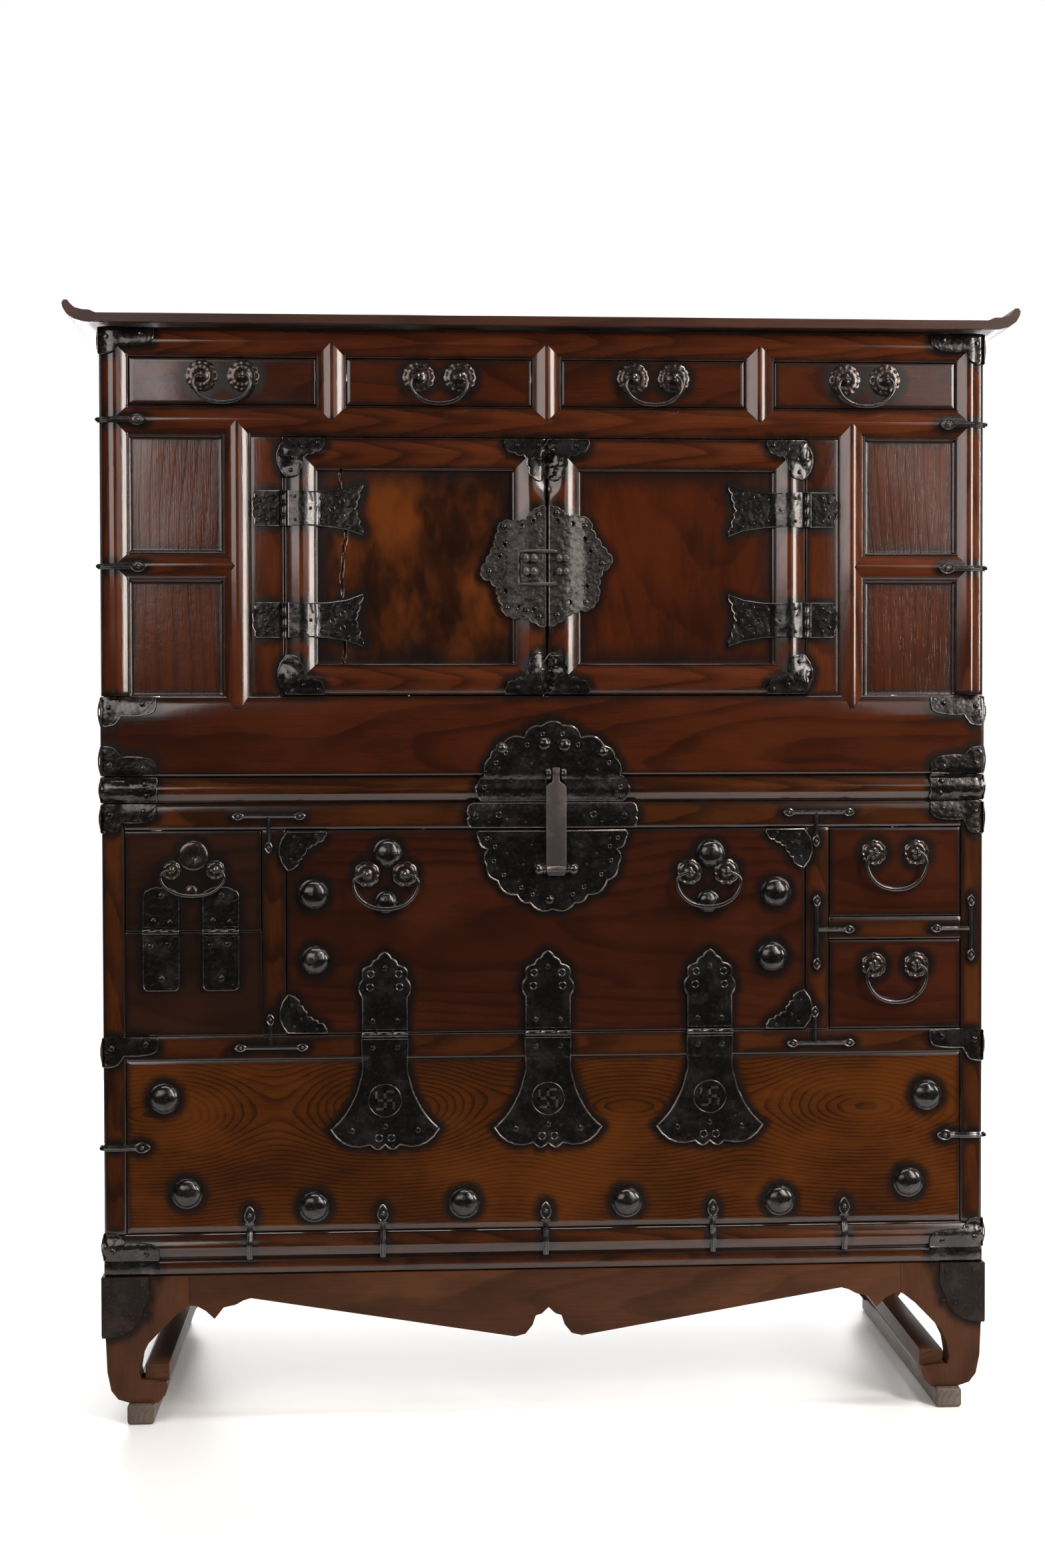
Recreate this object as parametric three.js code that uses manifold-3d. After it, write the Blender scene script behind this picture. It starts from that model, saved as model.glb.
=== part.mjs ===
// Two-tier iron-bound chest with drawers, doors and a drop front, on a low stand.
// Millimetres: x runs across the front, y from front to back, z up from the floor.

import * as THREE from 'three';
import { mergeVertices } from 'three/addons/utils/BufferGeometryUtils.js';
import Module from 'manifold-3d';

const wasm = await Module();
wasm.setup();

// Overall sizes
const caseWidth = 1080;
const caseDepth = 420;
const frontOverhang = 24;
const rearOverhang = 12;

// Heights of the tiers, from the floor up
const runnerHeight = 24;
const standHeight = 154.4;
const plinthHeight = 51;
const lowerPanelHeight = 211;
const sillHeight = 30;
const flapHeight = 250.2;
const lowerRailHeight = 32.7;
const waistHeight = 32.5;
const breastHeight = 97.2;
const doorHeight = 314.2;
const midRailHeight = 37.3;
const drawerHeight = 57.5;
const topRailHeight = 36;
const topBoardThickness = 15;

// Widths across the front, from the outside in
const upperPostWidth = 35;
const fieldWidth = 112;
const stileWidth = 34;
const stripWidth = 40;
const lowerPostWidth = 27;
const bayWidth = 165;
const partitionWidth = 29;
const muntinWidth = 36;

// Board thicknesses and the depths of the front members
const sideThickness = 22;
const backThickness = 12;
const frontThickness = 20;
const railDepth = 28;
const beadDepth = 12;
const crown = 7;
const floorThickness = 16;
const shelfThickness = 14;
const dividerThickness = 16;
const tipLength = 18;
const breastRound = 30;
const plinthRound = 31;

// Clearances
const seatGap = 0.3;
const runGap = 1;
const cutOverrun = 2;
const sink = 1;

// Heights of the seams between the tiers
const zStand = runnerHeight;
const zPlinth = zStand + standHeight;
const zPanel = zPlinth + plinthHeight;
const zSill = zPanel + lowerPanelHeight;
const zFlap = zSill + sillHeight;
const zLowerRail = zFlap + flapHeight;
const zWaist = zLowerRail + lowerRailHeight;
const zBreast = zWaist + waistHeight;
const zDoor = zBreast + breastHeight;
const zMidRail = zDoor + doorHeight;
const zDrawer = zMidRail + midRailHeight;
const zTopRail = zDrawer + drawerHeight;
const zTop = zTopRail + topRailHeight;

// Half widths and depths that the pieces share
const xCase = caseWidth / 2;
const xUpperPost = xCase - upperPostWidth;
const xStileOuter = xUpperPost - fieldWidth;
const xStileInner = xStileOuter - stileWidth;
const xDoor = xStileInner - stripWidth;
const xLowerPost = xCase - lowerPostWidth;
const xPartition = xLowerPost - bayWidth;
const xFlap = xPartition - partitionWidth;
const yFace = -(caseDepth + rearOverhang - frontOverhang) / 2;
const yRear = yFace + caseDepth;
const yBackBoard = yRear - backThickness;
const yRails = yFace + railDepth;

// Top board and its horns
const hornReach = 40;
const hornRise = 12.5;
const hornShares = [
  [0.55, 0.05], [0.85, 0.2], [1, 0.5], [0.96, 0.86], [0.82, 1], [0.62, 0.86], [0.3, 0.62],
];

// Drawers
const drawerWall = 8;
const drawerBottom = 6;
const drawerFrontThickness = 16;
const drawerBackClearance = 24;
const drawerTopClearance = 4;
const drawerCount = 4;

// Doors
const doorFrameWidth = 38;
const doorPanelRecess = 7;
const doorPanelBevel = 5;
const doorSeamGap = 2.4;

// Ironwork
const plateThickness = 2;
const barrelRadius = 4.5;
const pinRadius = 2.2;
const pinClearance = 0.7;

// Handles: spacing of the posts, half width, drop and wire radius of each bail
const rosetteHeight = 5;
const rosetteRim = 1;
const bailShares = [[0.97, -0.13], [1, -0.36], [0.83, -0.68], [0.48, -0.92]];
const eyeRadius = 4.6;
const eyeWidth = 6;
const eyeReach = 11.5;
const drawerBail = { spacing: 50, half: 34, drop: 33, wire: 2.3, rosette: 19, below: 22.5 };
const sideBail = { spacing: 53, half: 37, drop: 45, wire: 2.4, rosette: 15, below: 32 };
const flapBail = { spacing: 46, half: 39, drop: 42, wire: 2.4, rosette: 15.5, below: 54.5 };
const smallBail = { spacing: 53, half: 38, drop: 31, wire: 2, rosette: 11.5, below: 48 };
const flapBailShift = 11.5;

// Door strap hinges
const strapHeight = 43;
const strapLength = 95;
const strapTailSpread = 64;
const strapTailLength = 18;
const strapNotch = 12;
const strapBowShare = 0.08;
const lobeBowShare = 0.14;
const fixedLeafWidth = 30;
const upperStrapBelow = 87;
const lowerStrapAbove = 92;

// Door plate, its eyes and the latch loop
const doorPlateWidth = 164;
const doorPlateHeight = 150;
const doorPlateAbove = 158;
const latchWidth = 48;
const latchHeight = 40;
const latchPivotOffset = 35;
const latchWire = 2.9;
const doorEyeWidth = 14;
const doorEyeHeight = 11;
const doorEyeReach = 12;
const doorEyeSpacing = 16.5;
const doorEyeOffsets = { left: 23.5, right: 17 };
const doorPlateShares = [
  [0, -0.5, 0], [0.17, -0.47], [0.28, -0.41], [0.57, -0.39], [0.66, -0.35], [0.72, -0.22],
  [0.74, -0.17], [0.99, -0.09], [0.98, -0.02], [0.86, 0.08], [0.77, 0.2], [0.71, 0.33],
  [0.57, 0.36], [0.29, 0.4], [0, 0.5],
];

// Lock: upper plate, cross bar, lower plate and hasp
const lockOffset = 6;
const lockWidth = 187;
const lockUpperHeight = 98;
const lockBarWidth = 208;
const lockLowerWidth = 186;
const lockLowerHeight = 98;
const haspWidth = 25;
const haspThickness = 4;
const haspNeckWidth = 9;
const haspNeckLength = 20;
const haspTopAbove = 44;
const haspPivotBelow = 49;
const haspEnd = 8;
const lugRadius = 8;
const lugWidth = 14;
const lockEyeWidth = 8.5;
const haspLean = 4;
const lockUpperShares = [
  [0.11, 0.94], [0.33, 0.83], [0.35, 0.79, 0], [0.66, 0.73], [0.79, 0.6], [0.87, 0.43],
  [0.86, 0.36, 0], [1, 0.24], [0.98, 0.1], [0.9, 0],
];
const lockBarShares = [[0.93, 1, 0], [1, 0.72], [0.985, 0.45], [1, 0.2], [0.93, 0.02]];
const lockLowerShares = [
  [0.97, 1, 0], [0.98, 0.88], [0.86, 0.76], [0.88, 0.56], [0.73, 0.36], [0.47, 0.18],
  [0.3, 0.08], [0, 0],
];

// Flap hinges
const flapHingePitch = 199.5;
const flapLeafWidth = 57;
const flapLeafHeight = 101;
const flareWidth = 134;
const flareDrop = 142;
const flapLeafShares = [[1, 0, 0], [1, 0.62, 0], [0.88, 0.74], [0.5, 0.82], [0.3, 0.92, 0], [0, 1, 0]];
const flareShares = [
  [0.425, 0, 0], [0.42, 0.2, 0], [0.5, 0.38, -0.05], [0.64, 0.52], [0.8, 0.66], [1, 0.8],
  [0.86, 0.87], [0.58, 0.94], [0.28, 0.99], [0, 1],
];

// Small flap hinges and the split between small flap and bay panel
const smallFlapHeight = 123;
const smallHingeWidth = 44;
const smallLeafUp = 53;
const smallLeafDown = 72;
const smallHingeInsets = [43.5, 49.5];
const keyPlateRadius = 18;
const keyPlateHeight = 2.5;
const keyPlateBelow = 31;

// Side drawers
const sideRailHeight = 28;

// Stand
const standProud = 3;
const legWidth = 105;
const legThickness = 32;
const legShares = [
  [0, 1], [0.01, 0.6], [0.04, 0.5], [0.055, 0.25], [0.1, 0.1], [0.18, 0.03], [0.32, 0],
  [0.64, 0], [0.72, 0.06], [0.75, 0.13], [0.73, 0.16], [0.44, 0.18], [0.42, 0.24], [0.45, 0.36],
  [0.53, 0.47], [0.63, 0.54], [0.83, 0.68], [0.96, 0.75], [1, 0.765], [1, 1],
];
const apronThickness = 22;
const apronShares = [
  [0, 0.7], [0.019, 0.65], [0.036, 0.635], [0.045, 0.56], [0.065, 0.49], [0.094, 0.47],
  [0.83, 0.815], [0.85, 0.8], [0.873, 0.765], [0.906, 0.745], [0.931, 0.655], [0.955, 0.72],
  [0.98, 0.76], [1, 0.765], [1, 1],
];
const sideApronThickness = 22;
const sideApronHeight = 50;
const stretcherWidth = 29;
const stretcherHeight = 20;
const stretcherAbove = 25;
const stretcherInset = 51;
const stretcherSetBack = 6;
const runnerWidth = 33;
const runnerInset = 27;
const runnerRound = 5;

// Rounding of curves
const arcSteps = 6;
const lobeSteps = 3;
const tubeSides = 8;
const wireSides = 6;
const discSides = 12;
const holeSteps = 3;
const bailSteps = 18;

// Places that several pieces share
const xInside = xCase - sideThickness;
const lowerSpan = [-xLowerPost, xLowerPost];
const ySolid = [yFace, yFace + frontThickness];
const yPlate = yFace - seatGap;
const yBarrel = yFace - barrelRadius - seatGap;
const bayPitch = (2 * xUpperPost + muntinWidth) / drawerCount;
const muntins = [-1, 0, 1].map((step) => {
  const middle = step * bayPitch;
  return { middle, across: [middle - muntinWidth / 2, middle + muntinWidth / 2] };
});
const muntinRise = [zDrawer, zTopRail];
const stiles = [-1, 1].map((side) => sideways(side, xStileInner, xStileOuter));
const stileRise = [zDoor, zMidRail];
const strapCentres = [zMidRail - upperStrapBelow, zDoor + lowerStrapAbove];
const zDoorPlate = zDoor + doorPlateAbove;
const haspMiddle = lockOffset + haspLean;
const zHaspTop = zWaist + haspTopAbove;
const yHasp = yPlate - crown - plateThickness - seatGap - haspThickness / 2;
const zHasp = zLowerRail - haspPivotBelow;
const zSmallFlap = zLowerRail - smallFlapHeight;
const smallBay = [-xLowerPost, -xPartition];
const smallHingeX = [-xLowerPost + smallHingeInsets[0], -xPartition - smallHingeInsets[1]];
const bay = [xPartition, xLowerPost];
const zSideRail = zFlap + (flapHeight - sideRailHeight) / 2;
const zUpperSide = zSideRail + sideRailHeight;
const xStand = xCase + standProud;
const yStand = yFace - standProud;
const zFeet = zStand + seatGap / 2;
const standRise = zPlinth - seatGap / 2 - zFeet;

// Finishes
const darkWood = { color: 0x3a1a10, roughness: 0.35, metalness: 0 };
const warmWood = { color: 0x6a2f12, roughness: 0.4, metalness: 0 };
const plainWood = { color: 0x54301c, roughness: 0.6, metalness: 0 };
const iron = { color: 0x1c1a1a, roughness: 0.4, metalness: 0.9 };

const chest = new THREE.Group();

/** Adds one named piece to the chest. */
function add(name, body, finish) {
  const mesh = new THREE.Mesh(geometryOf(body), new THREE.MeshStandardMaterial(finish));
  mesh.name = name;
  chest.add(mesh);
}

/** Turns a closed geometry into a solid that can be joined and cut. */
function solid(geometry) {
  const plain = geometry.clone();
  plain.deleteAttribute('normal');
  plain.deleteAttribute('uv');
  const merged = mergeVertices(plain);
  return new wasm.Manifold(new wasm.Mesh({
    numProp: 3,
    vertProperties: Float32Array.from(merged.attributes.position.array),
    triVerts: Uint32Array.from(merged.index.array),
  }));
}

/** Turns a solid back into a geometry. */
function geometryOf(body) {
  const mesh = body.getMesh();
  const geometry = new THREE.BufferGeometry();
  geometry.setAttribute('position', new THREE.BufferAttribute(mesh.vertProperties, 3));
  geometry.setIndex(new THREE.BufferAttribute(mesh.triVerts, 1));
  geometry.computeVertexNormals();
  return geometry;
}

/** Joins several solids into one. */
function join(...bodies) {
  return bodies.reduce((whole, body) => whole.add(body));
}

/** Box between nominal faces, each drawn in by half the gap. */
function box(x, y, z, gap = seatGap) {
  const size = [x, y, z].map(([low, high]) => high - low - gap);
  const centre = [x, y, z].map(([low, high]) => (low + high) / 2);
  return solid(new THREE.BoxGeometry(...size).translate(...centre));
}

/** Box whose front edges lie further out than its back edges by the spread. */
function taperedBox(x, y, z, spread) {
  const size = [x, y, z].map(([low, high]) => high - low);
  const centre = [x, y, z].map(([low, high]) => (low + high) / 2);
  const geometry = new THREE.BoxGeometry(...size);
  const corners = geometry.attributes.position;
  for (let index = 0; index < corners.count; index += 1) {
    const out = corners.getY(index) < 0 ? spread : 0;
    corners.setX(index, corners.getX(index) + Math.sign(corners.getX(index)) * out);
    corners.setZ(index, corners.getZ(index) + Math.sign(corners.getZ(index)) * out);
  }
  return solid(geometry.translate(...centre));
}

/** A range mirrored to the side given by its sign. */
function sideways(side, low, high) {
  return side > 0 ? [low, high] : [-high, -low];
}

/** A range drawn in by half a seat gap at both ends. */
function drawnIn([low, high], gap = seatGap) {
  return [low + gap / 2, high - gap / 2];
}

/** Closed outline through points. */
function outline(points) {
  return new THREE.Shape(points.map(([u, v]) => new THREE.Vector2(u, v)));
}

/** Closed outline; the run that ends at each point bows out by a share of its length. */
function lobed(points, bulge) {
  const turn = Math.sign(THREE.ShapeUtils.area(points.map(([x, y]) => ({ x, y }))));
  const shape = new THREE.Shape();
  shape.moveTo(points[0][0], points[0][1]);
  points.forEach(([u, v], index) => {
    const [nextU, nextV, own] = points[(index + 1) % points.length];
    const bow = (own ?? bulge) * 2 * turn;
    const middleU = (u + nextU) / 2 + (nextV - v) * bow;
    const middleV = (v + nextV) / 2 - (nextU - u) * bow;
    if (bow === 0) {
      shape.lineTo(nextU, nextV);
    } else {
      shape.quadraticCurveTo(middleU, middleV, nextU, nextV);
    }
  });
  return shape;
}

/** Ring made of points to the right of a middle line and their mirror images. */
function bothSides(points, xMiddle = 0, zBase = 0) {
  const right = points.map(([u, v, bow]) => [xMiddle + u, zBase + v, bow]);
  const left = points.map(([u, v], index) => {
    const next = points[index + 1];
    return [xMiddle - u, zBase + v, next ? next[2] : 0];
  });
  const paired = left.filter((point, index) => points[index][0] !== 0);
  return [...right, ...paired.toReversed()];
}

/** Outline points worked out from shares of a width and a height. */
function scaled(shares, width, height) {
  return shares.map(([u, v, bow]) => [u * width, v * height, bow]);
}

/** Plate cut from an outline in x and z, with its back at yBack. */
function plate(shape, yBack, thickness, steps = lobeSteps) {
  const options = { depth: thickness, bevelEnabled: false, curveSegments: steps };
  const geometry = new THREE.ExtrudeGeometry(shape, options);
  return solid(geometry.rotateX(Math.PI / 2).translate(0, yBack, 0));
}

/** Bar with a section in x and y that runs up z. */
function barAlongZ(section, [low, high], steps = arcSteps) {
  const options = { depth: high - low, bevelEnabled: false, curveSegments: steps };
  return solid(new THREE.ExtrudeGeometry(section, options).translate(0, 0, low));
}

/** Bar with a section in y and z that runs along x. */
function barAlongX(section, [low, high], steps = arcSteps) {
  const options = { depth: high - low, bevelEnabled: false, curveSegments: steps };
  const along = new THREE.Vector3(1, 0, 0);
  const across = new THREE.Vector3(0, 1, 0);
  const up = new THREE.Vector3(0, 0, 1);
  const turn = new THREE.Matrix4().makeBasis(across, up, along);
  return solid(new THREE.ExtrudeGeometry(section, options).applyMatrix4(turn).translate(low, 0, 0));
}

/** Upright front member with a rounded face. */
function roundedPost(x, depth, z) {
  const [left, right] = drawnIn(x);
  const section = new THREE.Shape();
  section.moveTo(left, yFace + depth);
  section.lineTo(right, yFace + depth);
  section.lineTo(right, yFace);
  section.quadraticCurveTo((left + right) / 2, yFace - 2 * crown, left, yFace);
  return barAlongZ(section, drawnIn(z));
}

/** Level front member with a rounded face. */
function roundedRail(x, depth, z) {
  const [bottom, top] = drawnIn(z);
  const section = new THREE.Shape();
  section.moveTo(yFace + depth, bottom);
  section.lineTo(yFace + depth, top);
  section.lineTo(yFace, top);
  section.quadraticCurveTo(yFace - 2 * crown, (bottom + top) / 2, yFace, bottom);
  return barAlongX(section, drawnIn(x));
}

/** Outline of an upright member with a point at each end. */
function pointedOutline([left, right], [bottom, top], grow = 0) {
  const middle = (left + right) / 2;
  return outline([
    [left - grow, bottom - grow], [middle, bottom - tipLength - grow],
    [right + grow, bottom - grow], [right + grow, top + grow],
    [middle, top + tipLength + grow], [left - grow, top + grow],
  ]);
}

/** Rounded upright bead with pointed ends that reach into the rails. */
function pointedBead(x, z) {
  const reach = [z[0] - tipLength, z[1] + tipLength];
  const bead = roundedPost(x, beadDepth, reach);
  const cutter = plate(pointedOutline(drawnIn(x), z), yFace + railDepth, railDepth + 2 * crown);
  return bead.intersect(cutter);
}

/** Space that a pointed bead needs in the rails that it reaches into. */
function beadSocket(x, z) {
  const depth = beadDepth + 2 * crown;
  return plate(pointedOutline(x, z, seatGap), yFace + beadDepth + seatGap, depth);
}

/** Round bar between two points on a line along x. */
function roundAlongX([low, high], y, z, radius, sides = tubeSides) {
  const turn = Math.PI / sides;
  const bar = new THREE.CylinderGeometry(radius, radius, high - low, sides).rotateY(turn);
  return solid(bar.rotateZ(Math.PI / 2).translate((low + high) / 2, y, z));
}

/** Round bar that stands on a line along z. */
function roundAlongZ([low, high], x, y, radius, sides = tubeSides) {
  const bar = new THREE.CylinderGeometry(radius, radius, high - low, sides);
  return solid(bar.rotateX(Math.PI / 2).translate(x, y, (low + high) / 2));
}

/** Low domed disc on a front face. */
function dome(x, z, radius, height, yBack = yFace) {
  const profile = [
    [0, -sink], [radius, -sink], [radius, rosetteRim], [radius / 2, height], [0, height],
  ].map(([r, h]) => new THREE.Vector2(r, h));
  return solid(new THREE.LatheGeometry(profile, discSides).rotateX(Math.PI).translate(x, yBack, z));
}

/** Iron eye on a front face with a hole along x for a pin. */
function eye(x, z, width, radius, reach, pin, yBack = yFace) {
  const section = new THREE.Shape();
  const yHole = yFace - reach;
  section.moveTo(yBack + sink, z - radius);
  section.lineTo(yHole, z - radius);
  section.absarc(yHole, z, radius, -Math.PI / 2, Math.PI / 2, true);
  section.lineTo(yBack + sink, z + radius);
  const hole = new THREE.Path();
  hole.absarc(yHole, z, pin + pinClearance, 0, 2 * Math.PI, false);
  section.holes.push(hole);
  return barAlongX(section, [x - width / 2, x + width / 2], holeSteps);
}

/** The two rosettes and eyes that carry a bail. */
function handleMounts(x, z, size) {
  const posts = [-1, 1].map((side) => x + side * size.spacing / 2);
  return posts.flatMap((post) => [
    dome(post, z, size.rosette, rosetteHeight),
    eye(post, z, eyeWidth, eyeRadius, eyeReach, size.wire),
  ]);
}

/** Bail handle whose ends pass inwards through its two eyes. */
function bail(x, z, size) {
  const post = size.spacing / 2;
  const inner = post - eyeWidth;
  const outer = post + eyeWidth;
  const side = [
    [inner, 0], [post, 0], [outer, 0],
    ...bailShares.map(([u, v]) => [u * size.half, v * size.drop]),
  ];
  const path = [
    ...side.map(([u, v]) => [-u, v]), [0, -size.drop], ...side.toReversed(),
  ].map(([u, v]) => new THREE.Vector3(x + u, yFace - eyeReach, z + v));
  const ring = Array.from({ length: wireSides }, (_, index) => {
    const angle = (index * 2 * Math.PI) / wireSides;
    return [Math.cos(angle) * size.wire, Math.sin(angle) * size.wire];
  });
  const extrudePath = new THREE.CatmullRomCurve3(path);
  return solid(new THREE.ExtrudeGeometry(outline(ring), { extrudePath, steps: bailSteps }));
}

/** Shallow upside-down tray with a rounded front, such as a moulding with its floor. */
function mouldedFloor([bottom, top], roundHeight, thickness) {
  const [low, high] = drawnIn([bottom, top]);
  const section = new THREE.Shape();
  section.moveTo(yRear, low);
  section.lineTo(yRear, high);
  section.lineTo(yFace, high);
  section.quadraticCurveTo(yFace - 2 * crown, high - roundHeight / 2, yFace, high - roundHeight);
  section.lineTo(yFace, low);
  const hollowX = [-xInside, xInside];
  const hollow = box(hollowX, [yRails, yBackBoard], [bottom - cutOverrun, top - thickness], 0);
  return barAlongX(section, [-xCase, xCase]).subtract(hollow);
}

/** Small hinge leaf that reaches up or down from its barrel. */
function smallLeaf(x, reach, own) {
  const across = [x - smallHingeWidth / 2, x + smallHingeWidth / 2];
  const rise = reach > 0 ? [zSmallFlap, zSmallFlap + reach] : [zSmallFlap + reach, zSmallFlap];
  const leaf = box(across, [yFace - plateThickness, yFace + sink], rise, 0);
  const third = smallHingeWidth / 3 - seatGap;
  const ends = [[across[0], across[0] + third], [across[1] - third, across[1]]];
  const middle = [across[0] + third + seatGap, across[1] - third - seatGap];
  const barrels = own === 'middle' ? [middle] : ends;
  const others = own === 'middle' ? ends : [middle];
  const yClear = [yFace - 2 * barrelRadius - sink, yFace];
  const zClear = [zSmallFlap - barrelRadius - seatGap, zSmallFlap + barrelRadius + seatGap];
  const cuts = others.map(([low, high]) => box([low - seatGap, high + seatGap], yClear, zClear, 0));
  const rounds = barrels.map((run) => roundAlongX(run, yBarrel, zSmallFlap, barrelRadius));
  return join(cuts.reduce((whole, cut) => whole.subtract(cut), leaf), ...rounds);
}

/** Drawer open at the top, with its rosettes and eyes. */
function drawer([left, right], [bottom, top], size) {
  const across = [left + runGap, right - runGap];
  const board = box(across, [yFace, yFace + drawerFrontThickness], [bottom + runGap, top - runGap], 0);
  const rear = yBackBoard - drawerBackClearance;
  const floor = bottom + seatGap / 2;
  const rim = top - drawerTopClearance;
  const yBox = yFace + drawerFrontThickness;
  const tray = box(across, [yBox - sink, rear], [floor, rim], 0);
  const inside = [across[0] + drawerWall, across[1] - drawerWall];
  const zHollow = [floor + drawerBottom, rim + cutOverrun];
  const hollow = box(inside, [yBox, rear - drawerWall], zHollow, 0);
  const middle = (left + right) / 2;
  const mounts = handleMounts(middle, top - size.below, size);
  return join(join(board, tray).subtract(hollow), ...mounts);
}

/** Stud on a plate with a rounded outline and a narrower front. */
function roundedStud([left, right], [bottom, top], reach) {
  const chamfer = (top - bottom) / 4;
  const points = [
    [left + chamfer, bottom], [right - chamfer, bottom], [right, bottom + chamfer],
    [right, top - chamfer], [right - chamfer, top], [left + chamfer, top],
    [left, top - chamfer], [left, bottom + chamfer],
  ];
  return plate(outline(points), yFace - plateThickness, reach);
}

// Top board with upturned horns
{
  const bottom = zTop + seatGap / 2;
  const hornHeight = topBoardThickness + hornRise;
  const horn = hornShares.map(([u, v]) => [xCase + u * hornReach, bottom + v * hornHeight]);
  const flat = [xCase, bottom + topBoardThickness];
  const shape = outline(bothSides([[xCase, bottom], ...horn, flat]));
  const depth = frontOverhang + caseDepth + rearOverhang;
  add('top_board', plate(shape, yRear + rearOverhang, depth), darkWood);
}

// Case sides with their front posts, and the backs
for (const [side, word] of [[-1, 'left'], [1, 'right']]) {
  const board = sideways(side, xCase - sideThickness, xCase);
  const upperBoard = box(board, [yFace + frontThickness, yRear], [zBreast, zTop]);
  const upperPost = roundedPost(sideways(side, xUpperPost, xCase), railDepth, [zDoor, zTop]);
  add(`upper_side_${word}`, join(upperBoard, upperPost), darkWood);
  const lowerBoard = box(board, [yFace + railDepth / 2, yRear], [zPanel, zWaist]);
  const lowerPost = box(sideways(side, xLowerPost, xCase), [yFace, yRails], [zPanel, zWaist]);
  add(`lower_side_${word}`, join(lowerBoard, lowerPost), warmWood);
}
add('upper_back', box([-xInside, xInside], [yBackBoard, yRear], [zBreast, zTop]), plainWood);
add('lower_back', box([-xInside, xInside], [yBackBoard, yRear], [zPanel, zWaist]), plainWood);

// Drawer rack: deck, rounded mid rail and the partitions between the small drawers
{
  const rail = roundedRail([-xUpperPost, xUpperPost], railDepth, [zMidRail, zDrawer]);
  const deckTop = [zDrawer - shelfThickness, zDrawer];
  const deck = box([-xInside, xInside], [yFace + railDepth, yBackBoard], deckTop);
  const bridge = box([-xUpperPost, xUpperPost], [yFace + beadDepth, yRails + sink], deckTop);
  const dividers = muntins.flatMap(({ middle, across }) => {
    const thin = [middle - dividerThickness / 2, middle + dividerThickness / 2];
    const rise = [zDrawer - sink, zTopRail];
    const board = box(thin, [yFace + beadDepth - sink, yBackBoard], rise);
    const cap = box(across, [yFace + sink, yFace + beadDepth], rise);
    return [board, cap, pointedBead(across, muntinRise)];
  });
  const rack = join(rail, deck, bridge, ...dividers);
  const sockets = join(...stiles.map((stile) => beadSocket(stile, stileRise)));
  add('drawer_rack', rack.subtract(sockets), darkWood);
  const topRail = roundedRail([-xUpperPost, xUpperPost], railDepth, [zTopRail, zTop]);
  const notches = join(...muntins.map(({ across }) => beadSocket(across, muntinRise)));
  add('top_rail', topRail.subtract(notches), darkWood);
}

// Front panels beside the doors, with the fixed leaves of the door hinges
for (const [side, word] of [[-1, 'left'], [1, 'right']]) {
  const whole = sideways(side, xDoor + runGap / 2, xUpperPost);
  const board = box(whole, [yFace, yFace + frontThickness], [zDoor, zMidRail]);
  const stile = pointedBead(sideways(side, xStileInner, xStileOuter), stileRise);
  const middle = (zDoor + zMidRail) / 2;
  const crossHalf = stileWidth / 2;
  const crossReach = sideways(side, xStileOuter - stileWidth / 4, xUpperPost);
  const cross = roundedRail(crossReach, beadDepth, [middle - crossHalf, middle + crossHalf]);
  const leaves = strapCentres.flatMap((z) => {
    const rise = [z - strapHeight / 2, z + strapHeight / 2];
    const across = sideways(side, xDoor, xDoor + barrelRadius + fixedLeafWidth);
    const leaf = box(across, [yFace - plateThickness, yFace + sink], rise, 0);
    const knuckle = strapHeight / 3 - seatGap;
    const low = roundAlongZ([rise[0], rise[0] + knuckle], side * xDoor, yBarrel, barrelRadius);
    const high = roundAlongZ([rise[1] - knuckle, rise[1]], side * xDoor, yBarrel, barrelRadius);
    const slot = [rise[0] + knuckle, rise[1] - knuckle];
    const clear = sideways(side, xDoor - barrelRadius, xDoor + barrelRadius + 2 * seatGap);
    const gap = box(clear, [yFace - 2 * barrelRadius - sink, yFace], slot, 0);
    return [leaf.subtract(gap), low, high];
  });
  add(`front_panel_${word}`, join(board, stile, cross, ...leaves), darkWood);
}

// Breast board, waist moulding with the upper floor, and plinth with the lower floor
{
  const [bottom, top] = drawnIn([zBreast, zDoor]);
  const [front, rear] = [yFace, yFace + frontThickness - seatGap / 2];
  const section = new THREE.Shape();
  section.moveTo(rear, bottom);
  section.lineTo(rear, top);
  section.lineTo(front, top);
  section.quadraticCurveTo(front - 2 * crown, top - breastRound / 2, front, top - breastRound);
  section.lineTo(front, bottom);
  const board = barAlongX(section, [-xCase, xCase]);
  const sockets = join(...stiles.map((stile) => beadSocket(stile, stileRise)));
  add('breast_board', board.subtract(sockets), darkWood);
}

const waistRound = waistHeight - sink;
add('waist_moulding', mouldedFloor([zWaist, zBreast], waistRound, floorThickness), darkWood);
add('plinth', mouldedFloor([zPlinth, zPanel], plinthRound, floorThickness), warmWood);

// Lower front: top rail, lower panel with the sill, small bay panel
add('lower_top_rail', box(lowerSpan, [yFace, yRails], [zLowerRail, zWaist]), warmWood);
add('lower_panel', box(lowerSpan, ySolid, [zPanel, zFlap]), warmWood);

{
  const panel = box(smallBay, ySolid, [zFlap, zSmallFlap - runGap / 2]);
  const floor = box(smallBay, [yFace + beadDepth, yBackBoard], [zFlap, zFlap + shelfThickness]);
  const leaves = smallHingeX.map((x) => smallLeaf(x, -smallLeafDown, 'ends'));
  add('small_bay_panel', join(panel, floor, ...leaves), warmWood);
}

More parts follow.
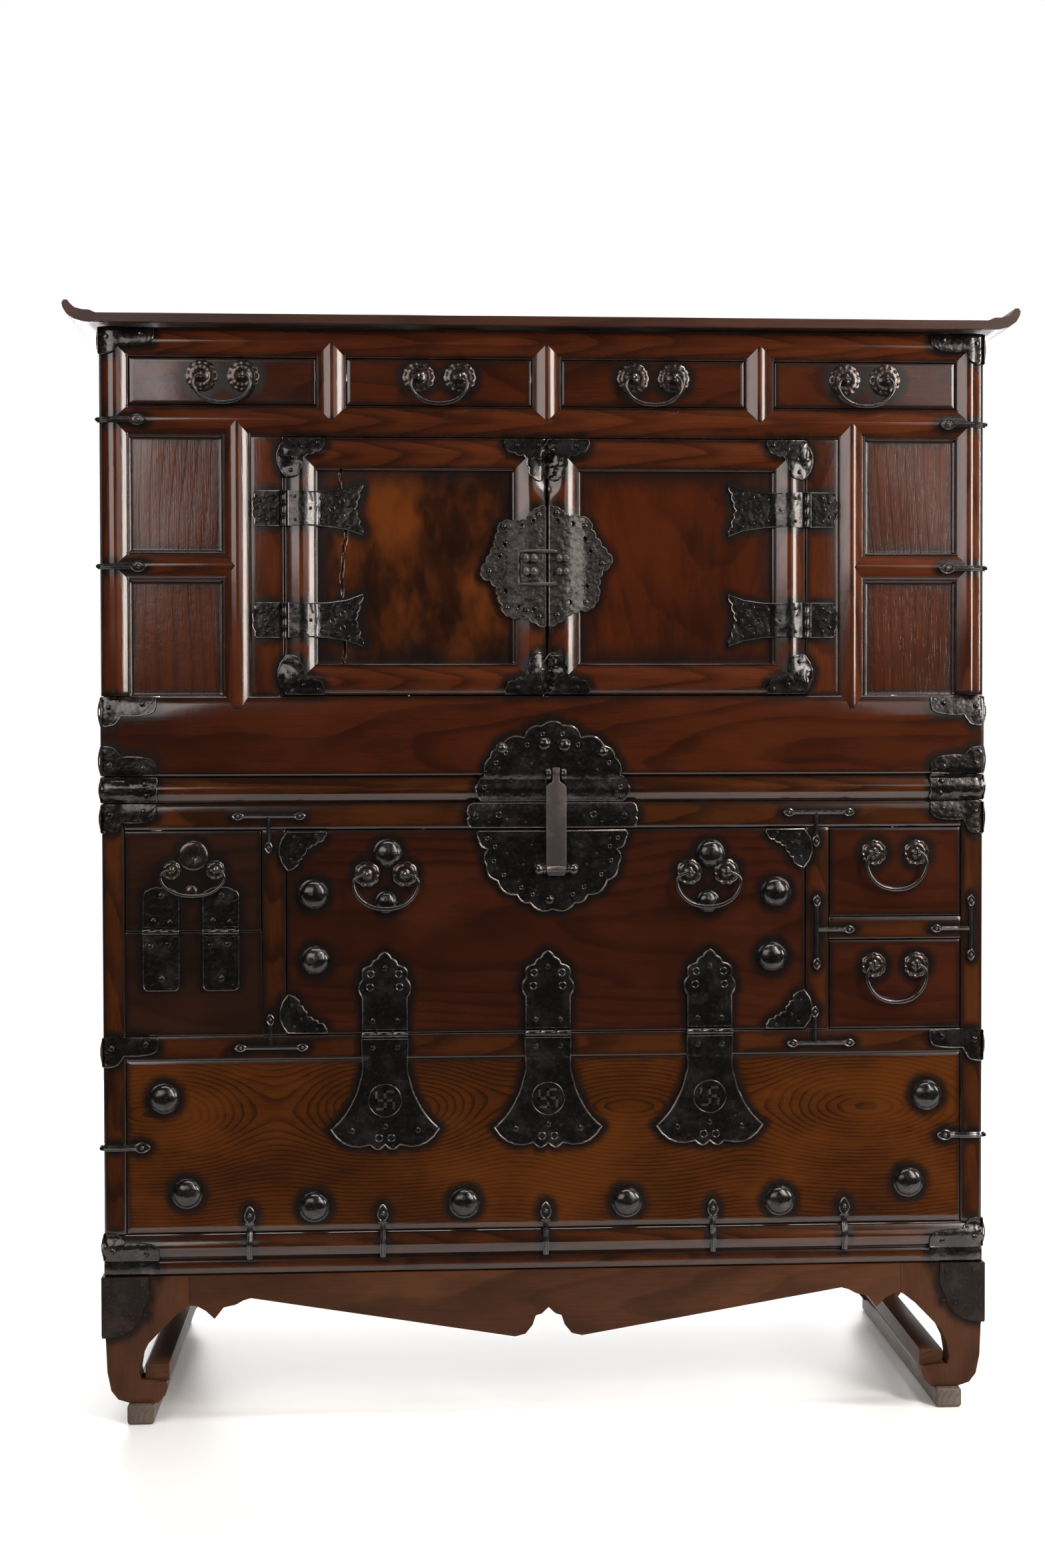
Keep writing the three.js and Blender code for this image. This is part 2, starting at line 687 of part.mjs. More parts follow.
// Partitions: a board behind the front rails and a post between them
for (const [side, word] of [[-1, 'left'], [1, 'right']]) {
  const across = sideways(side, xFlap, xPartition);
  const board = box(across, [yRails, yBackBoard], [zPanel, zWaist]);
  const post = box(across, [yFace, yRails + sink], [zFlap, zLowerRail]);
  const floorX = sideways(side, xPartition - sink, xInside);
  const floor = box(floorX, [yRails, yBackBoard], [zFlap - shelfThickness, zFlap]);
  const pieces = side > 0 ? [board, post, floor] : [board, post];
  add(`partition_${word}`, join(...pieces), warmWood);
}

// Shelf and rail between the side drawers
{
  const rail = box(bay, [yFace, yRails], [zSideRail, zUpperSide]);
  const shelf = box(bay, [yFace + beadDepth, yBackBoard], [zUpperSide - shelfThickness, zUpperSide]);
  add('drawer_shelf', join(rail, shelf), warmWood);
}

// Small drawers and their bails
const bayEdges = [-xUpperPost, ...muntins.flatMap(({ across }) => across), xUpperPost];
for (let index = 0; index < drawerCount; index += 1) {
  const span = bayEdges.slice(2 * index, 2 * index + 2);
  const middle = (span[0] + span[1]) / 2;
  add(`drawer_${index + 1}`, drawer(span, [zDrawer, zTopRail], drawerBail), darkWood);
  const zBail = zTopRail - drawerBail.below;
  add(`drawer_bail_${index + 1}`, bail(middle, zBail, drawerBail), iron);
}

// Side drawers and their bails
for (const [word, low, high] of [['upper', zUpperSide, zLowerRail], ['lower', zFlap, zSideRail]]) {
  add(`side_drawer_${word}`, drawer(bay, [low, high], sideBail), warmWood);
  const middle = (bay[0] + bay[1]) / 2;
  add(`side_bail_${word}`, bail(middle, high - sideBail.below, sideBail), iron);
}

// Doors, straps, door plate halves
for (const [side, word] of [[-1, 'left'], [1, 'right']]) {
  const across = sideways(side, doorSeamGap / 2, xDoor - runGap / 2);
  const rise = [zDoor + runGap, zMidRail - runGap];
  const slab = box(across, ySolid, rise, 0);
  const [left, right] = [across[0] + doorFrameWidth, across[1] - doorFrameWidth];
  const [bottom, top] = [rise[0] + doorFrameWidth, rise[1] - doorFrameWidth];
  const depth = [yFace - sink, yFace + doorPanelRecess];
  const spread = doorPanelBevel * (1 + sink / doorPanelRecess);
  const recess = taperedBox([left, right], depth, [bottom, top], spread);
  add(`door_${word}`, slab.subtract(recess), darkWood);

  for (const [level, z] of [['upper', strapCentres[0]], ['lower', strapCentres[1]]]) {
    const half = strapHeight / 2;
    const tail = strapTailSpread / 2;
    const waist = strapLength - strapTailLength;
    const notch = strapLength - strapNotch;
    const points = [
      [barrelRadius, -half, 0], [waist, -half, 0], [strapLength, -tail], [notch, 0, strapBowShare],
      [strapLength, tail, strapBowShare], [waist, half], [barrelRadius, half, 0],
    ].map(([u, v, bow]) => [side * (xDoor - u), z + v, bow]);
    const yBack = yFace - seatGap;
    const leaf = plate(lobed(points, strapBowShare), yBack, plateThickness);
    const knuckle = [z - strapHeight / 6 + seatGap, z + strapHeight / 6 - seatGap];
    const barrel = roundAlongZ(knuckle, side * xDoor, yBarrel, barrelRadius);
    const tongueX = sideways(side, xDoor - barrelRadius - sink, xDoor);
    const tongue = box(tongueX, [yBack - plateThickness, yBack], knuckle, 0);
    add(`door_strap_${level}_${word}`, join(leaf, barrel, tongue), iron);
  }

  const plateHalf = (doorPlateWidth - doorSeamGap) / 2;
  const platePoints = doorPlateShares.map(([u, v, bow]) => [
    side * (doorSeamGap / 2 + u * plateHalf), zDoorPlate + v * doorPlateHeight, bow,
  ]);
  const half = plate(lobed(platePoints, lobeBowShare), yFace - seatGap, plateThickness);
  const eyes = [-1, 1].map((level) => {
    const z = zDoorPlate + level * doorEyeSpacing / 2;
    const x = side * doorEyeOffsets[word];
    const spanX = [x - doorEyeWidth / 2, x + doorEyeWidth / 2];
    const spanZ = [z - doorEyeHeight / 2, z + doorEyeHeight / 2];
    return roundedStud(spanX, spanZ, doorEyeReach);
  });
  add(`door_plate_${word}`, join(half, ...eyes), iron);
}

// Square latch loop that swings on its upright bar beside the left eyes
{
  const y = yFace - plateThickness - latchWire - 2 * seatGap;
  const low = zDoorPlate - latchHeight / 2;
  const high = zDoorPlate + latchHeight / 2;
  const upright = roundAlongZ([low - latchWire, high + latchWire], -latchPivotOffset, y, latchWire);
  const reach = [-latchPivotOffset, latchWidth - latchPivotOffset];
  const bars = [low, high].map((z) => roundAlongX(reach, y, z, latchWire));
  add('latch_loop', join(upright, ...bars), iron);
}

// Lock: upper plate over the breast board and the moulding, with its cross bar and eyes
{
  const round = (zWaist + zBreast) / 2;
  const reach = zWaist + lockUpperHeight + cutOverrun;
  const yFront = yPlate - plateThickness;
  const section = new THREE.Shape();
  section.moveTo(yPlate, zLowerRail);
  section.lineTo(yPlate, zWaist);
  section.quadraticCurveTo(yPlate - 2 * crown, round, yPlate, zBreast);
  section.lineTo(yPlate, reach);
  const backing = section.clone();
  section.lineTo(yFront, reach);
  section.lineTo(yFront, zBreast + sink);
  section.quadraticCurveTo(yFront - 2 * crown, round, yFront, zWaist - sink);
  section.lineTo(yFront, zLowerRail);
  backing.lineTo(yRails, reach);
  backing.lineTo(yRails, zLowerRail);
  const span = [lockOffset - lockBarWidth, lockOffset + lockBarWidth];
  const half = lockWidth / 2;
  const upperPoints = scaled(lockUpperShares, half, lockUpperHeight);
  const upper = lobed(bothSides(upperPoints, lockOffset, zWaist), lobeBowShare);
  const barPoints = scaled(lockBarShares, lockBarWidth / 2, lowerRailHeight);
  const lower = lobed(bothSides(barPoints, lockOffset, zLowerRail), lobeBowShare);
  const depth = 2 * crown + plateThickness + cutOverrun;
  const linkX = [lockOffset - half / 2, lockOffset + half / 2];
  const link = box(linkX, [yFace - depth, yFace], [zWaist - sink, zWaist + sink], 0);
  const cutter = join(plate(upper, yFace, depth), plate(lower, yFace, depth), link);
  const eyes = [-1, 1].map((side) => {
    const x = haspMiddle + side * (haspNeckWidth + lockEyeWidth + runGap) / 2;
    const z = zHaspTop - haspNeckLength / 2;
    return eye(x, z, lockEyeWidth, lugRadius, crown + plateThickness, pinRadius);
  });
  const whole = join(barAlongX(section, span).intersect(cutter), ...eyes);
  add('lock_plate_upper', whole.subtract(barAlongX(backing, span)), iron);
}

// Lower lock plate on the flap, with the two lugs that carry the hasp
{
  const points = scaled(lockLowerShares, lockLowerWidth / 2, lockLowerHeight);
  const zBottom = zLowerRail - runGap - seatGap - lockLowerHeight;
  const shape = lobed(bothSides(points, lockOffset, zBottom), lobeBowShare);
  const lugs = [-1, 1].map((side) => {
    const x = haspMiddle + side * (haspWidth + lugWidth + runGap) / 2;
    return eye(x, zHasp, lugWidth, lugRadius, yFace - yHasp, pinRadius, yFace - plateThickness);
  });
  add('lock_plate_lower', join(plate(shape, yPlate, plateThickness), ...lugs), iron);
}

// Hasp: flat bar with a narrow neck, turning on a pin through the lugs
{
  const shoulder = zHaspTop - haspNeckLength;
  const half = [
    [haspNeckWidth / 2, zHaspTop], [haspNeckWidth / 2, shoulder + runGap],
    [haspWidth / 2, shoulder - haspNeckWidth / 2], [haspWidth / 2, zHasp - haspEnd / 2],
    [haspWidth / 2 - haspEnd / 2, zHasp - haspEnd],
  ];
  const bar = plate(outline(bothSides(half, haspMiddle)), yHasp + haspThickness / 2, haspThickness);
  const pinReach = haspWidth / 2 + lugWidth + runGap;
  const pin = roundAlongX([haspMiddle - pinReach, haspMiddle + pinReach], yHasp, zHasp, pinRadius);
  add('hasp', join(bar, pin), iron);
}

// Main flap with its handles and hinges
{
  const across = [-xFlap + runGap, xFlap - runGap];
  const slab = box(across, ySolid, [zFlap + runGap, zLowerRail - runGap], 0);
  const zBail = zLowerRail - flapBail.below;
  const lockReach = lockOffset + lockLowerWidth / 2;
  const xBail = (lockReach + xFlap) / 2 - flapBailShift;
  const offsets = [['left', -xBail], ['right', xBail]];
  const mounts = offsets.flatMap(([, x]) => handleMounts(x, zBail, flapBail));
  add('main_flap', join(slab, ...mounts), warmWood);
  offsets.forEach(([word, x]) => add(`flap_bail_${word}`, bail(x, zBail, flapBail), iron));
}
[-1, 0, 1].forEach((step, index) => {
  const x = step * flapHingePitch;
  const clear = barrelRadius + seatGap;
  const low = x - flapLeafWidth / 6;
  const high = x + flapLeafWidth / 6;
  const spans = [[x - flapLeafWidth / 2, low - seatGap], [high + seatGap, x + flapLeafWidth / 2]];
  const yLeaf = [yPlate - plateThickness, yPlate];

  const rise = flapLeafHeight - clear;
  const upperPoints = bothSides(scaled(flapLeafShares, flapLeafWidth / 2, rise), x, zFlap + clear);
  const upper = plate(lobed(upperPoints, lobeBowShare), yPlate, plateThickness);
  const upTongue = box([low, high], yLeaf, [zFlap, zFlap + clear + sink], 0);
  const upBarrel = roundAlongX([low, high], yBarrel, zFlap, barrelRadius);
  add(`flap_leaf_${index + 1}`, join(upper, upTongue, upBarrel), iron);

  const drop = flareDrop - clear;
  const lowerPoints = bothSides(scaled(flareShares, flareWidth / 2, -drop), x, zFlap - clear);
  const lower = plate(lobed(lowerPoints, lobeBowShare), yPlate, plateThickness);
  const fixed = spans.flatMap((span) => [
    box(span, yLeaf, [zFlap - clear - sink, zFlap], 0),
    roundAlongX(span, yBarrel, zFlap, barrelRadius),
  ]);
  add(`flap_hinge_${index + 1}`, join(lower, ...fixed), iron);
});

// Small flap with its handle, key plate and the upper leaves of its hinges
{
  const middle = (smallBay[0] + smallBay[1]) / 2;
  const across = [smallBay[0] + runGap, smallBay[1] - runGap];
  const slab = box(across, ySolid, [zSmallFlap + runGap / 2, zLowerRail - runGap], 0);
  const zBail = zLowerRail - smallBail.below;
  const keyPlate = dome(middle, zLowerRail - keyPlateBelow, keyPlateRadius, keyPlateHeight);
  const leaves = smallHingeX.map((x) => smallLeaf(x, smallLeafUp, 'middle'));
  const mounts = handleMounts(middle, zBail, smallBail);
  add('small_flap', join(slab, keyPlate, ...mounts, ...leaves), warmWood);
  add('small_flap_bail', bail(middle, zBail, smallBail), iron);
}

// Stand: apron, leg frames and runners
{
  const span = xStand - legWidth - seatGap;
  const shape = outline(bothSides(scaled(apronShares, span, standRise), 0, zFeet));
  add('front_apron', plate(shape, yStand + apronThickness, apronThickness), warmWood);
}
for (const [side, word] of [[-1, 'left'], [1, 'right']]) {
  const legPoint = ([u, v]) => [side * (xStand - u * legWidth), zFeet + v * standRise];
  const foot = outline(legShares.map(legPoint));
  const frontLeg = plate(foot, yStand + legThickness, legThickness);
  const rearLeg = plate(foot, yRear + standProud, legThickness);
  const boardX = sideways(side, xStand - sideApronThickness, xStand - sink);
  const boardZ = [zPlinth - sideApronHeight, zPlinth];
  const board = box(boardX, [yStand + sink, yRear + standProud - sink], boardZ);
  const barX = sideways(side, xStand - stretcherInset - stretcherWidth, xStand - stretcherInset);
  const barZ = [zStand + stretcherAbove, zStand + stretcherAbove + stretcherHeight];
  const bar = box(barX, [yStand + stretcherSetBack, yRear + standProud - stretcherSetBack], barZ);
  add(`leg_frame_${word}`, join(frontLeg, rearLeg, board, bar), warmWood);

  const [near, far] = sideways(side, xCase - runnerInset - runnerWidth, xCase - runnerInset);
  const top = runnerHeight - seatGap / 2;
  const section = outline([
    [near + runnerRound, 0], [far - runnerRound, 0], [far, runnerRound], [far, top],
    [near, top], [near, runnerRound],
  ]);
  const length = caseDepth + 2 * rearOverhang;
  add(`runner_${word}`, plate(section, yRear + rearOverhang, length), plainWood);
}

export default chest;
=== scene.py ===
"""Two-tier chest with iron fittings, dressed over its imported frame.

Every piece is built in millimetres and handed over in metres, in the frame's own axes:
+Z up, +X to the right along the front, and the doors and drawers facing -Y.
"""

import logging
import math
from dataclasses import dataclass, field
from enum import Enum
from functools import lru_cache, partial
from typing import Callable, Iterable, Mapping, Sequence

import bmesh
import bpy
from bmesh.types import BMEdge, BMesh, BMVert
from mathutils import Matrix, Vector, noise
from mathutils.kdtree import KDTree


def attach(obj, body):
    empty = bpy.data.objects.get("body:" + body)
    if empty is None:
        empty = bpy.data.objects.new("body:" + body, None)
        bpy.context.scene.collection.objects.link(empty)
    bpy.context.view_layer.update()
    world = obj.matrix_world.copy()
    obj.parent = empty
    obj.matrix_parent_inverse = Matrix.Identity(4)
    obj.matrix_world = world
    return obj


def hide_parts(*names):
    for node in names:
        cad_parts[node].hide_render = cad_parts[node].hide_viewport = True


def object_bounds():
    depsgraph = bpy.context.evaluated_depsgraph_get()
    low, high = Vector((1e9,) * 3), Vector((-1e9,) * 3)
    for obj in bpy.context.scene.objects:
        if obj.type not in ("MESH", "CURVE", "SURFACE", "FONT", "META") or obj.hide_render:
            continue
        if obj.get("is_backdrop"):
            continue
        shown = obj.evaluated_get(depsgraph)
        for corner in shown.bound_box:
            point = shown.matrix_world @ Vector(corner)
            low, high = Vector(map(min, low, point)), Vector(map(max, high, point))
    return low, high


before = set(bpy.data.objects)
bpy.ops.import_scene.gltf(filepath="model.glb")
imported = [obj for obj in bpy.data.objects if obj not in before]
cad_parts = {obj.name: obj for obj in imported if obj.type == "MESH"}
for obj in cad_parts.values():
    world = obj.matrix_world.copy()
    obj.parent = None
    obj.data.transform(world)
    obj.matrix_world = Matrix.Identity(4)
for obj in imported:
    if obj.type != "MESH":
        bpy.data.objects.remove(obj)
CAD_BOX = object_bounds()

LOG = logging.getLogger("chest")

Point = Sequence[float]
Span = tuple[float, float]
Relief = Callable[[float, float], float]
Sockets = Mapping[str, bpy.types.NodeSocket]

FACE = -204.0
REAR = 216.0
CROWN = 7.0
RAIL_BACK = -176.0
SLIM_BACK = -188.0
SLIM_ROUGH = (60.0, 0.2)
BOARD_BACK = 203.8
BACK_PLANKS = (204.2, 215.8)
PIN = FACE - 4.8
BAIL_REACH = 11.5
# Dark tone of the soot round the ironwork, also used for the painted shade along the edges of boards.
SOOT_AND_SHADE_TONE = (0.0052, 0.0042, 0.0038, 1.0)
STRAP_HEIGHT = 43.0


# Choices

class Slot(Enum):
    """Material slots of the record."""

    DARK = "dark_wood"
    WARM = "warm_wood"
    PLAIN = "plain_wood"
    IRON = "black_iron"


class Grain(Enum):
    """Way that a board's grain runs, as the turn that brings it to X."""

    LEVEL = (0.0, 0.0, 0.0)
    UPRIGHT = (0.0, math.pi / 2, 0.0)
    DEEP = (0.0, 0.0, -math.pi / 2)


class Side(Enum):
    """Left or right half of the chest, with its sign along X."""

    LEFT = -1
    RIGHT = 1

    @property
    def word(self) -> str:
        """Name used in the frame's nodes."""
        return self.name.lower()

    def span(self, low: float, high: float) -> Span:
        """A range on the right, brought to this side."""
        return (low, high) if self is Side.RIGHT else (-high, -low)


# Measures

@dataclass(frozen=True)
class Levels:
    """Heights of the chest's level lines."""

    stand: float = 24.0
    plinth: float = 178.4
    panel: float = 229.4
    sill: float = 440.4
    flap: float = 470.4
    side_rail: float = 581.5
    small_flap: float = 597.6
    upper_side: float = 609.5
    lower_rail: float = 720.6
    waist: float = 753.3
    breast: float = 785.8
    door: float = 883.0
    mid_rail: float = 1197.2
    drawer: float = 1234.5
    top_rail: float = 1292.0
    top: float = 1328.0


@dataclass(frozen=True)
class Columns:
    """Distances of the chest's upright lines from its middle."""

    case: float = 540.0
    upper_post: float = 505.0
    stile_outer: float = 393.0
    stile_inner: float = 359.0
    door: float = 319.0
    lower_post: float = 513.0
    partition: float = 348.0
    flap: float = 319.0
    inside: float = 518.0
    muntins: tuple[float, ...] = (-261.5, 0.0, 261.5)
    muntin_half: float = 18.0


Z = Levels()
X = Columns()
STRAP_LEVELS = {"upper": Z.mid_rail - 87.0, "lower": Z.door + 92.0}


@dataclass(frozen=True)
class Extent:
    """Box given by its ranges along the three axes."""

    x: Span
    y: Span
    z: Span

    @property
    def middle(self) -> Vector:
        """Centre of the box."""
        return Vector([sum(span) / 2 for span in (self.x, self.y, self.z)])

    @property
    def size(self) -> Vector:
        """Edge lengths of the box."""
        return Vector([span[1] - span[0] for span in (self.x, self.y, self.z)])


# Shaping helpers

def blank() -> BMesh:
    """Makes an empty form with the layers that the finishes read.

    Returns:
        The empty form.
    """
    form = bmesh.new()
    # wear: rubbed edges, painted pale as dust together with a highlight.
    form.verts.layers.float.new("wear_and_highlight")
    # seam: how much painted shade a place gets near the edges of its board.
    form.verts.layers.float.new("seam")
    return form


def join(*forms: BMesh) -> BMesh:
    """Gathers several forms into one.

    Args:
        forms: The forms, which are used up.

    Returns:
        The form that holds all of them.
    """
    whole = blank()
    for form in forms:
        carrier = bpy.data.meshes.new("carrier")
        form.to_mesh(carrier)
        form.free()
        whole.from_mesh(carrier)
        bpy.data.meshes.remove(carrier)
    return whole


def soften(form: BMesh, edges: Iterable[BMEdge], arris: float, segments: int = 4) -> None:
    """Rounds edges and marks the middle of each round as worn, a mark that also paints a highlight there.

    Args:
        form: The form to shape.
        edges: Its edges that are rounded.
        arris: Width of the round.
        segments: Faces across the round.
    """
    result = bmesh.ops.bevel(
        form, geom=list(edges), offset=arris, offset_type="OFFSET", segments=segments,
        profile=0.5, affect="EDGES", material=-1, clamp_overlap=True,
    )
    rounds = set(result["faces"])
    wear_and_highlight = form.verts.layers.float["wear_and_highlight"]
    for vert in result["verts"]:
        if all(face in rounds for face in vert.link_faces):
            vert[wear_and_highlight] = 1.0


def block(extent: Extent, arris: float = 1.4) -> BMesh:
    """Board or bar with its edges rounded.

    Args:
        extent: Where it lies.
        arris: Width of the rounded edges.

    Returns:
        The closed form.
    """
    form = blank()
    place = Matrix.Translation(extent.middle) @ Matrix.Diagonal((*extent.size, 1.0))
    bmesh.ops.create_cube(form, size=1.0, matrix=place)
    soften(form, form.edges[:], arris)
    return form


def steps(low: float, high: float, cell: float) -> list[float]:
    """Even places from low to high, no further apart than the cell."""
    count = max(1, math.ceil((high - low) / cell))
    return [low + (high - low) * index / count for index in range(count + 1)]


def rounds(low: float, high: float, count: int = 14, edge: float = 2.2) -> list[float]:
    """Places across a rounded member, close together at its edges.

    Args:
        low: One edge.
        high: The other edge.
        count: Steps across the round.
        edge: Width of the string along each edge.

    Returns:
        The rising places.
    """
    half = (high - low) / 2 - edge
    middle = (low + high) / 2
    turn = [middle - half * math.cos(math.pi * index / count) for index in range(count + 1)]
    return [low, low + 0.45 * edge, *turn, high - 0.45 * edge, high]


def merged(*runs: Sequence[float]) -> list[float]:
    """Joins runs of places into one rising list without near repeats.

    Args:
        runs: The runs, in any order.

    Returns:
        The rising places.
    """
    places: list[float] = []
    for place in sorted(value for run in runs for value in run):
        if not places or place - places[-1] > 0.3:
            places.append(place)
    return places


def fringed(span: Span, edge: float, fine: float, cell: float = 5.0) -> list[float]:
    """Even places over a span, closer together near both its ends."""
    ends = [*steps(span[0], span[0] + edge, fine), *steps(span[1] - edge, span[1], fine)]
    return merged(ends, steps(*span, cell))


def margin(x: float, z: float, across: Span, rise: Span) -> float:
    """Distance from a place to the nearest edge of a board."""
    return min(x - across[0], across[1] - x, z - rise[0], rise[1] - z)


def angles(count: int, sweep: float = math.tau) -> list[float]:
    """Even angles from zero up to a sweep, which is left out."""
    return [sweep * index / count for index in range(count)]


def slab(columns: Sequence[float], rows: Sequence[float], face: float, back: float,
         relief: Relief, arris: float = 0.8, crest: Relief | None = None,
         shade: float = 10.0) -> BMesh:
    """Board whose front is shaped by a relief.

    Args:
        columns: Places of the front's grid along X.
        rows: Places of the front's grid along Z.
        face: Depth of the plain front.
        back: Depth of the back.
        relief: How far the front stands out at a place.
        arris: Width of the rounded front edge, or 0 for a sharp one.
        crest: How rubbed the front is at a place, which also paints a highlight there.
        shade: Width of the painted shade along the edges.

    Returns:
        The closed form.
    """
    form = blank()
    wear_and_highlight, seam = (form.verts.layers.float[name] for name in ("wear_and_highlight", "seam"))
    bmesh.ops.create_grid(form, x_segments=len(columns) - 1, y_segments=len(rows) - 1, size=1.0)
    low = min(vert.co.x for vert in form.verts)
    for vert in form.verts:
        column = round((vert.co.x - low) / (-2 * low) * (len(columns) - 1))
        row = round((vert.co.y - low) / (-2 * low) * (len(rows) - 1))
        x, z = columns[column], rows[row]
        edge = margin(x, z, (columns[0], columns[-1]), (rows[0], rows[-1]))
        # Places near the board's edges are marked for painted shade.
        vert[seam] = max(0.0, 1 - edge / shade)
        vert[wear_and_highlight] = crest(x, z) if crest else 0.0
        vert.co = Vector((x, face - relief(x, z), z))
    bmesh.ops.recalc_face_normals(form, faces=form.faces[:])
    border = [edge for edge in form.edges if edge.is_boundary]
    grown = bmesh.ops.extrude_edge_only(form, edges=border)
    for item in grown["geom"]:
        if isinstance(item, BMVert):
            item.co.y = back
    rim = [edge for edge in form.edges if edge.is_boundary]
    bmesh.ops.edgeloop_fill(form, edges=rim)
    bmesh.ops.recalc_face_normals(form, faces=form.faces[:])
    if arris > 0:
        soften(form, border, arris, 3)
    return form


def cut(form: BMesh, place: Point, normal: Point) -> BMesh:
    """Cuts away what lies beyond a plane and closes the cut.

    Args:
        form: The form to cut.
        place: A point of the plane.
        normal: Direction towards the part that goes.

    Returns:
        The same form.
    """
    geometry = form.verts[:] + form.edges[:] + form.faces[:]
    result = bmesh.ops.bisect_plane(
        form, geom=geometry, dist=0.001, plane_co=place, plane_no=normal, clear_outer=True,
    )
    edges = [item for item in result["geom_cut"] if isinstance(item, BMEdge)]
    bmesh.ops.edgeloop_fill(form, edges=edges)
    return form


def turned(profile: Sequence[Point], place: Point, sides: int = 24,
           axis: Point = (0.0, -1.0, 0.0)) -> BMesh:
    """Turned form round an axis.

    Args:
        profile: Points as (radius, height along the axis).
        place: Foot of the axis.
        sides: Faces round the form.
        axis: Direction in which the heights grow.

    Returns:
        The closed form.
    """
    form = blank()
    verts = [form.verts.new((radius, 0.0, height)) for radius, height in profile]
    edges = [form.edges.new(pair) for pair in zip(verts, verts[1:])]
    bmesh.ops.spin(
        form, geom=verts + edges, cent=(0, 0, 0), axis=(0, 0, 1), dvec=(0, 0, 0),
        angle=math.tau, steps=sides, use_merge=True, use_normal_flip=False, use_duplicate=False,
    )
    bmesh.ops.remove_doubles(form, verts=form.verts[:], dist=0.001)
    bmesh.ops.recalc_face_normals(form, faces=form.faces[:])
    turn = Vector((0, 0, 1)).rotation_difference(Vector(axis)).to_matrix().to_4x4()
    bmesh.ops.transform(form, matrix=Matrix.Translation(place) @ turn, verts=form.verts[:])
    return form


def rod(path: Sequence[Point], radius: float | Sequence[float], sides: int = 8,
        closed: bool = False) -> BMesh:
    """Round bar along a path.

    Args:
        path: Points of its middle line.
        radius: Its radius, or one for each point.
        sides: Faces round the bar.
        closed: Whether the path ends where it starts.

    Returns:
        The closed form.
    """
    points = [Vector(point) for point in path]
    count = len(points)
    radii = [radius] * count if isinstance(radius, (int, float)) else list(radius)
    form = blank()
    turn = Matrix.Identity(3)
    heading = Vector((0, 0, 1))
    rings: list[list[BMEdge]] = []
    held: list[BMVert] = []
    previous = Matrix.Identity(4)
    for index, point in enumerate(points):
        before = points[index - 1] if index or closed else point
        after = points[(index + 1) % count] if index < count - 1 or closed else point
        way = (after - before).normalized()
        turn = heading.rotation_difference(way).to_matrix() @ turn
        heading = way
        place = Matrix.Translation(point) @ turn.to_4x4() @ Matrix.Scale(radii[index], 4)
        if index == 0:
            held = bmesh.ops.create_circle(form, radius=1.0, segments=sides, matrix=place)["verts"]
            rings.append(form.edges[:])
        else:
            grown = bmesh.ops.extrude_edge_only(form, edges=rings[-1])["geom"]
            held = [item for item in grown if isinstance(item, BMVert)]
            ring = [item for item in grown if isinstance(item, BMEdge)]
            rings.append([edge for edge in ring if all(vert in held for vert in edge.verts)])
            bmesh.ops.transform(form, matrix=place @ previous.inverted(), verts=held)
        previous = place
    if closed:
        bmesh.ops.bridge_loops(form, edges=rings[0] + rings[-1])
    else:
        bmesh.ops.edgeloop_fill(form, edges=rings[0])
        bmesh.ops.edgeloop_fill(form, edges=rings[-1])
    bmesh.ops.recalc_face_normals(form, faces=form.faces[:])
    return form


def lobed(points: Sequence[Point], bulge: float = 0.14, count: int = 5) -> list[Point]:
    """Outline whose runs bow out, as the frame's own plates have it.

    Args:
        points: Corners as (x, z) or (x, z, own bow of the run that ends there).
        bulge: Bow of the other runs, as a share of their length.
        count: Steps along a bowed run.

    Returns:
        The outline's points, without its first point repeated.
    """
    pairs = list(zip(points, [*points[1:], points[0]]))
    area = sum(a[0] * b[1] - b[0] * a[1] for a, b in pairs)
    turn = math.copysign(1.0, area)
    path: list[Point] = []
    for start, end in pairs:
        bow = (end[2] if len(end) > 2 else bulge) * 2 * turn
        middle = ((start[0] + end[0]) / 2 + (end[1] - start[1]) * bow,
                  (start[1] + end[1]) / 2 - (end[0] - start[0]) * bow)
        runs = 1 if abs(bow) < 1e-6 else count
        for step in range(runs):
            t = step / runs
            a, b, c = (1 - t) ** 2, 2 * t * (1 - t), t * t
            path.append((a * start[0] + b * middle[0] + c * end[0],
                         a * start[1] + b * middle[1] + c * end[1]))
    return path


def both_sides(points: Sequence[Point], middle: float = 0.0, base: float = 0.0) -> list[Point]:
    """Ring made of points right of a middle line and their mirror images.

    Args:
        points: Points on the right, as (x, z) or (x, z, own bow).
        middle: Place of the middle line.
        base: Height that is added to all points.

    Returns:
        The ring's points.
    """
    right = [(middle + p[0], base + p[1], *p[2:]) for p in points]
    left = []
    for index, p in enumerate(points):
        following = points[index + 1] if index + 1 < len(points) else (0, 0, 0)
        if p[0] != 0:
            left.append((middle - p[0], base + p[1], *following[2:]))
    return [*right, *reversed(left)]


def scaled(shares: Sequence[Point], width: float, height: float) -> list[Point]:
    """Outline points worked out from shares of a width and a height."""
    return [(p[0] * width, p[1] * height, *p[2:]) for p in shares]


def placed(shares: Sequence[Point], corner: Point, width: float, height: float) -> list[Point]:
    """Outline of a corner iron, with its own corner at a place and signed reaches."""
    return [(corner[0] + p[0] * width, corner[1] + p[1] * height, *p[2:]) for p in shares]


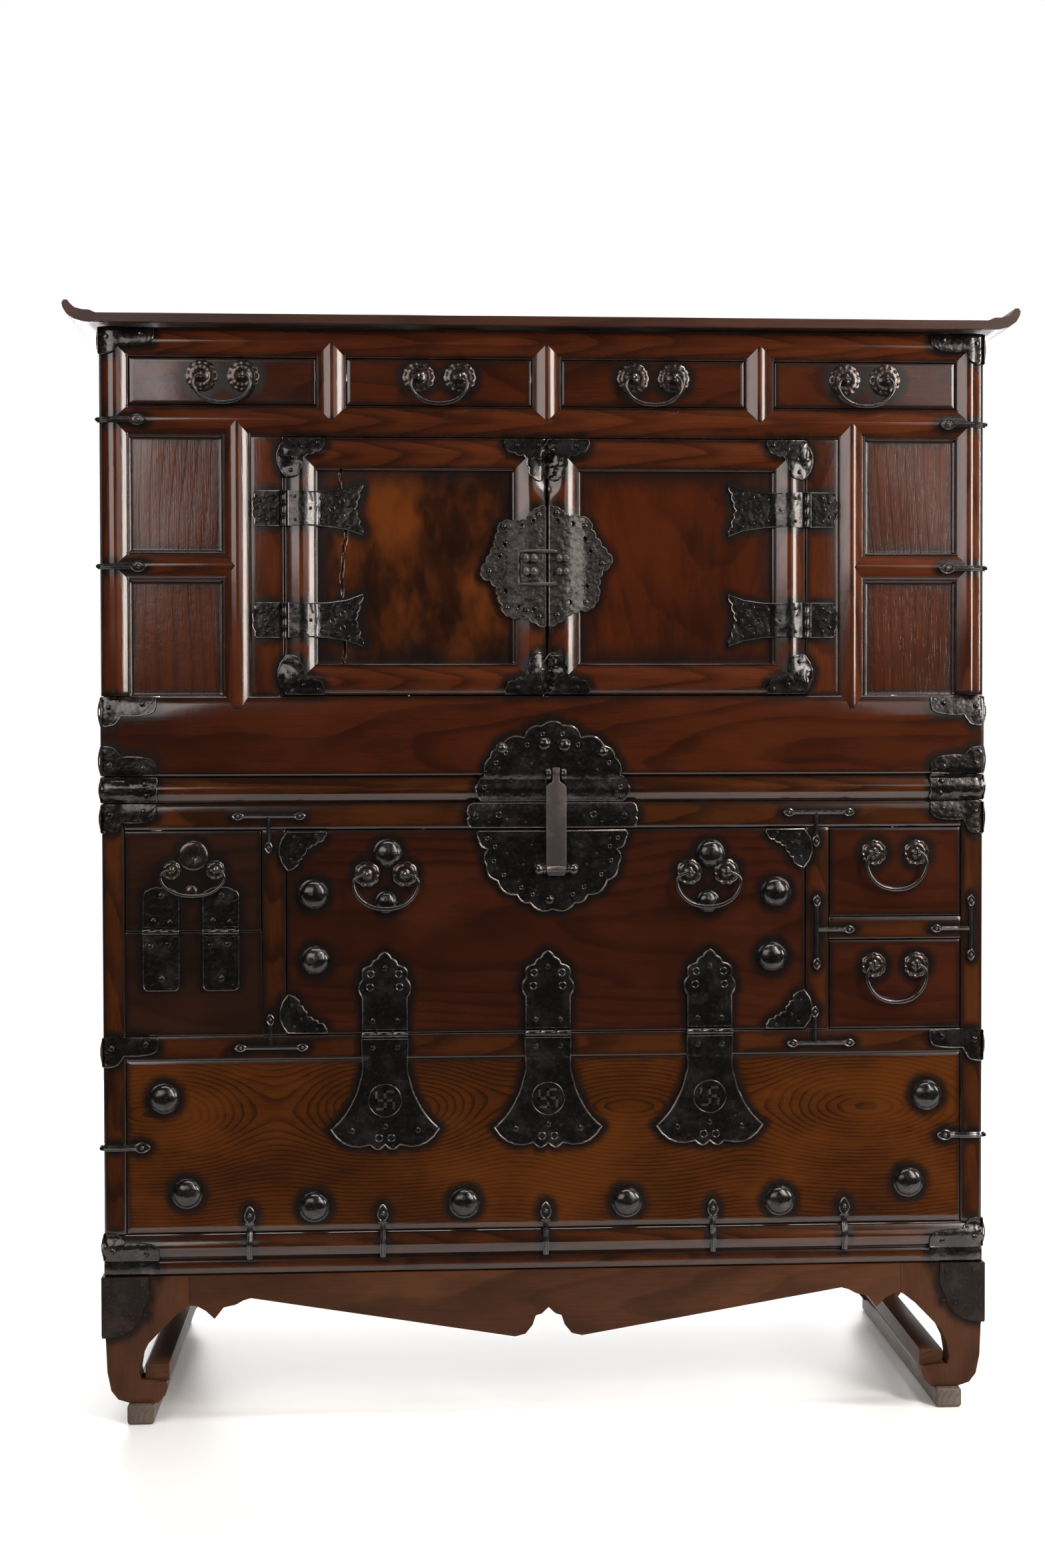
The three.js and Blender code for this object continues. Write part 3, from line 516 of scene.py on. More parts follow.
def drawn_in(path: Sequence[Point], by: float) -> list[Point]:
    """Moves an outline inwards by a small distance.

    Args:
        path: Its points as (x, z).
        by: The distance.

    Returns:
        The moved points.
    """
    count = len(path)
    area = sum(path[i][0] * path[(i + 1) % count][1] - path[(i + 1) % count][0] * path[i][1]
               for i in range(count))
    turn = math.copysign(1.0, area)
    moved = []
    for index in range(count):
        before, here, after = path[index - 1], path[index], path[(index + 1) % count]
        way = Vector((after[0] - before[0], after[1] - before[1]))
        if way.length < 1e-6:
            continue
        way.normalize()
        moved.append((here[0] - way.y * by * turn, here[1] + way.x * by * turn))
    return moved


def wobble(x: float, z: float, pitch: float, depth: float) -> float:
    """Small unevenness of a hand-made surface."""
    return depth * noise.noise(Vector((x / pitch, z / pitch, 0.37)))


def bead(at: float, span: Span, crown: float = CROWN, edge: float = 2.2) -> float:
    """Height of a rounded member with a raised string along each edge.

    Args:
        at: Place across the member.
        span: Its edges.
        crown: Its height.
        edge: Width of the strings.

    Returns:
        How far it stands out there.
    """
    near = min(at - span[0], span[1] - at)
    if near < edge:
        return 0.2 + 1.1 * math.sin(math.pi * max(0.0, near) / edge)
    half = (span[1] - span[0]) / 2
    share = (half - near) / (half - edge)
    return 0.2 + (crown - 0.2) * max(0.0, 1 - share ** 1.5)


def rub(at: float, span: Span, edge: float = 1.6) -> float:
    """How rubbed the strings along a member's edges are; the mark also paints a highlight on them."""
    return 0.75 if min(at - span[0], span[1] - at) < edge else 0.0


# The front's own surface

class Front:
    """Remembers how far the wood stands out, so that iron can lie on it."""

    def __init__(self) -> None:
        """Starts with no boards."""
        self._boards: list[tuple[Span, Span, float, Relief]] = []
        self.depth = lru_cache(maxsize=None)(self._depth)

    def add(self, x: Span, z: Span, face: float, relief: Relief) -> None:
        """Adds a board by its ranges, its plain face and its relief."""
        self._boards.append((x, z, face, relief))

    def _depth(self, x: int, z: int) -> float:
        """Depth of the wood at a whole millimetre.

        Args:
            x: Place along X.
            z: Place along Z.

        Returns:
            Depth of the foremost board there, or a depth behind them all.
        """
        best = FACE + 12.0
        for across, rise, face, relief in self._boards:
            if across[0] - 0.6 <= x <= across[1] + 0.6 and rise[0] - 0.6 <= z <= rise[1] + 0.6:
                best = min(best, face - relief(x, z))
        return best

    def at(self, x: float, z: float, reach: int = 3) -> float:
        """Depth of a sheet that lies over the wood at a place.

        Args:
            x: Place along X.
            z: Place along Z.
            reach: How far round the place the sheet is held up.

        Returns:
            The sheet's depth.
        """
        around = (-reach, 0, reach)
        near = [self.depth(round(x) + i, round(z) + j) for i in around for j in around]
        return 0.5 * min(near) + 0.5 * sum(near) / len(near)


def rounded_bar(front: Front, x: Span, z: Span, upright: bool = False, crown: float = CROWN,
                back: float = RAIL_BACK, rough: Span = (70.0, 0.25)) -> BMesh:
    """Rounded rail, post or stile with a raised string along each edge.

    Args:
        front: The front's surface, which remembers the bar.
        x: Its range along X.
        z: Its range along Z.
        upright: Whether it stands instead of lying level.
        crown: Its height.
        back: Depth of its back.
        rough: Pitch and depth of its unevenness.

    Returns:
        The closed form.
    """
    span = x if upright else z

    def relief(u: float, v: float) -> float:
        """Height of the bar at a place."""
        return bead(u if upright else v, span, crown) + wobble(u, v, *rough)

    def crest(u: float, v: float) -> float:
        """How rubbed the bar is at a place, with its painted highlight."""
        return rub(u if upright else v, span)

    front.add(x, z, FACE, relief)
    columns = rounds(*x) if upright else steps(*x, 6.0)
    rows = steps(*z, 6.0) if upright else rounds(*z)
    return slab(columns, rows, FACE, back, relief, crest=crest)


def tier_floor(top: float, bottom: float) -> BMesh:
    """Floor of a tier with the rims that carry it at the sides and the back.

    Args:
        top: Height of the floor's top.
        bottom: Height at which the rims end.

    Returns:
        The closed forms in one.
    """
    depth = (RAIL_BACK, REAR - 0.2)
    rim = (bottom + 0.2, top - 16)
    floor = block(Extent((-X.case + 0.2, X.case - 0.2), depth, (top - 16, top - 0.2)), 1.0)
    sides = [block(Extent(side.span(X.inside, X.case - 0.2), depth, rim), 0.8) for side in Side]
    back = block(Extent((-X.inside, X.inside), (BACK_PLANKS[0], REAR - 0.2), rim), 0.8)
    return join(floor, *sides, back)


def back_planks(seams: Sequence[float], rise: Span) -> BMesh:
    """Upright planks that close the back of a tier.

    Args:
        seams: Places of the seams along X.
        rise: Range of the back along Z.

    Returns:
        The closed forms in one.
    """
    edges = [-X.inside + 0.2, *seams, X.inside - 0.2]
    height = (rise[0] + 0.3, rise[1] - 0.3)
    return join(*[block(Extent((left + 0.4, right - 0.4), BACK_PLANKS, height), 0.9)
                  for left, right in zip(edges, edges[1:])])


# Finishes

def socket(group: bpy.types.NodeTree, name: str, kind: str, way: str,
           default: float | None = None) -> None:
    """Adds a named socket to a node group.

    Args:
        group: The node group.
        name: Name of the socket.
        kind: Kind of its values.
        way: INPUT or OUTPUT.
        default: Its default value, if it has one.
    """
    made = group.interface.new_socket(name=name, in_out=way, socket_type=f"NodeSocket{kind}")
    if default is not None:
        made.default_value = default


@dataclass
class Wiring:
    """Short hand for adding and linking shader nodes."""

    tree: bpy.types.NodeTree

    def add(self, kind: str, **values: object) -> bpy.types.Node:
        """Adds a node and sets its properties.

        Args:
            kind: Kind of node.
            values: Its properties.

        Returns:
            The node.
        """
        node = self.tree.nodes.new(f"ShaderNode{kind}")
        for name, value in values.items():
            setattr(node, name, value)
        return node

    def link(self, source: object, target: object) -> None:
        """Links an output to an input, or sets a plain value on it.

        Args:
            source: An output socket or a plain value.
            target: The input socket.
        """
        if isinstance(source, bpy.types.NodeSocket):
            self.tree.links.new(source, target)
        else:
            target.default_value = source

    def maths(self, operation: str, *sources: object) -> bpy.types.NodeSocket:
        """Math node over sockets or numbers.

        Args:
            operation: Name of the operation.
            sources: Its operands.

        Returns:
            Its result.
        """
        node = self.add("Math", operation=operation)
        for source, target in zip(sources, node.inputs):
            self.link(source, target)
        return node.outputs[0]

    def times(self, first: object, second: object) -> bpy.types.NodeSocket:
        """Product of two values."""
        return self.maths("MULTIPLY", first, second)

    def plus(self, first: object, second: object) -> bpy.types.NodeSocket:
        """Sum of two values."""
        return self.maths("ADD", first, second)

    def minus(self, first: object, second: object) -> bpy.types.NodeSocket:
        """Difference of two values."""
        return self.maths("SUBTRACT", first, second)

    def mark(self, name: str) -> bpy.types.NodeSocket:
        """Value that the mesh carries at each vertex under a name."""
        return self.add("Attribute", attribute_name=name, attribute_type="GEOMETRY").outputs["Fac"]

    def blend(self, share: object, first: object, second: object,
              way: str = "MIX") -> bpy.types.NodeSocket:
        """Mix node over two colours.

        Args:
            share: Share of the second colour.
            first: First colour.
            second: Second colour.
            way: How they are mixed.

        Returns:
            The mixed colour.
        """
        node = self.add("Mix", data_type="RGBA", blend_type=way)
        self.link(share, node.inputs["Factor"])
        self.link(first, node.inputs["A"])
        self.link(second, node.inputs["B"])
        return node.outputs["Result"]

    def between(self, value: object, low: float, high: float, first: float = 0.0,
                last: float = 1.0) -> bpy.types.NodeSocket:
        """Smooth step of a value from one range to another.

        Args:
            value: The value.
            low: Start of its own range.
            high: End of its own range.
            first: Result at the start.
            last: Result at the end.

        Returns:
            The result.
        """
        node = self.add("MapRange", interpolation_type="SMOOTHSTEP")
        for source, target in zip((value, low, high, first, last), node.inputs):
            self.link(source, target)
        return node.outputs[0]

    def speckle(self, vector: object, scale: object, stretch: Point = (1, 1, 1),
                detail: float = 2.0, rough: float = 0.5) -> bpy.types.NodeSocket:
        """Noise with its own stretch.

        Args:
            vector: Coordinates.
            scale: How fine it is.
            stretch: Scale along each axis.
            detail: Layers of detail.
            rough: Strength of the finer layers.

        Returns:
            The noise.
        """
        mapping = self.add("Mapping")
        self.link(vector, mapping.inputs["Vector"])
        mapping.inputs["Scale"].default_value = stretch
        node = self.add("TexNoise", noise_dimensions="3D")
        self.link(mapping.outputs[0], node.inputs["Vector"])
        self.link(scale, node.inputs["Scale"])
        node.inputs["Detail"].default_value = detail
        node.inputs["Roughness"].default_value = rough
        return node.outputs[0]

    def effect(self, group: bpy.types.NodeTree, vector: object, **values: object) -> bpy.types.Node:
        """Places a node group and sets or links its inputs.

        Args:
            group: The node group.
            vector: Its coordinates.
            values: Values or sockets for its other inputs.

        Returns:
            The group's node.
        """
        node = self.add("Group", node_tree=group)
        self.link(vector, node.inputs["Vector"])
        for name, value in values.items():
            self.link(value, node.inputs[name])
        return node

    def close(self, surface: bpy.types.Node, height: object, strength: float,
              distance: float) -> None:
        """Bumps a surface and links it to the material's output.

        Args:
            surface: The shader node.
            height: Height of its bumps.
            strength: Strength of the bumps.
            distance: Depth of the bumps in metres.
        """
        bump = self.add("Bump")
        self.link(strength, bump.inputs["Strength"])
        self.link(distance, bump.inputs["Distance"])
        self.link(height, bump.inputs["Height"])
        self.link(bump.outputs[0], surface.inputs["Normal"])
        output = self.add("OutputMaterial")
        self.link(surface.outputs[0], output.inputs["Surface"])


def open_group(name: str, takes: dict[str, float], gives: Sequence[str],
               colour: bool = False) -> tuple[Wiring, Sockets, Sockets]:
    """Starts a node group that reads a vector.

    Args:
        name: Name of the group.
        takes: Number inputs and defaults.
        gives: Names of the number outputs.
        colour: Whether it also takes a colour and puts one out.

    Returns:
        The group's wiring, the sockets that it is given, and those of its result.
    """
    group = bpy.data.node_groups.new(name, "ShaderNodeTree")
    socket(group, "Vector", "Vector", "INPUT")
    if colour:
        socket(group, "Color", "Color", "INPUT")
        socket(group, "Color", "Color", "OUTPUT")
    for word, value in takes.items():
        socket(group, word, "Float", "INPUT", value)
    for word in gives:
        socket(group, word, "Float", "OUTPUT")
    entry = group.nodes.new("NodeGroupInput")
    leave = group.nodes.new("NodeGroupOutput")
    return Wiring(group), entry.outputs, leave.inputs


def open_material(name: str) -> tuple[bpy.types.Material, Wiring, bpy.types.NodeSocket]:
    """Starts a material that reads the object's own coordinates.

    Args:
        name: Name of the material.

    Returns:
        The material, its wiring and the coordinates.
    """
    made = bpy.data.materials.new(name)
    made.use_nodes = True
    made.node_tree.nodes.clear()
    wiring = Wiring(made.node_tree)
    return made, wiring, wiring.add("TexCoord").outputs["Object"]


class Effects:
    """Node groups that the finishes share."""

    @staticmethod
    @lru_cache(maxsize=None)
    def grain() -> bpy.types.NodeTree:
        """Rings, fibres and patches of a sawn board whose grain runs along X.

        Returns:
            The node group.
        """
        takes = {"Spacing": 0.005, "Tilt": 0.1, "Pith": 0.03, "Waves": 0.01, "Blotch": 9.0,
                 "Swell": 0.0, "Length": 0.3}
        wiring, given, result = open_group("Sawn grain", takes, ("Rings", "Fibre", "Patches"))
        vector = given["Vector"]
        parts = wiring.add("SeparateXYZ")
        wiring.link(vector, parts.inputs[0])
        along, deep, across = parts.outputs
        broad = wiring.speckle(vector, 3.2, (0.45, 1.6, 1.6))
        ripple = wiring.speckle(vector, 30.0, (0.22, 1.0, 1.0))
        drift = wiring.times(wiring.minus(broad, 0.5), given["Waves"])
        shiver = wiring.times(wiring.minus(ripple, 0.5), 0.0065)
        turns = wiring.times(wiring.maths("DIVIDE", along, given["Length"]), math.tau)
        bend = wiring.times(wiring.maths("COSINE", turns), given["Swell"])
        lean = wiring.minus(wiring.times(along, given["Tilt"]), bend)
        depth = wiring.plus(wiring.plus(lean, deep), given["Pith"])
        flat = wiring.plus(wiring.maths("POWER", wiring.maths("ABSOLUTE", depth), 2.0),
                           wiring.times(across, across))
        reach = wiring.plus(wiring.maths("SQRT", flat), wiring.plus(drift, shiver))
        turn = wiring.maths("FRACT", wiring.maths("DIVIDE", reach, given["Spacing"]))
        rise = wiring.between(turn, 0.42, 0.9)
        fall = wiring.between(turn, 0.92, 1.0, 1.0, 0.0)
        wiring.link(wiring.times(rise, fall), result["Rings"])
        fine = wiring.speckle(vector, 520.0, (0.035, 1.0, 1.0), 3.0, 0.6)
        pores = wiring.between(wiring.speckle(vector, 900.0, (0.05, 1.0, 1.0), 1.0), 0.56, 0.7)
        wiring.link(wiring.minus(fine, wiring.times(pores, 0.35)), result["Fibre"])
        patches = wiring.speckle(vector, given["Blotch"], (0.5, 1.0, 1.0), 4.0, 0.6)
        wiring.link(patches, result["Patches"])
        return wiring.tree

    @staticmethod
    @lru_cache(maxsize=None)
    def grime() -> bpy.types.NodeTree:
        """Darkens a colour with soot round the ironwork and with painted shade along the edges of boards,
        unevenly.

        Returns:
            The node group.
        """
        wiring, given, result = open_group("Grime", {"Amount": 1.0}, ("Mask",), True)
        uneven = wiring.speckle(given["Vector"], 55.0, detail=3.0, rough=0.6)
        swing = wiring.times(wiring.minus(uneven, 0.5), 0.5)
        halo = wiring.between(wiring.plus(wiring.mark("soot"), swing), 0.15, 0.9)
        # Painted shade along the edges of boards and in the door panel's crack, read from the seam mark.
        border = wiring.between(wiring.plus(wiring.mark("seam"), swing), 0.1, 1.0)
        darkest = wiring.maths("MAXIMUM", halo, wiring.times(border, 0.85))
        mask = wiring.times(darkest, given["Amount"])
        wiring.link(wiring.blend(mask, given["Color"], SOOT_AND_SHADE_TONE), result["Color"])
        wiring.link(mask, result["Mask"])
        return wiring.tree

    @staticmethod
    @lru_cache(maxsize=None)
    def rubbed() -> bpy.types.NodeTree:
        """Broken mask of rubbed edges, which also paints their highlights.

        Returns:
            The node group.
        """
        wiring, given, result = open_group("Rubbed edges", {"Amount": 1.0}, ("Mask",))
        uneven = wiring.speckle(given["Vector"], 70.0, detail=4.0, rough=0.65)
        swing = wiring.times(wiring.minus(uneven, 0.5), 1.8)
        broken = wiring.between(wiring.plus(wiring.mark("wear_and_highlight"), swing), 0.55, 1.0)
        wiring.link(wiring.times(broken, given["Amount"]), result["Mask"])
        return wiring.tree

    @staticmethod
    @lru_cache(maxsize=None)
    def hammered() -> bpy.types.NodeTree:
        """Height of a hammered surface, with flecks of bare metal.

        Returns:
            The node group.
        """
        wiring, given, result = open_group("Hammered", {"Coarse": 1.0}, ("Height", "Flecks"))
        vector = given["Vector"]
        blows = wiring.add("TexVoronoi", feature="SMOOTH_F1")
        wiring.link(vector, blows.inputs["Vector"])
        wiring.link(170.0, blows.inputs["Scale"])
        pits = wiring.times(wiring.speckle(vector, 620.0, detail=3.0, rough=0.65), 0.3)
        broad = wiring.times(wiring.speckle(vector, 130.0), 1.3)
        coarse = wiring.times(blows.outputs["Distance"], given["Coarse"])
        wiring.link(wiring.plus(wiring.plus(coarse, broad), pits), result["Height"])
        flecks = wiring.speckle(vector, 260.0, detail=4.0, rough=0.7)
        wiring.link(wiring.between(flecks, 0.56, 0.7), result["Flecks"])
        return wiring.tree


@dataclass(frozen=True)
class Lacquer:
    """Lacquered or bare wood.

    The colours are linear, and the grain's measures are in metres.
    """

    name: str
    light: Point
    dark: Point
    worn: Point
    rings: float = 0.6
    fibre: float = 0.35
    patches: float = 0.5
    spacing: float = 0.005
    tilt: float = 0.1
    pith: float = 0.03
    waves: float = 0.05
    roughness: float = 0.12
    coat: float = 0.3
    # Amount of rubbed edges with their painted highlight.
    rubbing: float = 0.45
    # Amount of the soot round the ironwork and of the painted shade along the edges of boards.
    soot: float = 0.93
    blotch: float = 9.0
    blur: float = 0.12
    swell: float = 0.0
    length: float = 0.3
    shine: float = 0.5
    relief: float = 0.1
    # Pale colour of rubbed edges: dust together with a painted highlight.
    edge: Point = (0.07, 0.042, 0.028)

    def material(self, grain: Grain, shift: Point) -> bpy.types.Material:
        """Material of a board.

        Args:
            grain: Way that the grain runs.
            shift: Where in the log the board was sawn, in metres.

        Returns:
            The material, one for each way and place.
        """
        name = f"{self.name} {grain.name.lower()} " + " ".join(f"{s:.2f}" for s in shift)
        known = bpy.data.materials.get(name)
        if known:
            return known
        made, wiring, place = open_material(name)
        mapping = wiring.add("Mapping")
        wiring.link(place, mapping.inputs["Vector"])
        wiring.link(grain.value, mapping.inputs["Rotation"])
        wiring.link(shift, mapping.inputs["Location"])
        words = ("Spacing", "Tilt", "Pith", "Waves", "Blotch", "Swell", "Length")
        sawn = wiring.effect(Effects.grain(), mapping.outputs[0],
                             **{word: getattr(self, word.lower()) for word in words})
        rings, fibre, patches = (sawn.outputs[word] for word in ("Rings", "Fibre", "Patches"))
        dark = (*self.dark, 1.0)
        colour = wiring.blend(wiring.times(rings, self.rings), (*self.light, 1.0), dark)
        streak = wiring.times(wiring.between(fibre, 0.62, 0.3), self.fibre)
        colour = wiring.blend(streak, colour, dark)
        bounds = (0.53 - self.blur * 0.6, 0.53 + self.blur)
        worn = wiring.times(wiring.between(patches, *bounds), self.patches)
        colour = wiring.blend(worn, colour, (*self.worn, 1.0))
        shade = wiring.times(wiring.between(patches, 0.5, 0.3), 0.55)
        colour = wiring.blend(shade, colour, dark)
        # Soot round the ironwork, and painted shade along the edges of boards.
        grime = wiring.effect(Effects.grime(), place, Color=colour, Amount=self.soot)
        # Rubbed edges are painted a pale tone of dust and highlight.
        rubbed = wiring.effect(Effects.rubbed(), place, Amount=self.rubbing)
        colour = wiring.blend(rubbed.outputs["Mask"], grime.outputs["Color"], (*self.edge, 1.0))
        surface = wiring.add("BsdfPrincipled")
        wiring.link(colour, surface.inputs["Base Color"])
        cloudy = wiring.speckle(place, 24.0, detail=3.0)
        gloss = wiring.plus(wiring.times(cloudy, 0.1), self.roughness - 0.05)
        gloss = wiring.plus(gloss, wiring.times(grime.outputs["Mask"], 0.1))
        wiring.link(gloss, surface.inputs["Roughness"])
        wiring.link(self.coat, surface.inputs["Coat Weight"])
        wiring.link(0.08, surface.inputs["Coat Roughness"])
        wiring.link(self.shine, surface.inputs["Specular IOR Level"])
        height = wiring.minus(wiring.times(fibre, 0.5), wiring.times(rings, 0.25))
        height = wiring.plus(height, wiring.speckle(place, 90.0, detail=4.0, rough=0.6))
        wiring.close(surface, height, self.relief, 0.0006)
        return made


@dataclass(frozen=True)
class Iron:
    """Blackened, waxed iron."""

    name: str
    base: Point = (0.018, 0.0165, 0.016)
    dull: Point = (0.05, 0.046, 0.044)
    # Bare metal of the flecks, and the painted highlight of rubbed rims.
    bare_and_glint: Point = (0.24, 0.165, 0.13)
    flecks: float = 0.24
    # Amount of the rims' bare metal and painted highlight.
    rim: float = 0.15
    wax: float = 0.6
    shine: float = 0.6
    metallic: float = 0.85
    roughness: float = 0.27
    coarse: float = 1.0
    depth: float = 0.0007

    def material(self) -> bpy.types.Material:
        """Material of the iron, made once.

        Returns:
            The material.
        """
        known = bpy.data.materials.get(self.name)
        if known:
            return known
        made, wiring, place = open_material(self.name)
        beaten = wiring.effect(Effects.hammered(), place, Coarse=self.coarse)
        rubbed = wiring.effect(Effects.rubbed(), place, Amount=self.rim)
        flecks = wiring.times(beaten.outputs["Flecks"], self.flecks)
        cloud = wiring.between(wiring.speckle(place, 45.0, detail=3.0), 0.45, 0.7)
        colour = wiring.blend(cloud, (*self.base, 1.0), (*self.dull, 1.0))
        colour = wiring.blend(flecks, colour, (*self.bare_and_glint, 1.0))
        # Rubbed rims are painted pale as bare metal and as their highlight.
        colour = wiring.blend(rubbed.outputs["Mask"], colour, (*self.bare_and_glint, 1.0))
        surface = wiring.add("BsdfPrincipled")
        wiring.link(colour, surface.inputs["Base Color"])
        wiring.link(self.metallic, surface.inputs["Metallic"])
        wiring.link(self.shine, surface.inputs["Specular IOR Level"])
        wiring.link(self.wax, surface.inputs["Coat Weight"])
        wiring.link(0.14, surface.inputs["Coat Roughness"])
        uneven = wiring.times(wiring.speckle(place, 210.0, detail=3.0), 0.3)
        wiring.link(wiring.plus(uneven, self.roughness - 0.15), surface.inputs["Roughness"])
        wiring.close(surface, beaten.outputs["Height"], 0.75, self.depth)
        return made


MAHOGANY = Lacquer("Upper lacquer", (0.083, 0.0195, 0.006), (0.022, 0.006, 0.003),
                   (0.15, 0.04, 0.012), rings=0.7, patches=0.25, spacing=0.0065, tilt=0.05)
FADED = Lacquer("Field lacquer", (0.076, 0.0175, 0.005), (0.03, 0.0078, 0.0032),
                (0.11, 0.027, 0.008), rings=0.55, patches=0.3, spacing=0.014, tilt=0.25,
                waves=0.1, fibre=0.5, relief=0.3, roughness=0.17)
BLOTCHED = Lacquer("Left door panel lacquer", (0.03, 0.0085, 0.0033), (0.009, 0.0034, 0.002),
                   (0.14, 0.035, 0.0065), rings=0.5, patches=0.9, spacing=0.011, tilt=0.2,
                   waves=0.08, blotch=15.0, blur=0.2)
GLOWING = Lacquer("Right door panel lacquer", (0.05, 0.0105, 0.003), (0.017, 0.0046, 0.0022),
                  (0.088, 0.0175, 0.0038), rings=0.5, patches=0.8, spacing=0.013, tilt=0.2,
                  waves=0.08, blotch=13.0, blur=0.3)
BREAST = Lacquer("Breast lacquer", (0.054, 0.0115, 0.0036), (0.018, 0.0046, 0.0023),
                 (0.11, 0.027, 0.0075), rings=0.7, patches=0.2, spacing=0.007, tilt=0.04)
REDDISH = Lacquer("Flap lacquer", (0.038, 0.0089, 0.0036), (0.016, 0.0045, 0.0024),
                  (0.08, 0.019, 0.007), rings=0.6, patches=0.35, spacing=0.008, tilt=0.03,
                  rubbing=0.2)
SMOKED = Lacquer("Small bay lacquer", (0.027, 0.0105, 0.006), (0.012, 0.005, 0.0031),
                 (0.05, 0.017, 0.008), rings=0.5, patches=0.3, spacing=0.008, tilt=0.03,
                 relief=0.2, rubbing=0.2)
DARKENED = Lacquer("Top board lacquer", (0.05, 0.0165, 0.0085), (0.018, 0.0068, 0.0042),
                   (0.09, 0.032, 0.017), rings=0.5, patches=0.3, spacing=0.008, tilt=0.03,
                   roughness=0.36, coat=0.05, shine=0.25, rubbing=0.6)
GOLDEN = Lacquer("Lower panel lacquer", (0.072, 0.019, 0.0033), (0.015, 0.0052, 0.002),
                 (0.13, 0.037, 0.0062), rings=0.8, patches=0.4, spacing=0.0045, tilt=0.0,
                 pith=0.03, waves=0.045, swell=0.02, length=0.29, rubbing=0.2)
STREAKED = Lacquer("Lower rail lacquer", (0.056, 0.0148, 0.0037), (0.014, 0.005, 0.0023),
                   (0.115, 0.035, 0.01), rings=0.8, patches=0.3, spacing=0.006, tilt=0.04,
                   rubbing=0.25)
STAND = Lacquer("Stand lacquer", (0.067, 0.0245, 0.0098), (0.026, 0.0105, 0.0052),
                (0.13, 0.05, 0.022), rings=0.5, patches=0.35, spacing=0.008, tilt=0.05,
                roughness=0.4, coat=0.0, shine=0.12)
BARE = Lacquer("Unfinished wood", (0.2, 0.125, 0.072), (0.09, 0.052, 0.03),
               (0.27, 0.18, 0.11), rings=0.7, patches=0.3, spacing=0.006, tilt=0.07,
               roughness=0.62, coat=0.0, rubbing=0.2, relief=0.35)
RUNNER = Lacquer("Runner wood", (0.115, 0.085, 0.065), (0.04, 0.028, 0.021),
                 (0.2, 0.16, 0.125), rings=0.5, patches=0.5, spacing=0.005, tilt=0.05,
                 roughness=0.55, coat=0.0, rubbing=0.7, relief=0.35)

HAMMERED = Iron("Hammered iron")
SMOOTH = Iron("Smooth iron", base=(0.045, 0.041, 0.04), dull=(0.07, 0.062, 0.06), flecks=0.1,
              roughness=0.24, coarse=0.3, depth=0.0003)
COPPERY = Iron("Coppery iron", base=(0.045, 0.03, 0.024), bare_and_glint=(0.4, 0.22, 0.15), flecks=0.35,
               rim=0.3, depth=0.0004)
STEEL = Iron("Worn steel", base=(0.062, 0.053, 0.051), dull=(0.09, 0.076, 0.072), flecks=0.1,
             metallic=0.4, roughness=0.4, coarse=0.2, depth=0.0003, wax=0.2)
MATTE = Iron("Matte iron", base=(0.018, 0.0155, 0.0142), dull=(0.042, 0.036, 0.033), flecks=0.3,
             metallic=0.5, roughness=0.36, depth=0.0019, wax=0.15, shine=0.45)
RUSTY = Iron("Rusty iron", base=(0.014, 0.011, 0.01), dull=(0.03, 0.02, 0.016),
             bare_and_glint=(0.09, 0.042, 0.026), flecks=0.5, metallic=0.1, roughness=0.6, depth=0.0009,
             wax=0.0, shine=0.12)
# Near-black finish painted where the roundels' piercings show only shadow.
PIERCING_SHADOW = Iron("Pierced shadow", base=(0.002, 0.002, 0.002), flecks=0.0, rim=0.0, metallic=0.0,
               roughness=0.8, coarse=0.1, depth=0.0001)


# Workshop

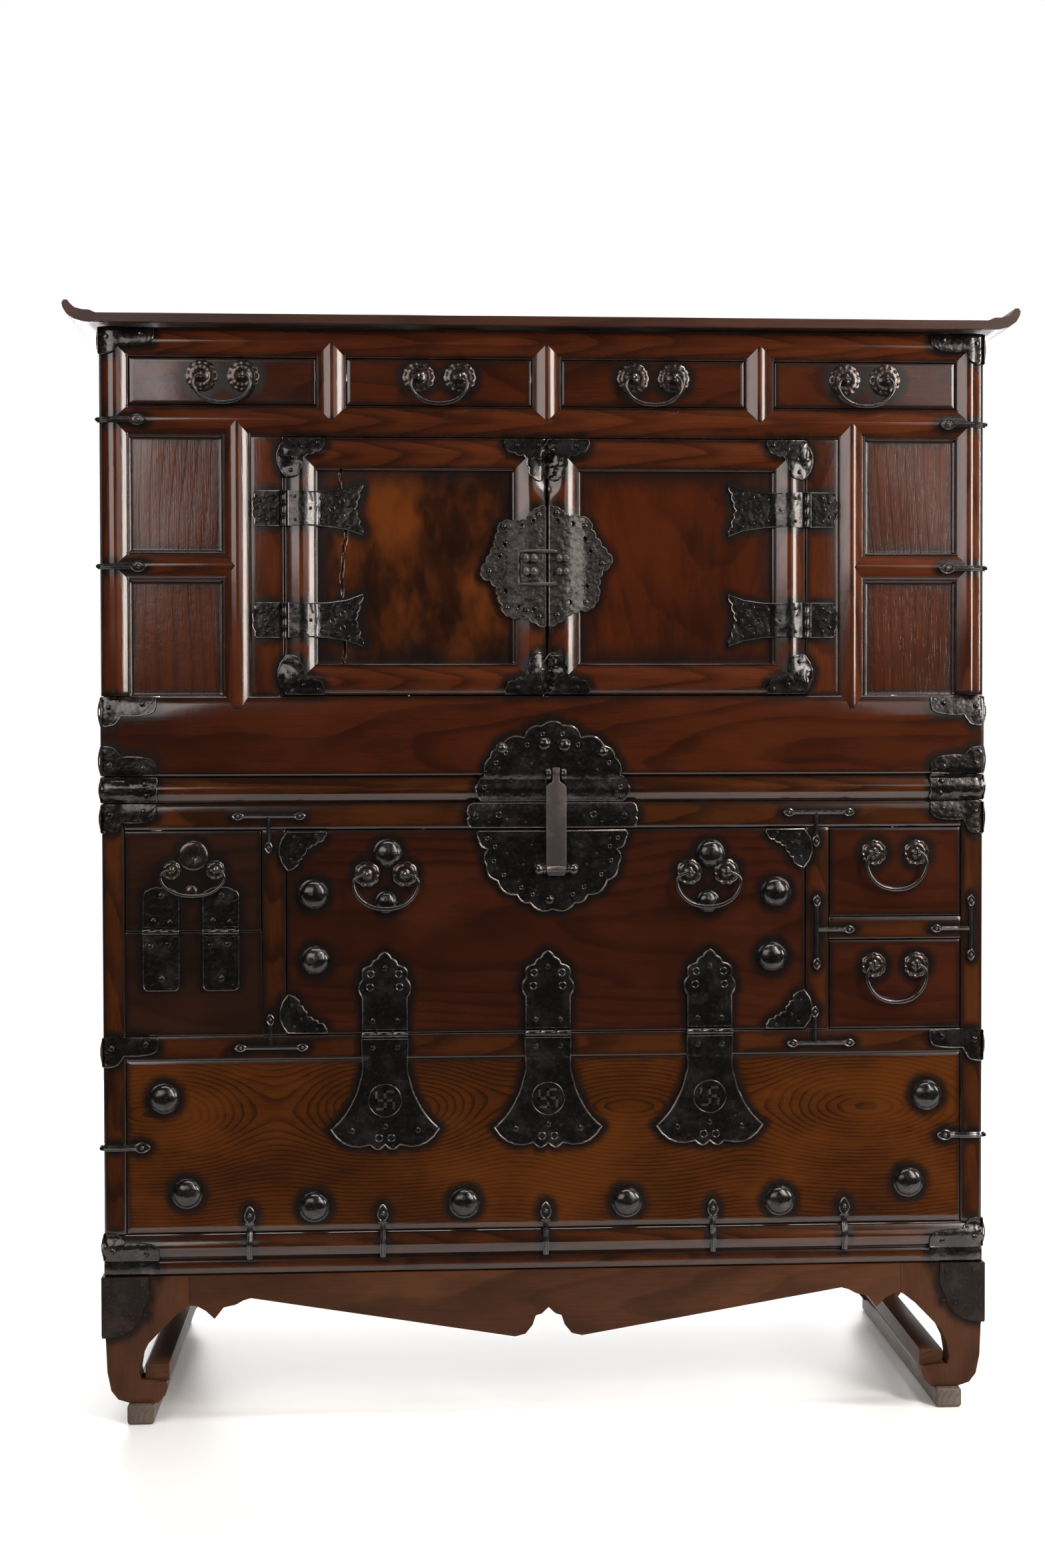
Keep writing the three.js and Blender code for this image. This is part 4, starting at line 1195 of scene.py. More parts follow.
@dataclass
class Workshop:
    """Turns finished forms into pieces that ride on the frame."""

    front: Front = field(default_factory=Front)
    woods: list[bpy.types.Object] = field(default_factory=list)
    irons: list[bpy.types.Object] = field(default_factory=list)

    def hand_over(self, name: str, form: BMesh, material: bpy.types.Material, body: str,
                  slot: Slot, stands_for: Sequence[str]) -> bpy.types.Object:
        """Makes a piece of a form.

        Args:
            name: Name of the piece.
            form: Its form in millimetres, which is used up.
            material: Its material.
            body: Body that it rides on.
            slot: Material slot of the record; not used.
            stands_for: Frame nodes that it takes the place of.

        Returns:
            The piece.
        """
        bmesh.ops.scale(form, vec=(0.001, 0.001, 0.001), verts=form.verts[:])
        bmesh.ops.recalc_face_normals(form, faces=form.faces[:])
        mesh = bpy.data.meshes.new(name)
        form.to_mesh(mesh)
        form.free()
        mesh.shade_smooth()
        mesh.set_sharp_from_angle(angle=math.radians(38))
        mesh.materials.append(material)
        piece = bpy.data.objects.new(name, mesh)
        bpy.context.scene.collection.objects.link(piece)
        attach(piece, body)
        if stands_for:
            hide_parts(*stands_for)
        LOG.info("%s rides on %s", name, body)
        return piece

    def wood(self, name: str, form: BMesh, finish: Lacquer, grain: Grain, shift: Point,
             body: str, slot: Slot, *stands_for: str) -> None:
        """Hands over a wooden piece."""
        material = finish.material(grain, shift)
        self.woods.append(self.hand_over(name, form, material, body, slot, stands_for))

    def iron(self, name: str, form: BMesh, finish: Iron, body: str, *stands_for: str) -> None:
        """Hands over an iron piece."""
        material = finish.material()
        self.irons.append(self.hand_over(name, form, material, body, Slot.IRON, stands_for))

    def blacken(self, reach: float = 0.015) -> None:
        """Writes how sooty each place of the wood is from its distance to the iron.

        Args:
            reach: Distance at which the soot ends.
        """
        spots = [vert.co for piece in self.irons for vert in piece.data.vertices]
        tree = KDTree(len(spots))
        for index, spot in enumerate(spots):
            tree.insert(spot, index)
        tree.balance()
        for piece in self.woods:
            mesh = piece.data
            soot = mesh.attributes.new("soot", "FLOAT", "POINT")
            values = []
            for vert in mesh.vertices:
                distance = tree.find(vert.co)[2]
                share = max(0.0, 1.0 - distance / reach)
                values.append(share ** 0.8)
            soot.data.foreach_set("value", values)


# Small iron parts

def nail(front: Front, x: float, z: float, radius: float = 2.6, lift: float = 1.4) -> BMesh:
    """Nail with a domed head."""
    profile = [(0, 0.75 * radius), (0.62 * radius, 0.55 * radius), (radius, 0.0), (0, -1.0)]
    return turned(profile, (x, front.at(x, z) - lift, z), 8)


def boss(front: Front, x: float, z: float, radius: float, height: float = 0.0) -> BMesh:
    """Large domed nail with a thin skirt.

    Args:
        front: The front's surface, which it lies on.
        x: Its middle along X.
        z: Its middle along Z.
        radius: Its radius.
        height: Height of the dome, or 0 for half the radius.

    Returns:
        The closed form.
    """
    rise = height or 0.5 * radius
    arc = [(radius * 0.9 * math.sin(a), 1.2 + rise * math.cos(a))
           for a in [math.pi / 2 * k / 7 for k in range(8)]]
    profile = [*arc, (radius * 0.93, 1.0), (radius, 0.8), (radius, -0.6), (0, -0.6)]
    form = turned(profile, (x, front.at(x, z), z), 28)
    for vert in form.verts:
        vert.co += Vector((0, -1, 0)) * wobble(vert.co.x * 1.3, vert.co.z, 6.0, 0.5)
    return form


def ring(front: Front, x: float, z: float, radius: float = 4.0, wire: float = 0.8,
         lift: float = 1.8) -> BMesh:
    """Small raised ring.

    Args:
        front: The front's surface, which it lies on.
        x: Its middle along X.
        z: Its middle along Z.
        radius: Its radius.
        wire: Radius of its wire.
        lift: How far it stands off the wood.

    Returns:
        The closed form.
    """
    y = front.at(x, z) - lift
    path = [(x + radius * math.cos(a), y, z + radius * math.sin(a)) for a in angles(14)]
    return rod(path, wire, 6, True)


def diced(path: Sequence[Point], cell: float, holes: Sequence[Point] = ()) -> BMesh:
    """Flat sheet in the plane of X and Z, cut up so that it can follow a relief.

    Args:
        path: Its outline as (x, z).
        cell: Size of its facets.
        holes: Round holes as (x, z, radius).

    Returns:
        The open form.
    """
    form = blank()
    verts = [form.verts.new((p[0], 0.0, p[1])) for p in path]
    for pair in zip(verts, [*verts[1:], verts[0]]):
        form.edges.new(pair)
    turn = Matrix.Rotation(math.pi / 2, 4, "X")
    for x, z, radius in holes:
        place = Matrix.Translation((x, 0.0, z)) @ turn
        bmesh.ops.create_circle(form, radius=radius, segments=12, matrix=place)
    bmesh.ops.triangle_fill(form, use_beauty=True, use_dissolve=False, edges=form.edges[:])
    across, rise = [p[0] for p in path], [p[1] for p in path]
    for low, high, normal in ((min(across), max(across), Vector((1, 0, 0))),
                              (min(rise), max(rise), Vector((0, 0, 1)))):
        for place in steps(low, high, cell)[1:-1]:
            geometry = form.verts[:] + form.edges[:] + form.faces[:]
            bmesh.ops.bisect_plane(form, geom=geometry, dist=0.01, plane_co=normal * place,
                                   plane_no=normal)
    return form


def plate(front: Front, path: Sequence[Point], thickness: float = 1.6, cell: float = 7.0,
          rim: float = 1.0, dents: float = 0.5, holes: Sequence[Point] = (),
          lift: float = 0.3) -> BMesh:
    """Thin hammered plate with a rolled rim, laid over the front.

    Args:
        front: The wood that it lies on.
        path: Its outline as (x, z).
        thickness: Its thickness.
        cell: Size of the facets that follow the wood.
        rim: Radius of the rolled rim, or 0 for none.
        dents: Depth of the hammer marks.
        holes: Round holes as (x, z, radius).
        lift: Gap between the wood and the plate.

    Returns:
        The closed form.
    """
    form = diced(path, cell, holes)
    for vert in form.verts:
        x, z = vert.co.x, vert.co.z
        hollow = abs(wobble(x, z, 9.0, dents)) + abs(wobble(z, x, 4.5, 0.5 * dents))
        vert.co.y = front.at(x, z) - lift - hollow
    bmesh.ops.recalc_face_normals(form, faces=form.faces[:])
    lower = form.faces[:]
    top = bmesh.ops.extrude_face_region(form, geom=lower, use_keep_orig=True)["geom"]
    raised = [item for item in top if isinstance(item, BMVert)]
    bmesh.ops.translate(form, vec=(0, -thickness, 0), verts=raised)
    bmesh.ops.recalc_face_normals(form, faces=form.faces[:])
    if rim <= 0:
        return form
    inner = drawn_in(path, 0.8 * rim)
    line = [(x, front.at(x, z) - lift - thickness, z) for x, z in inner]
    band = rod(line, rim, 6, True)
    # The rolled rim is marked as rubbed, which paints it pale as bare metal and highlight.
    wear_and_highlight = band.verts.layers.float["wear_and_highlight"]
    for vert in band.verts:
        vert[wear_and_highlight] = 1.0
    return join(form, band)


def leaf_end(front: Front, tip: Point, way: Point, length: float = 19.0,
             width: float = 12.5) -> BMesh:
    """Almond-shaped nail plate at the end of a bar, with a rim and a domed nail.

    Args:
        front: The wood that it lies on.
        tip: Its pointed tip as (x, z).
        way: Direction from the tip to the bar.
        length: Its length.
        width: Its width.

    Returns:
        The closed form.
    """
    ahead = Vector(way).normalized()
    across = Vector((-ahead.y, ahead.x))
    shares = [(0.0, 0.0), (0.22, 0.34), (0.5, 0.5), (0.78, 0.4), (1.0, 0.16)]
    sides = [[Vector(tip) + ahead * length * u + across * width * v * turn for u, v in shares]
             for turn in (1, -1)]
    path = [(p.x, p.y) for p in [*sides[0], *reversed(sides[1][1:])]]
    centre = Vector(tip) + ahead * length * 0.52
    dome = boss(front, centre.x, centre.y, width * 0.27, width * 0.26)
    bmesh.ops.translate(dome, vec=(0, -1.2, 0), verts=dome.verts[:])
    return join(plate(front, lobed(path, 0.07, 3), 1.8, 4.0, 1.0, 0.2), dome)


def corner_iron(front: Front, shares: Sequence[Point], corner: Point, size: Span,
                spots: Sequence[Point], head: Span, thickness: float = 1.5) -> list[BMesh]:
    """Scalloped iron nailed over a corner.

    Args:
        front: The front's surface, which it lies on.
        shares: Its outline as shares of its size.
        corner: Place of its own corner.
        size: Its signed width and height.
        spots: Places of its nails, as shares of its size.
        head: Radius and lift of its nails.
        thickness: Its thickness.

    Returns:
        The plate and its nails.
    """
    shape = placed(shares, corner, *size)
    forms = [plate(front, lobed(shape, 0.22), thickness, 4.5, 0.9)]
    for u, v in spots:
        forms.append(nail(front, corner[0] + size[0] * u, corner[1] + size[1] * v, *head))
    return forms


def grooved_bar(front: Front, start: Point, end: Point, width: float = 6.0,
                lift: float = 1.2) -> BMesh:
    """Bar with lengthwise grooves, laid over the wood.

    Args:
        front: The wood that it lies on.
        start: One end as (x, z).
        end: The other end.
        width: Its width.
        lift: How far its middle stands off the wood.

    Returns:
        The closed form.
    """
    first, last = Vector(start), Vector(end)
    way = (last - first).normalized()
    across = Vector((-way.y, way.x))
    radius = width * 0.2
    forms = []
    for share, raised in ((-0.3, 0.0), (0.0, 0.7), (0.3, 0.0)):
        offset = across * width * share
        path = []
        for place in steps(0.0, (last - first).length, 4.5):
            x, z = first + way * place + offset
            path.append((x, front.at(x, z, 4) - lift - raised, z))
        forms.append(rod(path, radius * (1.25 if raised else 1.0), 6))
    return join(*forms)


def barrel(span: Span, across: Point, radius: float = 4.4, upright: bool = False) -> BMesh:
    """Hinge knuckle with small end beads.

    Args:
        span: Its range along its axis, which is X, or Z where it stands.
        across: Place of the axis, as (y, z), or (x, y) where it stands.
        radius: Its radius.
        upright: Whether it stands.

    Returns:
        The closed form.
    """
    low, high = span
    edge = min(1.4, (high - low) / 6)
    profile = [(0, 0), (radius * 0.92, 0), (radius, edge * 0.5), (radius * 0.9, edge),
               (radius * 0.9, high - low - edge), (radius, high - low - edge * 0.5),
               (radius * 0.92, high - low), (0, high - low)]
    if upright:
        return turned(profile, (*across, low), 14, (0.0, 0.0, 1.0))
    return turned(profile, (low, *across), 14, (1.0, 0.0, 0.0))


@dataclass(frozen=True)
class Handle:
    """Bail handle with its two rosettes and eyes."""

    spacing: float
    half: float
    drop: float
    wire: float
    rosette: float
    lobes: int = 12
    scallop: float = 0.09
    shares: tuple[Point, ...] = ((0.97, -0.13), (1.0, -0.36), (0.83, -0.68), (0.48, -0.92))

    def rosettes(self, front: Front, x: float, z: float) -> BMesh:
        """Scalloped, punched rosettes with domed middles.

        Args:
            front: The front's surface, which it lies on.
            x: Middle of the handle.
            z: Height of the handle's pivot.

        Returns:
            The closed forms in one.
        """
        forms = []
        radius = self.rosette
        for side in (-1, 1):
            middle = x + side * self.spacing / 2
            profile = [(0, 4.6), (radius * 0.2, 4.3), (radius * 0.34, 3.0), (radius * 0.42, 2.2),
                       (radius * 0.55, 2.7), (radius * 0.72, 2.4), (radius * 0.8, 1.7),
                       (radius * 0.9, 2.1), (radius, 1.2), (radius, -0.5), (0, -0.5)]
            form = turned(profile, (0, 0, 0), 48)
            for vert in form.verts:
                reach = math.hypot(vert.co.x, vert.co.z)
                if reach > radius * 0.5:
                    angle = math.atan2(vert.co.z, vert.co.x)
                    share = (reach / radius - 0.5) * 2
                    grow = 1 + self.scallop * share * (abs(math.cos(self.lobes * angle / 2)) - 0.6)
                    vert.co.x *= grow
                    vert.co.z *= grow
                    vert.co.y += 0.5 * share * math.cos(self.lobes * angle) if vert.co.y < 0 else 0
            place = (middle, front.at(middle, z), z)
            bmesh.ops.translate(form, vec=place, verts=form.verts[:])
            forms.append(form)
            for step in range(self.lobes):
                turn = math.tau * (step + 0.5) / self.lobes
                spot = (middle + radius * 0.8 * math.cos(turn), z + radius * 0.8 * math.sin(turn))
                forms.append(nail(front, spot[0], spot[1], radius * 0.075, 2.0))
        return join(*forms)

    def eyes(self, x: float, z: float) -> BMesh:
        """Iron eyes that the bail turns in.

        Args:
            x: Middle of the handle.
            z: Height of its pivot.

        Returns:
            The closed forms in one.
        """
        forms = []
        for side in (-1, 1):
            middle = x + side * self.spacing / 2
            centre = Vector((middle, FACE - BAIL_REACH, z))
            major = self.wire + 1.7
            path = [centre + Vector((0, major * math.sin(a), major * math.cos(a)))
                    for a in angles(14)]
            forms.append(rod(path, 1.5, 8, True))
            neck = [(middle, FACE - 1, z), (middle, FACE - BAIL_REACH + major, z)]
            forms.append(rod(neck, [2.8, 2.1], 8))
        return join(*forms)

    def bail(self, x: float, z: float) -> BMesh:
        """The bail itself, thickest at the bottom.

        Args:
            x: Middle of the handle.
            z: Height of its pivot.

        Returns:
            The closed form.
        """
        post = self.spacing / 2
        half = [(post - 6.0, 0.0), (post, 0.0), (post + 4.5, 0.0)]
        half += [(u * self.half, v * self.drop) for u, v in self.shares]
        ring_points = [(-u, v) for u, v in half] + [(0.0, -self.drop)] + list(reversed(half))
        smooth: list[Vector] = []
        corners = [Vector((x + u, FACE - BAIL_REACH, z + v)) for u, v in ring_points]
        for index in range(len(corners) - 1):
            a = corners[max(index - 1, 0)]
            b, c = corners[index], corners[index + 1]
            d = corners[min(index + 2, len(corners) - 1)]
            for step in range(4):
                t = step / 4
                smooth.append(0.5 * (2 * b + (c - a) * t + (2 * a - 5 * b + 4 * c - d) * t * t
                                     + (3 * b - a - 3 * c + d) * t * t * t))
        smooth.append(corners[-1])
        radii = []
        for index, point in enumerate(smooth):
            depth = min(1.0, max(0.0, (z - point.z) / self.drop))
            radii.append(self.wire * (0.82 + 0.36 * depth ** 1.5))
        for end in (0, -1):
            radii[end] *= 0.6
        return rod(smooth, radii, 10)

    def dress(self, shop: Workshop, place: Span, names: Sequence[str], node: str, body: str,
              bail: Sequence[str]) -> None:
        """Hands the rosettes, eyes and bail over.

        Args:
            shop: The workshop.
            place: Its middle and its pivot's height.
            names: Names of the rosettes and of the eyes.
            node: Frame node that these stand for.
            body: Body that these ride on.
            bail: Frame node and body of the bail.
        """
        shop.iron(names[0], self.rosettes(shop.front, *place), COPPERY, body, node)
        shop.iron(names[1], self.eyes(*place), SMOOTH, body, node)
        shop.iron(f"{bail[0]}_iron", self.bail(*place), SMOOTH, bail[1], bail[0])


SMALL_DRAWER_HANDLE = Handle(50.0, 34.0, 33.0, 2.3, 19.0, 14)
SIDE_DRAWER_HANDLE = Handle(53.0, 37.0, 45.0, 2.4, 15.5, 12)
FLAP_HANDLE = Handle(46.0, 39.0, 42.0, 2.4, 15.5, 10)
SMALL_FLAP_HANDLE = Handle(53.0, 38.0, 31.0, 2.0, 11.5, 10)


# Upper tier

@dataclass
class TopBoard:
    """Top board with upturned horns and a moulded front edge."""

    shop: Workshop
    thickness: float = 15.15
    front: float = -228.0

    def section(self) -> list[Point]:
        """Outline of the board's end in x and z, from the left horn to the right one.

        Returns:
            The points, as (x, z).
        """
        lip = [(0.0, 0.0), (14.0, 1.2), (26.0, 4.5), (34.5, 10.5), (39.0, 18.0), (40.0, 23.5),
               (37.6, 27.2), (33.4, 27.0), (30.6, 23.0), (25.0, 18.2), (16.0, 15.8), (0.0, 15.15)]
        right = [(X.case + u, Z.top + 0.15 + v) for u, v in lip]
        left = [(-x, z) for x, z in reversed(right)]
        return [*right, *left]

    def build(self) -> BMesh:
        """Board as a run of moulded sections from front to back.

        Returns:
            The closed form.
        """
        layers = [(-228.0, 5.2), (-227.2, 3.4), (-225.4, 1.6), (-222.8, 0.5), (-219.5, 0.0),
                  (-217.0, 0.0), (-120.0, 0.0), (0.0, 0.0), (120.0, 0.0), (226.0, 0.0), (228.0, 1.4)]
        outline = self.section()
        form = blank()
        dense: list[Point] = []
        for start, end in zip(outline, [*outline[1:], outline[0]]):
            length = math.dist(start, end)
            count = max(1, math.ceil(length / 9.0))
            dense += [(start[0] + (end[0] - start[0]) * k / count,
                       start[1] + (end[1] - start[1]) * k / count) for k in range(count)]
        loop: list[BMEdge] = []
        first: list[BMEdge] = []
        base = Z.top + 0.15
        for index, (y, inset) in enumerate(layers):
            if index == 0:
                verts = [form.verts.new((x, y, z)) for x, z in dense]
                loop = [form.edges.new(pair) for pair in zip(verts, [*verts[1:], verts[0]])]
                first = loop
            else:
                grown = bmesh.ops.extrude_edge_only(form, edges=loop)["geom"]
                verts = [item for item in grown if isinstance(item, BMVert)]
                loop = [item for item in grown if isinstance(item, BMEdge)
                        and all(vert in verts for vert in item.verts)]
                for vert in verts:
                    vert.co.y = y
            for vert in verts:
                share = min(1.0, max(0.0, (vert.co.z - base) / self.thickness))
                if abs(vert.co.x) < X.case + 2:
                    vert.co.z -= inset * (share - 0.35) * 0.9
                    vert.co.z += wobble(vert.co.x, y, 90.0, 0.35)
        bmesh.ops.edgeloop_fill(form, edges=first)
        bmesh.ops.edgeloop_fill(form, edges=loop)
        bmesh.ops.recalc_face_normals(form, faces=form.faces[:])
        return form

    def edge_bead(self) -> BMesh:
        """Thin bead along the lower part of the front edge."""
        return rod([(x, self.front + 2.9, Z.top + 3.4 + wobble(x, 5.0, 60.0, 0.4))
                    for x in steps(-X.case - 4, X.case + 4, 12.0)], 2.2, 8)

    def dress(self) -> None:
        """Hands the board over."""
        self.shop.wood("top_board_wood", self.build(), DARKENED, Grain.LEVEL, (0.3, 0.0, -1.31),
                       "case", Slot.DARK, "top_board")
        self.shop.wood("top_board_bead", self.edge_bead(), MAHOGANY, Grain.LEVEL,
                       (0.1, 0.0, -1.3), "case", Slot.DARK)


@dataclass
class UpperCase:
    """Sides, posts, rails, muntins, decks and back of the upper tier."""

    shop: Workshop
    side_thickness: float = 22.0

    def post(self, side: Side) -> BMesh:
        """Rounded front post, the full height of the tier."""
        span = side.span(X.upper_post + 0.15, X.case - 0.15)
        return rounded_bar(self.shop.front, span, (Z.door + 0.15, Z.top - 0.2), True)

    def build_front(self) -> None:
        """Posts, rails and muntins."""
        for side in Side:
            shift = (0.2 * side.value, 0.01, 0.522 * side.value)
            self.shop.wood(f"upper_post_{side.word}", self.post(side), MAHOGANY, Grain.UPRIGHT,
                           shift, "case", Slot.DARK, f"upper_side_{side.word}")
        reach = (X.upper_post + X.case) / 2
        front = self.shop.front
        top = rounded_bar(front, (-reach, reach), (Z.top_rail, Z.top - 0.2))
        self.shop.wood("top_rail_wood", top, MAHOGANY, Grain.LEVEL, (0.1, 0.02, -1.3), "case",
                       Slot.DARK, "top_rail")
        middle = rounded_bar(front, (-reach, reach), (Z.mid_rail, Z.drawer))
        self.shop.wood("mid_rail_wood", middle, MAHOGANY, Grain.LEVEL, (0.4, 0.03, -1.22), "case",
                       Slot.DARK, "drawer_rack")
        low, high = (Z.mid_rail + Z.drawer) / 2, (Z.top_rail + Z.top) / 2
        for index, centre in enumerate(X.muntins):
            span = (centre - X.muntin_half, centre + X.muntin_half)
            form = rounded_bar(front, span, (low, high), True, CROWN, SLIM_BACK, SLIM_ROUGH)
            self.shop.wood(f"muntin_{index + 1}", form, MAHOGANY, Grain.UPRIGHT,
                           (0.3 * index, 0.02, centre / 1000), "case", Slot.DARK, "drawer_rack")

    def build_inside(self) -> None:
        """Side boards, deck, dividers and back planks."""
        for side in Side:
            board = side.span(X.case - self.side_thickness, X.case - 0.15)
            rise = (Z.breast + 0.2, Z.top - 0.2)
            form = block(Extent(board, (FACE + 20.0, REAR - 0.2), rise), 1.2)
            self.shop.wood(f"upper_side_board_{side.word}", form, MAHOGANY, Grain.UPRIGHT,
                           (0.5, 0.2 * side.value, 0.08), "case", Slot.DARK,
                           f"upper_side_{side.word}")
        inner = [block(Extent((-X.inside, X.inside), (FACE + 28, BOARD_BACK),
                              (Z.drawer - 14, Z.drawer - 0.2)), 1.0)]
        for centre in X.muntins:
            inner.append(block(Extent((centre - 8, centre + 8), (FACE + 12, BOARD_BACK),
                                      (Z.drawer - 0.2, Z.top_rail - 0.2)), 0.8))
        self.shop.wood("drawer_rack_boards", join(*inner), BARE, Grain.LEVEL, (0.2, 0.1, -1.2),
                       "case", Slot.DARK, "drawer_rack")
        planks = back_planks((-352.0, -170.0, 20.0, 188.0, 366.0), (Z.breast, Z.top))
        self.shop.wood("upper_back_planks", planks, BARE, Grain.UPRIGHT, (0.1, 0.3, 0.1),
                       "case", Slot.PLAIN, "upper_back")

    def dress(self) -> None:
        """Builds the tier's wood."""
        self.build_front()
        self.build_inside()


@dataclass
class FrontFields:
    """Two fields, stile, cross rail and hinge strip beside each door."""

    shop: Workshop
    recess: float = 5.0
    cove: float = 3.0
    cross_half: float = 17.0

    def field_board(self, x: Span, z: Span) -> BMesh:
        """Sunk field with a cove round it.

        Args:
            x: Its range along X.
            z: Its range along Z.

        Returns:
            The closed form.
        """
        def relief(u: float, v: float) -> float:
            """Height of the field at a place."""
            rise = max(0.0, 1 - margin(u, v, x, z) / self.cove)
            return -self.recess + 1.6 * rise ** 2 + wobble(u, v, 80.0, 0.5)

        self.shop.front.add(x, z, FACE, relief)
        columns, rows = (fringed(span, self.cove, 1.5) for span in (x, z))
        # Painted shade reaches 17 mm in from the field's edges.
        return slab(columns, rows, FACE, FACE + 19.8, relief, 0.0, shade=17.0)

    def strip(self, side: Side) -> BMesh:
        """Flat strip that the door hinges are nailed to, with a slight crown.

        Args:
            side: Its side of the chest.

        Returns:
            The closed form.
        """
        span = side.span(X.door + 0.5, X.stile_inner)

        def relief(x: float, z: float) -> float:
            """Height of the strip at a place, the same at every level."""
            return 0.8 + 0.4 * math.sin(math.pi * (x - span[0]) / (span[1] - span[0]))

        self.shop.front.add(span, (Z.door, Z.mid_rail), FACE, relief)
        rows = steps(Z.door + 0.4, Z.mid_rail - 0.2, 5.0)
        return slab(steps(*span, 5.0), rows, FACE, FACE + 19.8, relief, 1.2)

    def dress(self) -> None:
        """Hands the fields, stiles, cross rails and strips over."""
        middle = (Z.door + Z.mid_rail) / 2
        front = self.shop.front
        for side in Side:
            sign = side.value
            node = f"front_panel_{side.word}"
            across = side.span(X.stile_outer, X.upper_post)
            for word, rise in (("upper", (middle + self.cross_half, Z.mid_rail)),
                               ("lower", (Z.door, middle - self.cross_half))):
                form = self.field_board(across, rise)
                shift = (0.1 * sign, 0.005, -0.449 * sign + (0.02 if word == "upper" else -0.03))
                self.shop.wood(f"field_{word}_{side.word}", form, FADED, Grain.UPRIGHT, shift,
                               "case", Slot.DARK, node)
            reach = side.span((X.stile_inner + X.stile_outer) / 2, (X.upper_post + X.case) / 2)
            level = (middle - self.cross_half, middle + self.cross_half)
            cross = rounded_bar(front, reach, level, False, 6.6, -186.0)
            self.shop.wood(f"cross_rail_{side.word}", cross, MAHOGANY, Grain.LEVEL,
                           (0.3 * sign, 0.01, -middle / 1000), "case", Slot.DARK, node)
            stile = rounded_bar(front, side.span(X.stile_inner, X.stile_outer),
                                (Z.door - 17.0, (Z.mid_rail + Z.drawer) / 2), True, CROWN,
                                SLIM_BACK, SLIM_ROUGH)
            self.shop.wood(f"stile_{side.word}", stile, MAHOGANY, Grain.UPRIGHT,
                           (0.2 * sign, 0.02, 0.376 * sign), "case", Slot.DARK, node)
            self.shop.wood(f"hinge_strip_{side.word}", self.strip(side), MAHOGANY, Grain.UPRIGHT,
                           (0.6 * sign, 0.02, 0.339 * sign), "case", Slot.DARK, node)


@dataclass
class BreastAndWaist:
    """Breast board, waist moulding and the floor of the upper tier."""

    shop: Workshop
    round_height: float = 30.0

    def breast(self) -> BMesh:
        """Wide board whose top edge rounds back to the doors.

        Returns:
            The closed form.
        """
        def relief(x: float, z: float) -> float:
            """Height of the board at a place.

            Args:
                x: Place along X.
                z: Place along Z.

            Returns:
                How far the board stands out there.
            """
            into = max(0.0, (z - (Z.door - self.round_height)) / self.round_height)
            low = max(0.0, 1 - (z - Z.breast) / 5.0)
            full = CROWN * max(0.0, 1 - into * into) ** 0.6
            return full - 2.5 * low * low + wobble(x, z, 120.0, 0.7)

        span = (-X.case, X.case)
        rise = (Z.breast + 0.2, Z.door - 0.2)
        self.shop.front.add(span, rise, FACE, relief)
        rows = merged(steps(rise[0], rise[0] + 6, 1.5), steps(rise[0], 853.0, 5.5),
                      [853 + 30 * math.sin(math.pi / 2 * k / 9) for k in range(10)], [rise[1]])
        return slab(steps(*span, 6.0), [r for r in rows if r <= rise[1]], FACE, FACE + 19.5, relief)

    def dress(self) -> None:
        """Hands both over."""
        self.shop.wood("breast_wood", self.breast(), BREAST, Grain.LEVEL, (0.35, 0.0, -0.82),
                       "case", Slot.DARK, "breast_board")
        waist = rounded_bar(self.shop.front, (-X.case, X.case), (Z.waist + 0.2, Z.breast - 0.2))
        self.shop.wood("waist_wood", waist, STREAKED, Grain.LEVEL, (0.15, 0.02, -0.765), "case",
                       Slot.DARK, "waist_moulding")
        self.shop.wood("upper_floor", tier_floor(Z.breast, Z.waist), MAHOGANY, Grain.LEVEL,
                       (0.3, 0.1, -0.75), "case", Slot.DARK, "waist_moulding")


# Drawers

